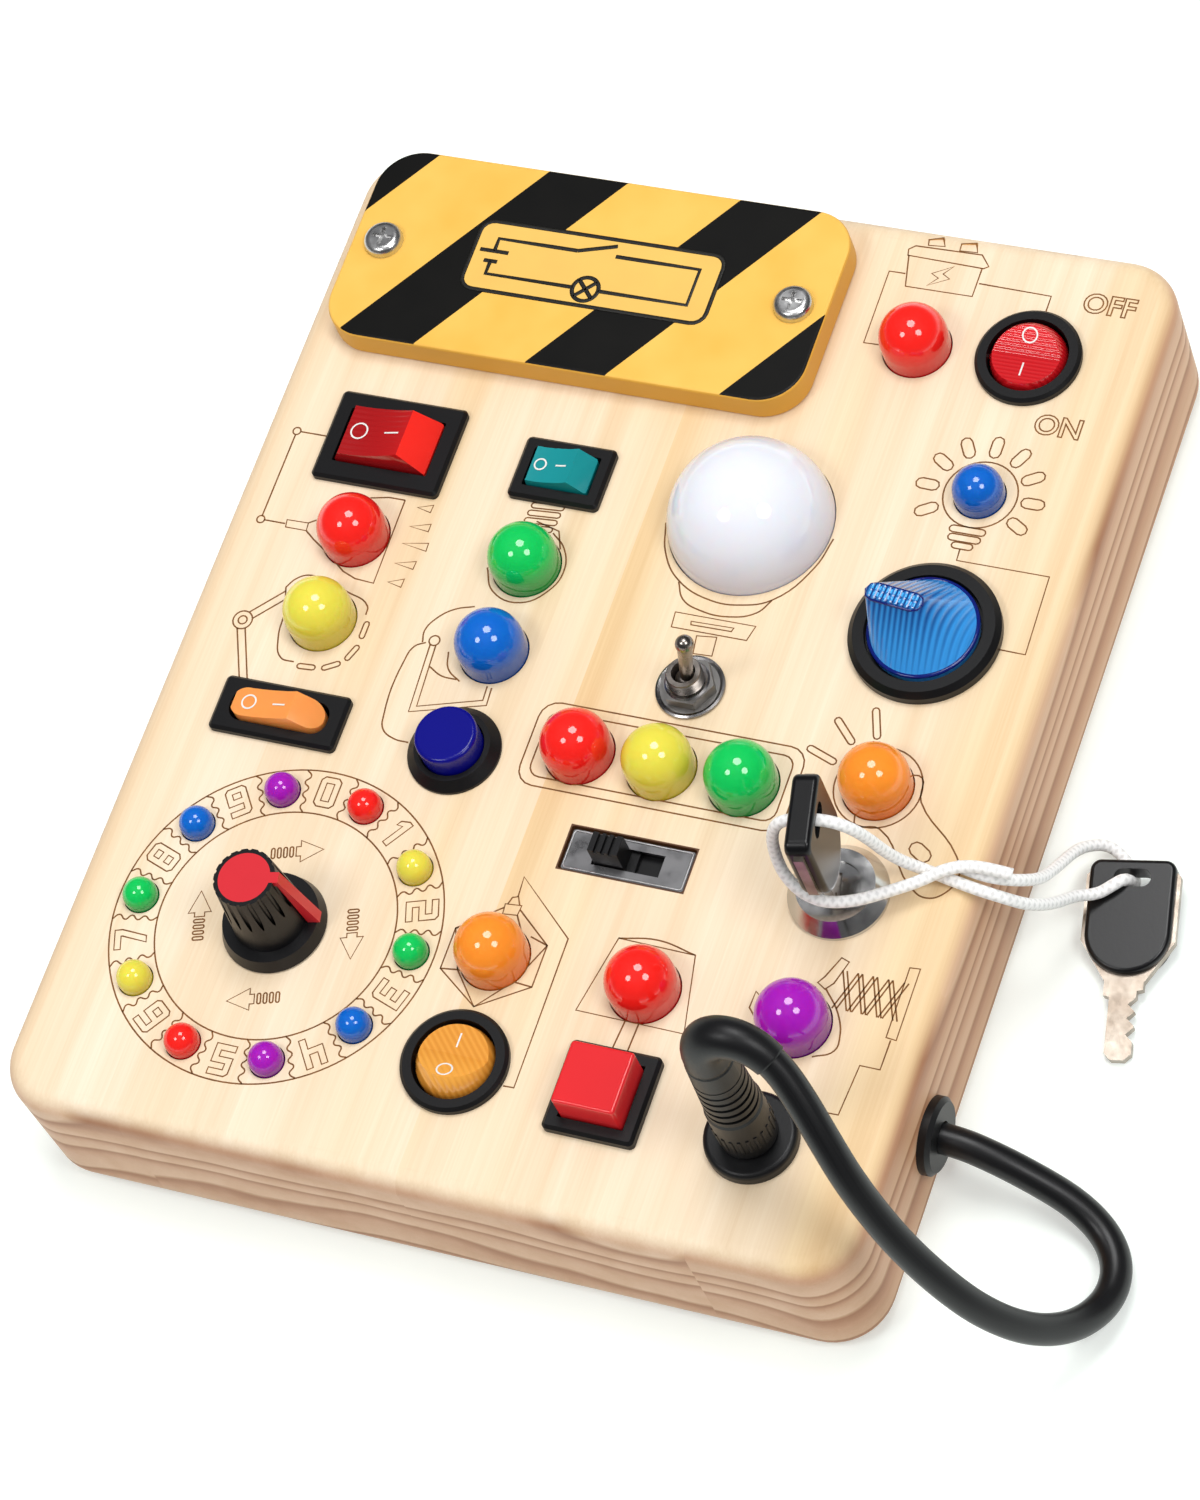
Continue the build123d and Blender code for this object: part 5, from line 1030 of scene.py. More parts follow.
BLOCK_DIGITS = (
    BlockDigit((SHELL, ((-0.9, 2.1), (0.9, 2.1), (0.9, -2.1), (-0.9, -2.1)))),
    BlockDigit((ONE,)),
    BlockDigit((TWO,)),
    BlockDigit((THREE,)),
    BlockDigit((FOUR,)),
    BlockDigit((tuple((-x, y) for x, y in TWO),)),
    BlockDigit((SIX, SIX_HOLE)),
    BlockDigit((SEVEN,)),
    BlockDigit((SHELL, tuple((x, -y) for x, y in SIX_HOLE), SIX_HOLE)),
    BlockDigit((tuple((-x, -y) for x, y in SIX), tuple((-x, -y) for x, y in SIX_HOLE))),
)


@dataclass(frozen=True)
class Letters:
    """Plain lettering drawn as its outline."""

    name: str
    text: str
    size: float
    width: float = 0.6
    thicken: float = 0.12
    place: Matrix = Matrix.Translation((0, 0, (FACE - LINE_SINK) * MM))

    def build(self) -> Piece:
        """Make the outline beads of the letters, centred on their place.

        Returns:
            One mesh object at the origin.
        """
        deselect()
        bpy.ops.object.text_add()
        made = bpy.context.object
        made.data.body = self.text
        made.data.size = self.size * MM
        made.data.align_x = "CENTER"
        made.data.align_y = "CENTER"
        made.data.offset = self.thicken * MM
        made.data.fill_mode = "NONE"
        made.data.bevel_depth = self.width / 2 * MM
        made.data.bevel_resolution = 1
        made.data.resolution_u = 4
        pick(made)
        bpy.ops.object.convert(target="MESH")
        made = named(bpy.context.object, self.name)
        made.data.shade_smooth()
        return settle(made, self.place)


def turned_place(x: float, y: float, z: float, angle: float = 0.0) -> Matrix:
    """A place in metres from millimetres, turned about the upright axis."""
    return Matrix.Translation(Vector((x, y, z)) * MM) @ Matrix.Rotation(math.radians(angle), 4, "Z")


# ---------------------------------------------------------------- the board
@dataclass
class WoodenBody:
    """The pine body, its back and the lines burnt into its face."""

    frame: dict
    dial_centre: Point2 = (-47.5, -69.8)
    dial_outer: float = 36.3
    dial_inner: float = 26.3
    digit_ring: float = 31.6
    dial_steps: int = 10
    divider_angle: float = 9.0
    wave_angle: float = 0.9
    wave_points: int = 8
    arrow_tip: Point2 = (4.0, 18.8)
    arrow_way: Point2 = (0.956, 0.293)
    arrow_head: tuple[Point2, ...] = (
        (0.0, 0.0), (-5.0, 2.5), (-5.0, 1.1), (-6.0, 1.1), (-6.0, -1.1), (-5.0, -1.1), (-5.0, -2.5),
    )
    tail_start: float = 7.0
    tail_pitch: float = 1.35
    tail_bar: Point2 = (2.4, 0.75)
    words: tuple[tuple[str, str, float, float], ...] = (
        ("burnt_off", "OFF", 81.2, 106.7), ("burnt_on", "ON", 79.2, 75.9),
    )
    word_height: float = 6.6
    battery: Strokes = (
        shape(37.5, 116.4, 40.5, 117.4, 41.5, 115.3, 37.8, 115.0),
        shape(44.9, 116.6, 48.1, 117.3, 49.0, 115.0, 45.0, 114.8),
        shape(33.8, 113.3, 35.1, 114.4, 50.2, 114.6, 52.5, 112.0, 51.5, 111.3, 34.1, 111.8),
        line(34.3, 111.9, 36.0, 104.1, 51.2, 104.1, 51.2, 111.3),
        shape(45.0, 110.7, 40.7, 108.2, 42.5, 107.3, 40.6, 105.1, 45.0, 107.5, 43.2, 108.5),
        line(35.0, 107.2, 31.3, 107.2, 31.4, 88.8, 35.4, 88.9), line(51.7, 107.5, 68.1, 107.1, 68.1, 102.4),
    )
    bulb_rays: tuple[tuple[float, float, float], ...] = (
        (55.9, 57.7, 178.0), (57.6, 63.5, 148.0), (61.8, 67.7, 120.0), (67.8, 68.9, 90.0), (73.6, 67.3, 60.0),
        (77.7, 63.0, 30.0), (79.4, 57.1, 0.0), (77.7, 51.3, -30.0), (57.5, 51.8, -150.0),
    )
    ray_size: Point2 = (5.2, 2.5)
    bulb: Strokes = (
        ring(67.8, 57.2, 8.0), slot_stroke(67.7, 48.4, 8.0, 1.6, 0.0),
        slot_stroke(67.6, 46.4, 7.2, 1.6, 0.0), slot_stroke(67.7, 44.6, 4.7, 1.5, 0.0),
        line(67.5, 43.8, 67.6, 41.1, 88.0, 41.0, 88.5, 22.4, 83.0, 22.5),
    )
    globe: Strokes = (
        curve(3.1, 38.1, 5.4, 31.2, 10.2, 25.4, 18.9, 21.9, 25.8, 22.1, 31.9, 24.5, 38.4, 33.7, 40.2, 41.1),
        curve(10.6, 24.9, 12.9, 21.0, 17.2, 19.2, 24.2, 18.9, 29.7, 21.0, 31.9, 24.4),
        shape(12.3, 17.8, 30.5, 17.8, 29.6, 14.2, 12.6, 14.2),
        shape(16.4, 16.3, 26.0, 16.5, 25.7, 15.6, 16.6, 15.5),
        shape(18.7, 13.2, 23.1, 13.7, 23.5, 9.2, 19.3, 9.0),
    )
    torch: Strokes = (
        ring(-86.7, 44.7, 0.9, 16), ring(-86.7, 22.0, 0.9, 16), line(-86.7, 43.8, -86.7, 22.9),
        line(-85.8, 44.7, -79.0, 44.7), line(-85.8, 22.0, -80.8, 22.0),
        shape(-80.7, 23.0, -75.6, 23.1, -75.4, 21.2, -80.4, 21.2),
        line(-75.6, 23.1, -73.8, 24.3, -69.0, 28.6, -63.9, 31.7, -59.8, 32.6, -56.0, 32.6),
        line(-56.0, 32.6, -55.7, 11.7, -60.2, 12.0, -63.5, 13.2, -68.3, 16.6, -72.9, 19.4, -75.4, 21.2),
        shape(-52.6, 31.4, -49.2, 32.6, -49.3, 30.7), shape(-52.6, 26.6, -48.1, 28.0, -48.1, 26.1),
        shape(-52.8, 22.3, -47.0, 23.4, -46.9, 21.4), shape(-52.7, 17.3, -48.1, 18.6, -48.2, 16.6),
        shape(-52.6, 12.6, -49.2, 14.0, -49.3, 11.9),
    )
    filament: Strokes = (
        slot_stroke(-23.9, 37.0, 7.5, 1.3, 4.0), slot_stroke(-24.1, 35.1, 7.5, 1.3, 4.0),
        slot_stroke(-24.2, 33.2, 7.5, 1.3, 4.0), slot_stroke(-24.3, 31.4, 6.8, 1.3, 4.0),
        line(-25.1, 33.1, -19.4, 31.7, -17.6, 27.5),
        curve(-20.5, 31.0, -16.8, 27.8, -15.0, 22.5, -16.6, 17.5, -21.9, 13.4, -28.8, 14.9, -32.0, 20.2),
    )
    desk_lamp: Strokes = (
        ring(-81.5, -2.5, 2.2, 20), ring(-81.5, -2.5, 1.0, 14), line(-80.7, -0.4, -74.4, 6.2),
        line(-79.4, -1.7, -73.0, 5.0), line(-82.0, -4.6, -76.9, -16.3), line(-80.2, -4.3, -75.0, -16.3),
        curve(-74.8, 7.0, -73.4, 9.3, -70.9, 10.8, -66.5, 10.3, -60.8, 8.6, -55.0, 6.1, -54.6, 4.0),
        curve(-74.8, 7.0, -72.9, 1.1, -72.0, -5.0, -69.6, -9.6, -66.3, -10.0),
        slot_stroke(-53.6, 0.4, 4.2, 1.2, 90.0), slot_stroke(-54.3, -5.4, 4.2, 1.2, 68.0),
        slot_stroke(-57.8, -9.3, 4.2, 1.2, 30.0), slot_stroke(-63.2, -10.6, 4.2, 1.2, 4.0),
    )
    head_lamp: Strokes = (
        curve(-39.8, 0.1, -40.3, 3.0, -38.7, 6.3, -35.7, 9.0, -31.4, 10.6), ring(-37.3, 1.0, 1.2, 14),
        line(-37.9, -0.1, -36.9, -16.4, -20.6, -11.6, -20.9, -7.4),
        line(-36.6, -0.1, -35.6, -14.8, -21.8, -10.6, -22.0, -7.2),
        curve(-36.1, -5.2, -32.8, -6.8, -29.2, -7.0), curve(-33.3, -1.0, -31.9, -4.9, -28.4, -7.3),
        curve(-39.0, 0.2, -41.2, -1.2, -42.2, -5.0, -42.0, -18.2, -41.0, -21.4, -38.0, -23.1, -34.3, -23.4),
    )
    traffic: tuple[float, float, float, float] = (-8.5, 51.0, -27.6, -7.8)
    traffic_insets: tuple[Point2, Point2] = ((0.0, 4.0), (2.2, 2.6))
    hand_lamp: Strokes = (
        slot_stroke(53.9, -8.4, 7.4, 1.5, -19.0), slot_stroke(56.9, -2.1, 7.4, 1.5, -44.0),
        slot_stroke(62.9, 0.9, 7.4, 1.5, -70.0), ring(67.8, -13.2, 9.3),
        loop(
            75.3, -8.9, 77.6, -14.6, 88.4, -24.8, 90.3, -28.6, 88.8, -33.2, 85.2, -35.2, 81.2, -33.4,
            71.0, -22.2, 65.4, -21.9,
        ),
        slot_stroke(80.9, -25.6, 5.4, 3.0, -32.0),
    )
    wall_lamp: Strokes = (
        shape(69.4, -57.9, 70.4, -56.4, 72.5, -51.6, 74.3, -52.2, 72.7, -57.4, 71.3, -59.0),
        curve(71.5, -58.9, 75.6, -63.6, 77.6, -68.5, 77.4, -71.6, 73.4, -73.8),
        shape(86.8, -50.8, 89.0, -50.6, 89.0, -66.7, 86.8, -66.5),
        line(60.6, -64.6, 57.6, -62.5, 57.4, -66.2, 59.6, -68.4),
        line(87.9, -66.9, 87.8, -73.5, 83.5, -73.5, 82.6, -84.7, 75.6, -84.8),
    )
    scissor_tops: tuple[float, ...] = (73.6, 76.9, 80.1, 83.4, 86.8)
    scissor_levels: Point2 = (-54.2, -62.7)
    scissor_shifts: Point2 = (0.2, 0.4)
    scissor_width: float = 0.9
    pendant: Strokes = (
        line(0.0, -54.8, 0.5, -53.1, 1.7, -52.7, 2.6, -54.5),
        shape(-0.5, -54.8, 3.1, -54.5, 2.9, -56.8, -0.3, -57.1),
        line(-0.4, -55.6, -9.0, -62.3, -9.0, -71.7, 1.0, -78.4, 11.5, -71.6, 11.5, -62.0, 3.1, -55.5),
        line(-0.3, -57.1, -6.4, -66.0, -5.3, -71.2, 1.0, -78.4, 7.3, -71.3, 8.8, -66.0, 2.9, -56.8),
        line(-9.0, -62.3, -5.3, -71.2, 7.3, -71.3, 11.5, -62.0), line(-9.0, -71.7, -5.3, -71.2),
        line(11.5, -71.6, 7.3, -71.3), line(-9.0, -62.3, -4.2, -60.9), line(11.5, -62.0, 7.4, -60.8),
        line(1.6, -52.8, 1.3, -48.1, 15.3, -59.6, 15.5, -93.7, 13.2, -93.8),
    )
    lampshade: Strokes = (
        shape(25.7, -57.2, 42.7, -57.5, 46.1, -74.7, 22.3, -74.5),
        curve(25.7, -57.2, 34.0, -55.9, 42.7, -57.5), line(33.2, -74.7, 32.6, -81.4),
        line(36.2, -74.7, 35.9, -81.4),
    )

    def build(self) -> None:
        """Finish the wood and burn the drawings."""
        finish_nodes(self.frame, Pine("pine_sanded_lacquered"), "wooden_body")
        finish_nodes(self.frame, Plywood("poplar_plywood_sanded"), "back_panel")
        plated = PlatedMetal("steel_bright_zinc_plated", "#D2D4D6", 0.2)
        finish_nodes(self.frame, plated, "back_panel_screws")
        finish_nodes(self.frame, PlatedMetal("brass_nut_nickel_plated", "#8F8D8B", 0.42), "panel_nuts")
        rays = tuple(slot_stroke(x, y, *self.ray_size, angle) for x, y, angle in self.bulb_rays)
        drawings = {
            "burnt_battery": self.battery, "burnt_bulb": self.bulb + rays,
            "burnt_globe_lamp": self.globe, "burnt_torch": self.torch, "burnt_filament": self.filament,
            "burnt_desk_lamp": self.desk_lamp, "burnt_head_lamp": self.head_lamp,
            "burnt_traffic_frame": self.traffic_frame(), "burnt_hand_lamp": self.hand_lamp,
            "burnt_wall_lamp": self.wall_lamp + self.scissors(), "burnt_pendant": self.pendant,
            "burnt_lampshade": self.lampshade,
            "burnt_dial": self.dial_rings() + self.dividers() + self.arrows(), "burnt_digits": self.digits(),
        }
        char = BurntWood("pine_charred_by_laser")
        for name, strokes in drawings.items():
            dress(LineWork(name, strokes).build(), char, "board", "burnt_line")
        for name, word, x, y in self.words:
            place = turned_place(x, y, FACE - LINE_SINK)
            dress(Letters(name, word, self.word_height, place=place).build(), char, "board", "burnt_line")

    def traffic_frame(self) -> Strokes:
        """Two rounded frames, one inside the other.

        Returns:
            Two closed strokes.
        """
        left, right, low, high = self.traffic
        middle = ((left + right) / 2, (low + high) / 2)
        half_x, half_y = (right - left) / 2, (high - low) / 2
        return tuple(
            rounded(*middle, half_x - inset, half_y - inset, radius) for inset, radius in self.traffic_insets
        )

    def scissors(self) -> Strokes:
        """The crossed bars of the wall lamp's reach.

        Returns:
            Two straight strokes for each bar.
        """
        high, low = self.scissor_levels
        right, left = self.scissor_shifts
        bars = []
        tops = self.scissor_tops
        for before, after in zip(tops, tops[1:]):
            for top, foot in ((before, after + right), (after, before + left)):
                for edge in (0.0, self.scissor_width):
                    bars.append(line(top + edge, high, foot + edge, low))
        return tuple(bars)

    def around(self, radius: float, angle: float) -> Point2:
        """A point about the dial's centre."""
        (x, y), turn = self.dial_centre, math.radians(angle)
        return (x + radius * math.cos(turn), y + radius * math.sin(turn))

    def dial_rings(self) -> Strokes:
        """The two circles of the dial."""
        return tuple(ring(*self.dial_centre, radius, 120) for radius in (self.dial_outer, self.dial_inner))

    def dividers(self) -> Strokes:
        """The wavy lines each side of every dial lamp.

        Returns:
            Two curves for each lamp.
        """
        lines = []
        pitch = (self.dial_outer - self.dial_inner) / (self.wave_points - 1)
        turn = 360.0 / self.dial_steps
        for number in range(self.dial_steps):
            for side in (-self.divider_angle, self.divider_angle):
                angle = 90.0 + turn / 2 - turn * number + side
                points = [
                    self.around(
                        self.dial_inner + pitch * step,
                        angle + (self.wave_angle if step % 2 else -self.wave_angle),
                    )
                    for step in range(self.wave_points)
                ]
                lines.append(Stroke(tuple(points), Draw.CURVE))
        return tuple(lines)

    def arrows(self) -> Strokes:
        """Four straight hollow arrows with barred tails, pointing clockwise.

        Returns:
            A head and four bars for each arrow.
        """
        strokes = []
        for number in range(4):
            turn = Matrix.Rotation(math.radians(-90.0 * number), 2)
            way = turn @ Vector(self.arrow_way)
            side = Vector((-way.y, way.x))
            tip = Vector(self.dial_centre) + turn @ Vector(self.arrow_tip)
            head = [tuple(tip + way * a + side * b) for a, b in self.arrow_head]
            strokes.append(Stroke(tuple(head), Draw.SHAPE))
            angle = math.degrees(math.atan2(side.y, side.x))
            for bar in range(4):
                x, y = tip - way * (self.tail_start + self.tail_pitch * bar)
                strokes.append(slot_stroke(x, y, *self.tail_bar, angle))
        return tuple(strokes)

    def digits(self) -> Strokes:
        """The ten figures between the circles, feet to the centre.

        Returns:
            The outlines of all ten.
        """
        strokes = ()
        for number, digit in enumerate(BLOCK_DIGITS):
            angle = 90.0 - 360.0 / self.dial_steps * number
            strokes += digit.strokes(*self.around(self.digit_ring, angle), angle - 90.0)
        return strokes


@dataclass
class PowerCover:
    """The striped cover over the cells, with its two screws and a printed circuit."""

    frame: dict
    centre: Point3 = (-31.0, 91.6, 43.5)
    label_size: Point2 = (58.0, 18.0)
    label_corner: float = 3.0
    label_thick: float = 0.04
    ink_lift: float = 0.05
    border_inset: float = 0.2
    wire_inset: Point2 = (5.0, 4.2)
    lamp_radius: float = 3.0
    cell_gap: float = 1.3
    cell_plates: Point2 = (3.4, 1.6)

    def build(self) -> None:
        """Finish the cover and print its label."""
        finish_nodes(self.frame, PaintedPanel("fibreboard_sprayed_yellow"), "battery_cover")
        chrome = PlatedMetal("steel_chrome_plated", "#E4E4E4", 0.28)
        finish_nodes(self.frame, chrome, "battery_cover_screws")
        ink = MouldedPlastic("screen_ink_black", "#17150F", 0.45, 0.3, 0.006)
        yellow = MouldedPlastic("sprayed_yellow_plain", "#EFC05E", 0.42, 0.8, 0.012)
        label = self.panel("label_ground", self.label_size, self.label_thick)
        dress(label, yellow, "board", "yellow_panel")
        x, y, z = self.centre
        place = turned_place(x, y, z + self.ink_lift)
        printed = LineWork("label_print", self.circuit(), 1.0, 0.12, place)
        dress(printed.build(), ink, "board", "black_print")

    def panel(self, name: str, size: Point2, thick: float) -> Piece:
        """A thin sheet with rounded corners on top of the cover.

        Args:
            name: The sheet's name.
            size: Its width and height.
            thick: Its thickness.

        Returns:
            The sheet.
        """
        x, y, z = self.centre
        deselect()
        bpy.ops.mesh.primitive_plane_add(size=MM, location=(x * MM, y * MM, z * MM))
        made = named(bpy.context.object, name)
        made.scale = (size[0], size[1], 1)
        edit(made)
        bpy.ops.mesh.bevel(offset=self.label_corner * MM, segments=6, affect="VERTICES")
        bpy.ops.mesh.select_all(action="SELECT")
        pull((0, 0, thick))
        return close(made)

    def circuit(self) -> Strokes:
        """A textbook circuit: a cell, an open switch and a lamp joined by a wire.

        Returns:
            The label's border and the lines in it.
        """
        half_x, half_y = (side / 2 - self.border_inset for side in self.label_size)
        wire_x, wire_y = half_x - self.wire_inset[0], half_y - self.wire_inset[1]
        lamp, gap, (long, short) = self.lamp_radius, self.cell_gap, self.cell_plates
        cross = lamp * 0.707
        return (
            rounded(0.0, 0.0, half_x, half_y, self.label_corner),
            line(-11.0, wire_y, -wire_x, wire_y, -wire_x, gap),
            line(-wire_x, -gap, -wire_x, -wire_y, -lamp, -wire_y),
            line(lamp, -wire_y, wire_x, -wire_y, wire_x, wire_y, 11.0, wire_y),
            line(-11.0, wire_y, -5.0, wire_y), line(-5.0, wire_y, 3.6, wire_y + 2.6),
            line(4.0, wire_y, 11.0, wire_y), line(-wire_x - long, gap, -wire_x + long, gap),
            line(-wire_x - short, -gap, -wire_x + short, -gap), ring(0.0, -wire_y, lamp, 28),
            line(-cross, -wire_y - cross, cross, -wire_y + cross),
            line(-cross, -wire_y + cross, cross, -wire_y - cross),
        )


@dataclass
class PowerPack:
    """What is inside: tray, cells, contacts and the lamps' boards."""

    frame: dict

    def build(self) -> None:
        """Finish the inner parts."""
        finish_nodes(self.frame, MouldedPlastic("abs_black_spark_grain", "#222224", 0.5), "battery_tray")
        nickel = PlatedMetal("spring_steel_nickel_plated")
        finish_nodes(self.frame, nickel, "battery_contacts", "rotary_switch", "dial_shaft", "plug_pin")
        finish_nodes(self.frame, MouldedPlastic("cell_sleeve_pvc_shrunk", "#4A6A8C", 0.25), "battery_cells")
        finish_nodes(self.frame, CircuitBoard("glass_epoxy_green_mask"), "light_boards", "dial_board")


class Lens(Enum):
    """The colours of the lamp caps: the crown's, paler as painted light, and the foot's, deeper as painted
    shade.
    """

    RED = ("#F4241E", "#C20C12")
    YELLOW = ("#E4D84C", "#C9B530")
    GREEN = ("#12C45A", "#078A3C")
    BLUE = ("#0E66C8", "#06479A")
    ORANGE = ("#F58F2C", "#D96814")
    PURPLE = ("#A31AB4", "#720A84")


@dataclass
class Lamps:
    """The coloured lamp caps and the big white globe."""

    frame: dict
    nodes: tuple[tuple[str, Lens], ...] = (
        ("lamps_red", Lens.RED), ("lamps_yellow", Lens.YELLOW), ("lamps_green", Lens.GREEN),
        ("lamps_blue", Lens.BLUE), ("lamps_orange", Lens.ORANGE), ("lamp_purple", Lens.PURPLE),
        ("dial_lamps_red", Lens.RED), ("dial_lamps_yellow", Lens.YELLOW), ("dial_lamps_green", Lens.GREEN),
        ("dial_lamps_blue", Lens.BLUE), ("dial_lamps_purple", Lens.PURPLE),
    )
    small: tuple[str, float, float] = ("small", 36.4, 41.0)
    large: tuple[str, float, float] = ("large", 37.0, 46.5)

    def build(self) -> None:
        """Finish every cap."""
        for node, lens in self.nodes:
            size, low, high = self.small if node.startswith("dial_") else self.large
            finish = LensPlastic(f"acrylic_diffusing_{lens.name.lower()}_{size}", *lens.value, low, high)
            finish_nodes(self.frame, finish, node)
        # The globe's lavender grey foot colour is painted shade towards its lower rim.
        globe = LensPlastic("acrylic_milk_white", "#E6E7EF", "#CFCFDF", 36.0, 50.0)
        finish_nodes(self.frame, globe, "globe_lamp")


# ---------------------------------------------------------------- switches
class Reach(Enum):
    """Which way a rocker's raised end points from its middle."""

    RIGHT = 0.0
    FAR = 90.0
    NEAR = -90.0


@dataclass(frozen=True)
class Cap:
    """A rocker's cap seen from its side: a dished top between two crests and sloping ends.

    The top runs from the pressed end to the raised end, each point a distance along from the middle and a
    height above the table.
    """

    top: tuple[Point2, ...]
    feet: tuple[Point2, Point2]
    half_width: float
    corner: float
    slot: str
    draft: float = 0.96
    # A brighter finish for the sloping raised end, painted light.
    painted_lit_end: Finish | None = None
    bottom: float = 33.0
    rim: float = 38.2
    ceiling: float = 46.0
    edge: float = 0.35

    def surface(self, along: float) -> float:
        """Height of the top at a distance from the middle, both in millimetres.

        Args:
            along: The distance, positive towards the raised end.

        Returns:
            The height above the table.
        """
        for (x0, z0), (x1, z1) in zip(self.top, self.top[1:]):
            if along <= x1:
                return z0 + (z1 - z0) * (along - x0) / (x1 - x0)
        return self.top[-1][1]

    def build(self, name: str, centre: Point2) -> Piece:
        """Cut the cap out of a drafted block with its side outline.

        Args:
            name: The piece's name.
            centre: The switch's centre.

        Returns:
            The cap with rounded edges.
        """
        x, y = centre
        (left, _), (right, _) = self.feet
        deselect()
        middle = ((x + (left + right) / 2) * MM, y * MM, self.bottom * MM)
        bpy.ops.mesh.primitive_plane_add(size=MM, location=middle)
        made = named(bpy.context.object, name)
        made.scale = (right - left, 2 * self.half_width, 1)
        edit(made)
        bpy.ops.mesh.bevel(offset=self.corner * MM, segments=10, affect="VERTICES")
        bpy.ops.mesh.select_all(action="SELECT")
        pull((0, 0, self.rim - self.bottom))
        pull((0, 0, self.ceiling - self.rim))
        bpy.ops.transform.resize(value=(1, self.draft, 1), center_override=middle)
        close(made)
        side = self.side(centre)
        pick(made)
        cut = made.modifiers.new("side", "BOOLEAN")
        cut.operation = "INTERSECT"
        cut.solver = "EXACT"
        cut.object = side
        bpy.ops.object.modifier_apply(modifier="side")
        bpy.data.objects.remove(side)
        soften = made.modifiers.new("edges", "BEVEL")
        soften.width = self.edge * MM
        soften.segments = 3
        soften.limit_method = "ANGLE"
        soften.angle_limit = math.radians(25)
        bpy.ops.object.modifier_apply(modifier="edges")
        bpy.ops.object.shade_smooth_by_angle(angle=math.radians(30))
        return made

    def painted_light_end(self, made: Piece) -> None:
        """Give the sloping raised end its own brighter finish, painted light, if it has one.

        Args:
            made: The cap.
        """
        if self.painted_lit_end is None:
            return
        made.data.materials.append(self.painted_lit_end.material())
        for face in made.data.polygons:
            face.material_index = 1 if face.normal.x > 0.5 else 0

    def side(self, centre: Point2) -> Piece:
        """The side outline as a wide block.

        Args:
            centre: The switch's centre.

        Returns:
            The block that the cap is cut with.
        """
        x, y = centre
        left, right = self.feet
        near = y - self.half_width - 1
        outline = ((left[0] - 1, self.bottom + 0.2), (left[0] - 1, left[1]), left, *self.top, right)
        outline += ((right[0] + 1, right[1]), (right[0] + 1, self.bottom + 0.2))
        made = traced("side_block", [Vector((x + a, near, b)) for a, b in outline])
        bpy.ops.mesh.remove_doubles(threshold=0.001 * MM)
        bpy.ops.mesh.edge_face_add()
        pull((0, 2 * self.half_width + 2, 0))
        return close(made)


@dataclass
class RockerSwitch:
    """A rocker switch: its frame, its button and the marks printed on the button."""

    frame: dict
    name: str
    centre: Point2
    reach: Reach
    body: Finish
    off_at: float
    on_at: float
    mark: float = 1.7
    valley: float = -0.81
    level: float = 39.1
    slope: float = 23.0
    print_width: float = 0.42
    print_flat: float = 0.3
    print_lift: float = 0.04
    cap: Cap | None = None

    def build(self) -> None:
        """Finish the switch, shape its cap and print its marks."""
        black = MouldedPlastic("nylon_black_fine_grain", "#0F0F11", 0.42, shine=0.3)
        finish_nodes(self.frame, black, f"{self.name}_housing")
        finish_nodes(self.frame, self.body, f"{self.name}_button")
        if self.cap is not None:
            shaped = self.cap.build(f"{self.name}_cap", self.centre)
            dress(shaped, self.body, self.name, self.cap.slot)
            self.cap.painted_light_end(shaped)
            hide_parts(f"{self.name}_button")
        ink = MouldedPlastic("pad_print_white", "#F2F0EC", 0.5, 0.3, 0.004)
        circle, bar = ring(0, 0, self.mark, 28), line(-self.mark, 0.0, self.mark, 0.0)
        marks = [
            LineWork(name, (stroke,), self.print_width, self.print_flat, self.spot(along)).build()
            for name, stroke, along in (("off", circle, self.off_at), ("on", bar, self.on_at))
        ]
        dress(join(marks, f"{self.name}_marks"), ink, self.name, "white_print")

    def spot(self, along: float) -> Matrix:
        """The place on the button's top at a distance from its middle, along its reach.

        Args:
            along: Millimetres from the middle, positive towards the raised end.

        Returns:
            A matrix in metres that lays a flat mark on the button.
        """
        turn = Matrix.Rotation(math.radians(self.reach.value), 4, "Z")
        if self.cap is not None:
            before = self.cap.surface(along - self.mark)
            after = self.cap.surface(along + self.mark)
            height = (before + after) / 2 + self.print_lift
            slope = math.atan((after - before) / (2 * self.mark))
        else:
            height = self.level + max(0.0, along - self.valley) * math.tan(math.radians(self.slope))
            slope = math.radians(self.slope if along > self.valley else 0.0)
        lean = Matrix.Rotation(-slope, 4, "Y")
        foot = Matrix.Translation((self.centre[0] * MM, self.centre[1] * MM, height * MM))
        return foot @ turn @ Matrix.Translation((along * MM, 0, 0)) @ lean


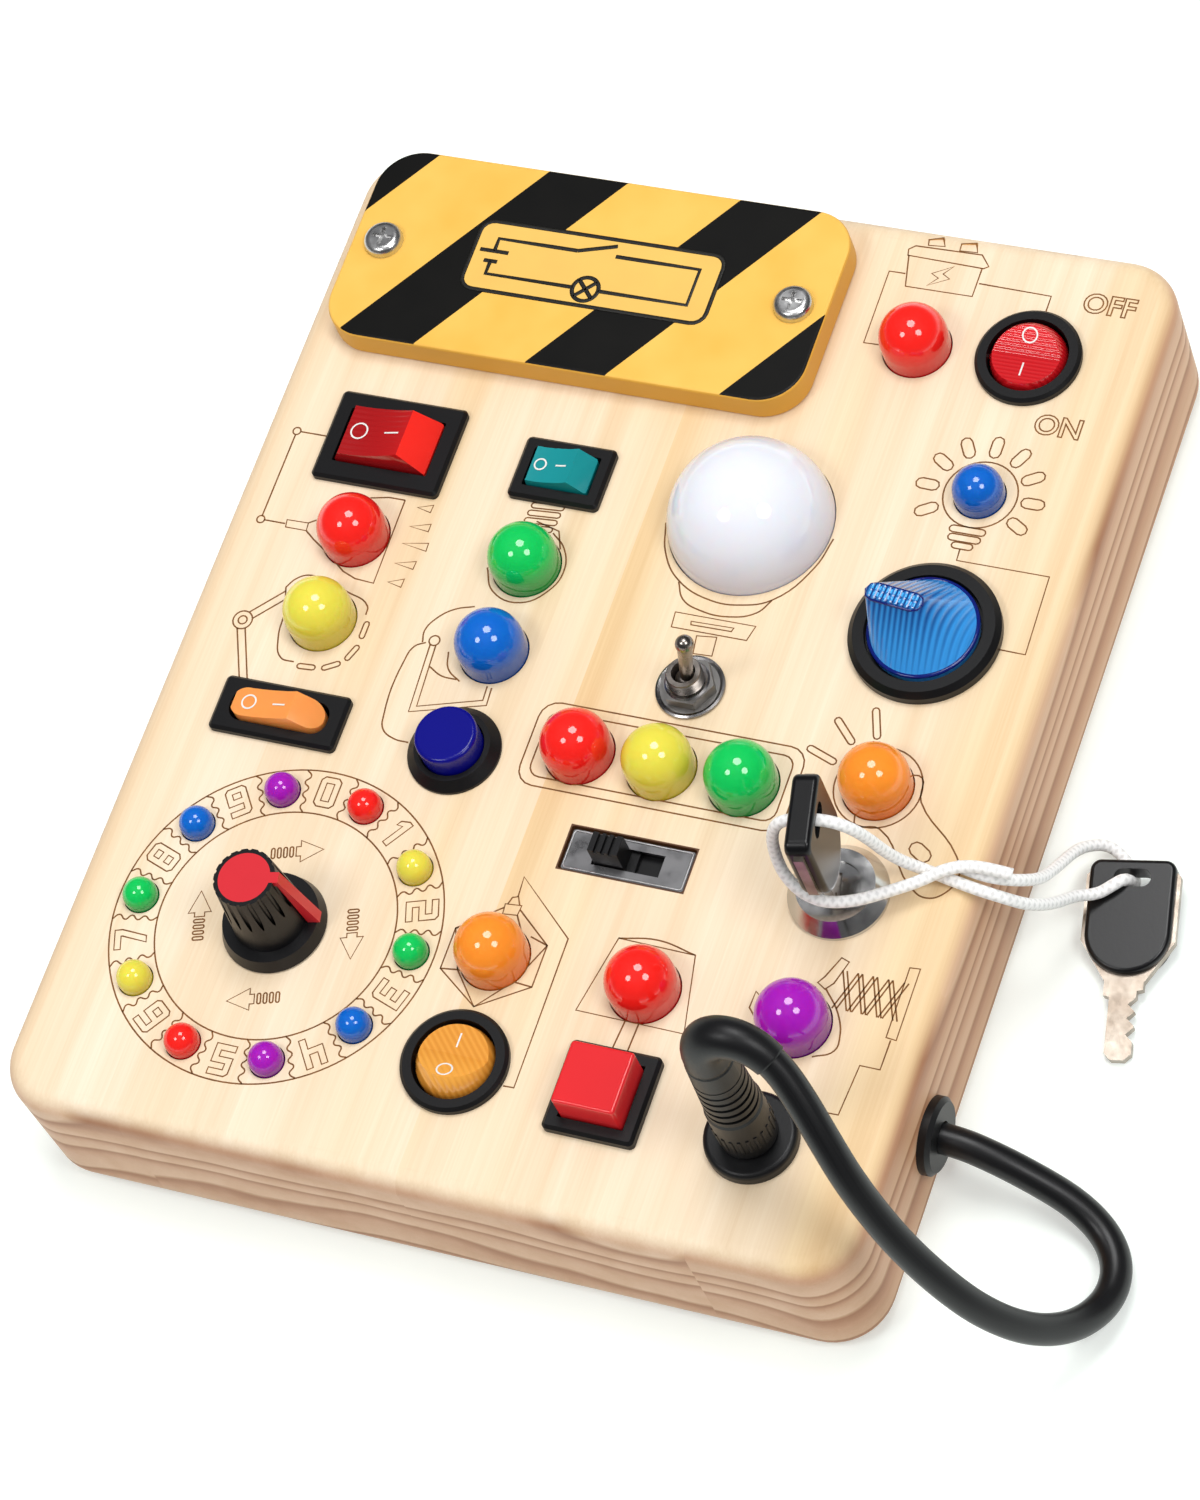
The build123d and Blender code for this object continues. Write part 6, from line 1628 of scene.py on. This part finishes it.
@dataclass
class Selector:
    """The blue turning selector in its wide black ring."""

    frame: dict
    centre: Point2 = (66.8, 22.7)
    foot_height: float = 38.1
    foot_radius: float = 11.8
    shoulder_radius: float = 11.2
    shoulder_height: float = 40.2
    rim: float = 0.5
    crest_height: float = 50.3
    crest_length: float = 13.0
    crest_width: float = 4.2
    crest_set_out: float = 4.3
    angle: float = 174.0
    beads: int = 13
    bead_margin: float = 1.5
    bead_lift: float = 0.45
    bead_span: Point2 = (0.3, 1.2)

    def build(self) -> None:
        """Finish the ring and make the ribbed clear knob."""
        ring_finish = MouldedPlastic("nylon_black_satin_ring", "#0E0E10", 0.34, 0.4, 0.012, shine=0.3)
        finish_nodes(self.frame, ring_finish, "selector_housing")
        clear = ClearPlastic(
            "polycarbonate_clear_blue", "#08327E", "#3A9EEE", 52.0, 37.5, 0.2, 1.25, self.angle, 0.6
        )
        knob = dress(self.knob(), clear, "selector", "blue_plastic")
        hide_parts("selector_knob")
        # The dark blue beads on the crest and foot edges are painted shade.
        edge = MouldedPlastic("polycarbonate_blue_thick_edge", "#061A6E", 0.08, 0.8, 0.004)
        dress(self.edges(), edge, "selector", "blue_plastic")
        # The crest's bars are a pale blue that is painted light through the clear crest.
        bright = MouldedPlastic("polycarbonate_blue_lit_beads", "#4AB4F8", 0.08, 0.8, 0.004)
        dress(self.crest_beads(), bright, "selector", "blue_plastic")

    def frame_place(self, height: float) -> Matrix:
        """A place on the knob's axis with its X along the crest."""
        return turned_place(*self.centre, height, self.angle)

    def knob(self) -> Piece:
        """A round foot whose wall leans together into a long crest.

        Returns:
            The knob in its place.
        """
        deselect()
        bpy.ops.mesh.primitive_circle_add(vertices=96, radius=self.foot_radius * MM, fill_type="NGON")
        made = named(bpy.context.object, "selector_lens")
        shrink = self.shoulder_radius / self.foot_radius
        small = self.crest_width / 2 / self.shoulder_radius
        rise = self.shoulder_height - self.foot_height
        edit(made)
        pull((0, 0, rise - self.rim))
        pull((0, 0, self.rim))
        bpy.ops.transform.resize(value=(shrink, shrink, 1), center_override=(0, 0, 0))
        climb = self.crest_height - self.shoulder_height
        pull((0, 0, climb))
        bpy.ops.transform.resize(value=(small, small, 1), center_override=(0, 0, 0))
        self.stretch(made, (rise + climb) * MM)
        bpy.ops.transform.translate(value=(self.crest_set_out * MM, 0, 0))
        pull((0, 0, self.rim))
        middle = (self.crest_set_out * MM, 0, 0)
        bpy.ops.transform.resize(value=(0.95, 0.8, 1), center_override=middle)
        return settle(close(made, 40), self.frame_place(self.foot_height))

    def stretch(self, made: Piece, height: float) -> None:
        """Pull the two halves of the crest apart to its full length.

        Args:
            made: The knob, in edit mode.
            height: The height of the crest, in metres.
        """
        half = (self.crest_length - self.crest_width) / 2 * MM
        for sign in (1, -1):
            bpy.ops.object.mode_set(mode="OBJECT")
            for vertex in made.data.vertices:
                at_top = abs(vertex.co.z - height) < 0.01 * MM
                vertex.select = at_top and sign * vertex.co.x > 0.01 * MM
            for part in (*made.data.edges, *made.data.polygons):
                part.select = False
            bpy.ops.object.mode_set(mode="EDIT")
            bpy.ops.mesh.select_mode(type="VERT")
            bpy.ops.transform.translate(value=(sign * half, 0, 0))
        bpy.ops.object.mode_set(mode="OBJECT")
        for vertex in made.data.vertices:
            vertex.select = abs(vertex.co.z - height) < 0.01 * MM
        bpy.ops.object.mode_set(mode="EDIT")
        bpy.ops.mesh.select_mode(type="VERT")
        bpy.ops.mesh.select_mode(type="FACE")

    def edges(self) -> Piece:
        """Dark blue beads on the edges of the crest and of the foot, painted shade.

        Returns:
            Both edges as one object.
        """
        crest = slot_stroke(self.crest_set_out, 0.0, self.crest_length - 0.4, self.crest_width - 0.4, 0.0)
        foot = ring(0, 0, self.foot_radius - 0.3, 72)
        high, low = self.frame_place(self.crest_height), self.frame_place(self.shoulder_height - 0.4)
        pieces = [
            LineWork("crest_edge", (crest,), 0.8, 0.8, high).build(),
            LineWork("foot_edge", (foot,), 1.0, 1.0, low).build(),
        ]
        return join(pieces, "selector_edges")

    def crest_beads(self) -> Piece:
        """Two rows of short cross bars on the crest.

        Returns:
            All the bars as one object.
        """
        row = self.crest_length - 2 * self.bead_margin
        near, far = self.bead_span
        strokes = []
        for number in range(self.beads):
            x = self.crest_set_out - row / 2 + number * row / (self.beads - 1)
            for low, high in ((near, far), (-far, -near)):
                strokes.append(line(x, low, x, high))
        place = self.frame_place(self.crest_height + self.bead_lift)
        return LineWork("selector_beads", tuple(strokes), 0.5, 0.9, place).build()


@dataclass
class Toggle:
    """The metal toggle switch with its washer, nut and threaded bush."""

    frame: dict
    centre: Point2 = (21.6, 1.0)
    bush_radius: float = 3.6
    thread_pitch: float = 0.8
    thread_depth: float = 0.34
    thread_start: float = 40.0
    thread_sink: float = 0.25
    washer_outline: tuple[Point2, ...] = (
        (6.3, 37.25), (7.0, 37.5), (7.45, 37.3), (7.5, 36.9), (7.3, 36.55), (6.3, 36.9),
    )
    collar_outline: tuple[Point2, ...] = (
        (3.7, 39.8), (3.9, 40.15), (4.5, 40.2), (4.95, 39.85), (4.9, 39.7), (3.7, 39.7),
    )

    def build(self) -> None:
        """Finish the switch and cut its thread and lock washer."""
        nickel = PlatedMetal("brass_nickel_plated_warm", "#A8A099", 0.3)
        finish_nodes(self.frame, nickel, "toggle_body", "toggle_lever")
        dress(self.thread(), nickel, "board", "nickel")
        washer = PlatedMetal("spring_steel_nickel_plated_grey", "#9C9A9A", 0.28)
        dress(self.washer(), washer, "board", "nickel")

    def thread(self) -> Piece:
        """The crests of the bush's thread above the nut.

        Returns:
            The crests as one object.
        """
        crests = []
        for number in range(4):
            low = self.thread_start + number * self.thread_pitch
            outline = (
                (self.bush_radius - self.thread_sink, low),
                (self.bush_radius + self.thread_depth, low + self.thread_pitch / 2),
                (self.bush_radius - self.thread_sink, low + self.thread_pitch),
            )
            crests.append(turned(f"crest_{number}", outline, (*self.centre, 0.0), 40))
        return join(crests, "toggle_thread")

    def washer(self) -> Piece:
        """The rolled rim of the washer and the raised collar on the nut.

        Returns:
            Both rings as one object.
        """
        axis = (*self.centre, 0.0)
        rim = turned("washer_rim", self.washer_outline, axis, 72)
        collar = turned("nut_collar", self.collar_outline, axis, 48)
        return join([rim, collar], "toggle_washer")


@dataclass
class SlideSwitch:
    """The flat slide switch sunk in its cut-out."""

    frame: dict
    centre: Point2 = (21.4, -39.6)
    half: Point2 = (13.3, 4.3)
    rim_height: float = 35.85
    rim_width: float = 0.4
    corner: float = 0.7

    def build(self) -> None:
        """Finish the plate, the body and the knob, and roll the plate's rim."""
        plate = PlatedMetal("steel_sheet_dark_nickel", "#8E8E90", 0.34)
        finish_nodes(self.frame, plate, "slide_switch_frame")
        black = MouldedPlastic("nylon_black_moulded", "#0E0E10", 0.42, shine=0.3)
        finish_nodes(self.frame, black, "slide_switch_body", "slide_switch_knob")
        outline = rounded(0.0, 0.0, *self.half, self.corner)
        place = turned_place(*self.centre, self.rim_height)
        rim = LineWork("slide_plate_rim", (outline,), self.rim_width, 1.0, place)
        # The rim bead is the plate's rolled edge; its paler metal colour is painted highlight.
        dress(rim.build(), PlatedMetal("steel_sheet_bright_edge", "#DADADC", 0.4), "board", "nickel")


@dataclass
class Buttons:
    """The round blue and the square red push buttons."""

    frame: dict

    def build(self) -> None:
        """Finish both buttons."""
        black = MouldedPlastic("nylon_black_fine_grain", "#0F0F11", 0.42, shine=0.3)
        finish_nodes(self.frame, black, "push_button_barrel", "square_button_housing")
        blue = MouldedPlastic("abs_royal_blue_gloss", "#050680", 0.22, 0.8, 0.006, shine=0.35)
        finish_nodes(self.frame, blue, "push_button_cap")
        red = MouldedPlastic("abs_signal_red_gloss", "#DE242A", 0.2, 0.8, 0.006, 0.94)
        finish_nodes(self.frame, red, "square_button_cap")


@dataclass
class Dial:
    """The fluted dial knob with its red cap."""

    frame: dict

    def build(self) -> None:
        """Finish the knob."""
        black = MouldedPlastic("phenolic_black_moulded", "#121214", 0.36, shine=0.35)
        finish_nodes(self.frame, black, "dial_knob")
        finish_nodes(self.frame, MouldedPlastic("abs_red_satin", "#D42430", 0.3, 0.6, 0.01), "dial_knob_cap")


@dataclass
class KeyLock:
    """The chrome cam lock and its two keys."""

    frame: dict

    def build(self) -> None:
        """Finish the lock and the keys."""
        chrome = PlatedMetal("zinc_die_cast_chrome_plated", "#D8D8D8", 0.17, 0.4, 0.003)
        finish_nodes(self.frame, chrome, "lock_barrel", "lock_core")
        finish_nodes(self.frame, StampedMetal("brass_sheet_nickel_stamped"), "key_blade", "spare_key_blade")
        head = MouldedPlastic("pvc_black_key_head", "#0E0E10", 0.28, 0.6, 0.01, shine=0.35)
        finish_nodes(self.frame, head, "key_head", "spare_key_head")


# ---------------------------------------------------------------- leads
@dataclass(frozen=True)
class Route:
    """The line of a lead, in millimetres."""

    points: tuple[Point3, ...]

    def line(self) -> list[Vector]:
        """Points along the smooth spline of this route, in metres.

        Returns:
            The points, none closer to the last than 0.05 mm.
        """
        data = bpy.data.curves.new("route", "CURVE")
        data.dimensions = "3D"
        spline = data.splines.new("NURBS")
        spline.points.add(len(self.points) - 1)
        for place, point in zip(self.points, spline.points):
            point.co = (*(Vector(place) * MM), 1.0)
        spline.order_u = 3
        spline.use_endpoint_u = True
        spline.resolution_u = 12
        data.resolution_u = 12
        holder = bpy.data.objects.new("route", data)
        bpy.context.scene.collection.objects.link(holder)
        bpy.context.view_layer.update()
        graph = bpy.context.evaluated_depsgraph_get()
        mesh = bpy.data.meshes.new_from_object(holder.evaluated_get(graph))
        found = [vertex.co.copy() for vertex in mesh.vertices]
        bpy.data.objects.remove(holder)
        bpy.data.curves.remove(data)
        bpy.data.meshes.remove(mesh)
        kept = [found[0]]
        for point in found[1:]:
            if (point - kept[-1]).length > 0.05 * MM:
                kept.append(point)
        return kept


@dataclass(frozen=True)
class Tube:
    """A round tube along a line, with a map whose u runs along it in metres and v once round."""

    name: str
    diameter: float
    sides: int = 20
    far_diameter: float = 0.0

    def build(self, path: Sequence[Vector]) -> Piece:
        """Sweep a ring along the line, turning it no more than the line turns.

        Args:
            path: The centre line, in metres.

        Returns:
            The closed tube.
        """
        near, far = self.diameter / 2 * MM, (self.far_diameter or self.diameter) / 2 * MM
        mesh = bpy.data.meshes.new(self.name)
        skin = bmesh.new()
        layer = skin.loops.layers.uv.new("length_round")
        last = len(path) - 1
        tangents = [
            (path[min(place + 1, last)] - path[max(place - 1, 0)]).normalized() for place in range(last + 1)
        ]
        side = tangents[0].orthogonal().normalized()
        rings = []
        run = [0.0]
        for place, (point, tangent) in enumerate(zip(path, tangents)):
            side = (side - tangent * side.dot(tangent)).normalized()
            other = tangent.cross(side)
            radius = near + (far - near) * place / last
            rings.append(
                [
                    skin.verts.new(
                        point
                        + side * math.cos(math.tau * step / self.sides) * radius
                        + other * math.sin(math.tau * step / self.sides) * radius
                    )
                    for step in range(self.sides)
                ]
            )
            if place:
                run.append(run[-1] + (point - path[place - 1]).length)
        for place, (low, high) in enumerate(zip(rings, rings[1:])):
            for step in range(self.sides):
                after = (step + 1) % self.sides
                face = skin.faces.new((low[step], low[after], high[after], high[step]))
                face.smooth = True
                corners = (
                    (run[place], step), (run[place], step + 1), (run[place + 1], step + 1),
                    (run[place + 1], step),
                )
                for corner, (along, turn) in zip(face.loops, corners):
                    corner[layer].uv = (along, turn / self.sides)
        skin.faces.new(list(reversed(rings[0])))
        skin.faces.new(rings[-1])
        skin.to_mesh(mesh)
        skin.free()
        made = bpy.data.objects.new(self.name, mesh)
        bpy.context.scene.collection.objects.link(made)
        return made


def declare(
    cord: Piece, path: Sequence[Vector], diameter: float, pieces: Sequence[Piece], **nature: str
) -> None:
    """Measure a cord's length along its line and log the cord's name.

    Args:
        cord: The cord's mesh.
        path: Its centre line, in metres.
        diameter: Not used.
        pieces: Not used.
        nature: Not used.
    """
    length = sum((after - before).length for before, after in zip(path, path[1:]))
    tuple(path[0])
    LOG.info("made %s", cord.name)


@dataclass
class PlugLead:
    """The short power lead from the board's side to its plug."""

    frame: dict
    diameter: float = 6.5
    boot_root: float = 9.7
    boot_end: float = 7.2
    boot_length: float = 25.0
    plug_foot: Point3 = (67.4, -93.6, 39.8)
    grip_radius: float = 5.95
    grip_ribs: int = 22
    grip_span: Point2 = (3.4, 8.2)
    bend_start: Point3 = (0.115, -0.115, 0.04)
    bend_end: Point3 = (0.075, -0.093, 0.085)
    route: Route = Route(
        (
            (91, -76.5, 15.5), (100, -76.5, 15.5), (109.5, -77.7, 13.3), (118.7, -79.2, 9.6),
            (125.4, -80.9, 7), (131.2, -83.9, 5), (135.4, -88.2, 4.2), (137.4, -93.4, 4.1),
            (137.2, -99.3, 5.2), (134.9, -105.4, 8.5), (131.6, -110.5, 14.2), (127, -114.3, 22),
            (120.9, -115.9, 31), (114.5, -115.2, 40), (107.9, -113.2, 49), (102.3, -110.3, 57),
            (97.6, -107.1, 64), (92.9, -102.8, 70.5), (88.4, -98.6, 75.7), (84.2, -95.3, 79.8),
            (80.2, -93.6, 83), (76.3, -93, 84.8), (72.4, -93, 84.8), (69.2, -93.3, 82.9),
            (67.4, -93.6, 79.5), (67.4, -93.6, 75.5),
        )
    )

    def build(self) -> None:
        rubber = MouldedPlastic("pvc_black_moulded_soft", "#111113", 0.4, 0.5, 0.015, shine=0.35)
        finish_nodes(self.frame, rubber, "plug_socket", "plug_body", "cable_grommet")
        path = self.route.line()
        boot = self.boot(path)
        dress(boot, rubber, "plug", "cable_rubber")
        dress(self.grip(), rubber, "plug", "cable_rubber")
        lead = Tube("power_lead", self.diameter, 28).build(path)
        lead.data.materials.append(ExtrudedSheath("pvc_black_extruded").material())
        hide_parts("plug_cable")
        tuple(self.bend_start)
        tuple(self.bend_end)
        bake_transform(lead)
        pieces = [self.frame["nodes"][name] for name in ("plug_body", "plug_pin", "cable_grommet")] + [boot]
        declare(lead, path, self.diameter, pieces, far_end="plug", stiffness="stiff", lay="loose")

    def boot(self, path: Sequence[Vector]) -> Piece:
        """The tapered sleeve that bends with the lead as it leaves the plug's top.

        Args:
            path: The lead's centre line, in metres.

        Returns:
            The sleeve.
        """
        covered = [path[-1] - Vector((0, 0, 3.0 * MM)), *reversed(path)]
        run = 0.0
        for number, (before, after) in enumerate(zip(covered, covered[1:])):
            run += (after - before).length
            if run > self.boot_length * MM:
                return Tube("plug_boot", self.boot_root, 32, self.boot_end).build(covered[: number + 2])
        return Tube("plug_boot", self.boot_root, 32, self.boot_end).build(covered)

    def grip(self) -> Piece:
        """The short upright ribs round the foot of the plug.

        Returns:
            All the ribs as one object.
        """
        ribs = []
        x, y, z = self.plug_foot
        low, high = self.grip_span
        upright = Matrix.Rotation(math.radians(90), 4, "X")
        for number in range(self.grip_ribs):
            angle = Matrix.Rotation(math.tau * number / self.grip_ribs, 4, "Z")
            out = Matrix.Translation((0, -self.grip_radius * MM, 0)) @ upright
            place = Matrix.Translation((x * MM, y * MM, z * MM)) @ angle @ out
            ribs.append(LineWork(f"rib_{number}", (line(0, low, 0, high),), 0.9, 0.7, place).build())
        return join(ribs, "plug_grip")


@dataclass
class KeyCord:
    """The white braided cord that ties the spare key to the one in the lock."""

    frame: dict
    diameter: float = 2.5
    bend_start: Point3 = (0.098, -0.029, 0.038)
    bend_end: Point3 = (0.074, -0.037, 0.055)
    route: Route = Route(
        (
            (102, -28, 39.8), (97.3, -28.2, 41.1), (92.6, -28.8, 41.5), (88.6, -30.7, 41.7),
            (84.4, -33.9, 41), (79.6, -37.6, 42), (74.2, -41.6, 43.2), (68.6, -44.1, 44.6),
            (64, -44.2, 47), (60.5, -42.7, 50.6), (58.9, -40.7, 55), (59.1, -39.6, 61), (60.9, -39, 66),
            (64.2, -38.5, 68.6), (70.8, -37.3, 68.7), (74.8, -36.4, 66), (77.1, -34.7, 59),
            (78.7, -33, 49.8), (80.8, -31.4, 43.2), (84, -30.3, 39.2), (88.8, -30.9, 38.2),
            (94.8, -31.8, 38), (100.2, -31.3, 35.2), (103.8, -28.6, 28), (105.6, -23.2, 19.2),
            (106.8, -17.6, 12.4), (110.4, -14.8, 9.1), (113, -12.3, 9.5), (114.6, -10.2, 9),
            (115.4, -9, 6), (115.5, -8.4, 2.6), (114.4, -5.8, 1.4), (111.3, -2.2, 1.8),
            (107.4, -0.6, 3.2), (104.1, -3.1, 6.2), (102.9, -7.1, 10.2), (102.8, -13.3, 16),
            (102.9, -20.5, 24), (102, -25.4, 32.2), (98.6, -28.4, 37.2), (94, -28.6, 38.3),
            (89.8, -27.7, 38.25),
        )
    )

    def build(self) -> None:
        path = self.route.line()
        cord = Tube("key_loop", self.diameter, 16).build(path)
        cord.data.materials.append(Braid("polyester_white_braided").material())
        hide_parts("key_cord")
        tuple(self.bend_start)
        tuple(self.bend_end)
        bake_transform(cord)
        pieces = [self.frame["nodes"][name] for name in ("spare_key_head", "spare_key_blade")]
        declare(cord, path, self.diameter, pieces, far_end="knot", stiffness="limp", lay="loose")


# ---------------------------------------------------------------- studio
@dataclass(frozen=True)
class Studio:
    """Camera, lights and floor."""

    eye: Point3 = (416.453, -452.186, 978.162)
    right: Point3 = (0.91349057, 0.32275383, -0.24771948)
    down: Point3 = (0.17579053, -0.86219127, -0.4751041)
    forward: Point3 = (-0.36692324, 0.39045638, -0.84434066)
    lens: float = 129.352
    softboxes: tuple[tuple[Point3, float, float], ...] = (
        ((-0.13, -0.67, -0.73), 0.62, 8.8), ((-0.605, -0.13, -0.786), 0.42, 4.4),
        ((0.256, -0.217, -0.94), 0.5, 5.9),
    )
    lamp_distance: float = 1.5
    world_light: float = 0.55
    floor_width: float = 8.0

    def build(self) -> None:
        """Make the camera, three soft lamps, the world and the floor."""
        bpy.context.scene.view_settings.view_transform = "Standard"
        self.camera()
        self.lamps()
        self.floor()

    def camera(self) -> None:
        """The camera, turned by its own axes."""
        data = bpy.data.cameras.new("camera")
        data.lens = self.lens
        data.clip_end = 20.0
        made = bpy.data.objects.new("camera", data)
        bpy.context.scene.collection.objects.link(made)
        across, up, back = Vector(self.right), -Vector(self.down), -Vector(self.forward)
        turn = Matrix((across, up, back)).transposed().to_4x4()
        made.matrix_world = Matrix.Translation(Vector(self.eye) * MM) @ turn
        bpy.context.scene.camera = made

    def direction(self, right: float, down: float, forward: float) -> Vector:
        """A direction given along the camera's own axes."""
        across, along = Vector(self.right) * right, Vector(self.forward) * forward
        return (across + Vector(self.down) * down + along).normalized()

    def lamps(self) -> None:
        """Three round soft lamps and an even pale world."""
        for number, (axes, size, power) in enumerate(self.softboxes):
            data = bpy.data.lights.new(f"softbox_{number}", "AREA")
            data.shape = "DISK"
            data.size = size
            data.energy = power
            made = bpy.data.objects.new(data.name, data)
            bpy.context.scene.collection.objects.link(made)
            away = self.direction(*axes)
            made.location = away * self.lamp_distance
            made.rotation_mode = "QUATERNION"
            made.rotation_quaternion = away.to_track_quat("Z", "Y")
        world = bpy.data.worlds.new("studio_world")
        world.use_nodes = True
        tree = world.node_tree
        tree.nodes.clear()
        node = partial(add_node, tree)
        up = node("SeparateXYZ", {0: node("TexCoord", out="Generated")}, out="Z")
        room = node(
            "ValToRGB", {0: up},
            ((0.0, "#FFFFFF"), (0.12, "#8E8E90"), (0.35, "#5A5B5E"), (0.7, "#77787B"), (1.0, "#C4C5C8")),
        )
        mirrored = node("LightPath", out="Is Glossy Ray")
        tone = node("Mix", {0: mirrored, 6: (1, 1, 1, 1), 7: room}, out=2, data_type="RGBA")
        end = tree.nodes.new("ShaderNodeOutputWorld")
        light = node("Background", {"Color": tone, "Strength": self.world_light})
        tree.links.new(light, end.inputs["Surface"])
        bpy.context.scene.world = world

    def floor(self) -> None:
        """A wide pale floor that shows white where no shadow falls."""
        deselect()
        bpy.ops.mesh.primitive_plane_add(size=self.floor_width)
        made = bpy.context.object
        made.name = "floor"
        made.data.materials.append(PaperWhite("white_paper").material())


def main() -> None:
    """Build the dressed board and the studio."""
    logging.basicConfig(level=logging.INFO, format="%(message)s")
    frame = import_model()
    PlugLead(frame).build()
    KeyCord(frame).build()
    WoodenBody(frame).build()
    PowerCover(frame).build()
    PowerPack(frame).build()
    Lamps(frame).build()
    teal = MouldedPlastic("abs_teal_gloss", "#138F94", 0.25, 0.8, 0.006)
    orange = MouldedPlastic("abs_orange_translucent", "#F59A4E", 0.25, 0.8, 0.006, 0.9, 0.2, 0.3)
    red = ClearPlastic("polycarbonate_clear_red", "#8E0C12", "#C81A1C", 38.0, 44.5, 0.1, 1.3, 90.0, 0.0)
    ribbed = ClearPlastic("polycarbonate_red_ribbed", "#B40E16", "#EC222A", 37.0, 43.0, 0.1, 0.9, 90.0, 0.22)
    amber = ClearPlastic("polycarbonate_clear_amber", "#D07818", "#F8AE4A", 36.0, 42.0, 0.12, 1.2, 45.0, 0.3)
    # The wide rocker's raised end is a brighter, glowing red: painted light.
    painted_lit_red = MouldedPlastic("polycarbonate_red_lit_end", "#F22A20", 0.16, 0.8, 0.004, glow=0.2)
    wide_cap = Cap(
        ((-9.4, 40.95), (-7.5, 40.9), (-5.0, 41.1), (-2.0, 41.6), (0.5, 42.2), (3.0, 42.95), (5.4, 43.9)),
        ((-10.8, 38.3), (10.8, 38.3)), 6.5, 0.5, "red_plastic", 0.82, painted_lit_end=painted_lit_red,
    )
    small_cap = Cap(
        ((-6.6, 40.0), (-4.5, 39.95), (-2.5, 40.2), (-0.5, 40.6), (1.5, 41.1), (3.5, 41.9)),
        ((-7.05, 38.2), (7.05, 38.2)), 4.35, 0.5, "teal_plastic",
    )
    slim_cap = Cap(
        ((-10.2, 40.1), (-7.0, 40.2), (-4.0, 40.6), (-1.0, 41.2), (2.0, 42.0), (4.5, 42.9)),
        ((-10.7, 38.4), (10.6, 38.4)), 3.4, 3.2, "orange_plastic",
    )
    for switch in (
        RockerSwitch(frame, "wide_rocker", (-63.9, 44.9), Reach.RIGHT, red, -6.3, 1.9, 1.9, cap=wide_cap),
        RockerSwitch(frame, "small_rocker", (-23.0, 44.9), Reach.RIGHT, teal, -4.5, 0.5, 1.3, cap=small_cap),
        RockerSwitch(frame, "slim_rocker", (-64.2, -22.9), Reach.RIGHT, orange, -6.5, 1.0, 1.6, cap=slim_cap),
        RockerSwitch(frame, "red_round_rocker", (68.1, 91.0), Reach.FAR, ribbed, 3.4, -4.0, 1.6),
        RockerSwitch(frame, "amber_round_rocker", (1.7, -91.2), Reach.NEAR, amber, 3.4, -4.0, 1.6),
    ):
        switch.build()
    Selector(frame).build()
    Toggle(frame).build()
    SlideSwitch(frame).build()
    Buttons(frame).build()
    Dial(frame).build()
    KeyLock(frame).build()
    Studio().build()


if __name__ == "__main__":
    main()
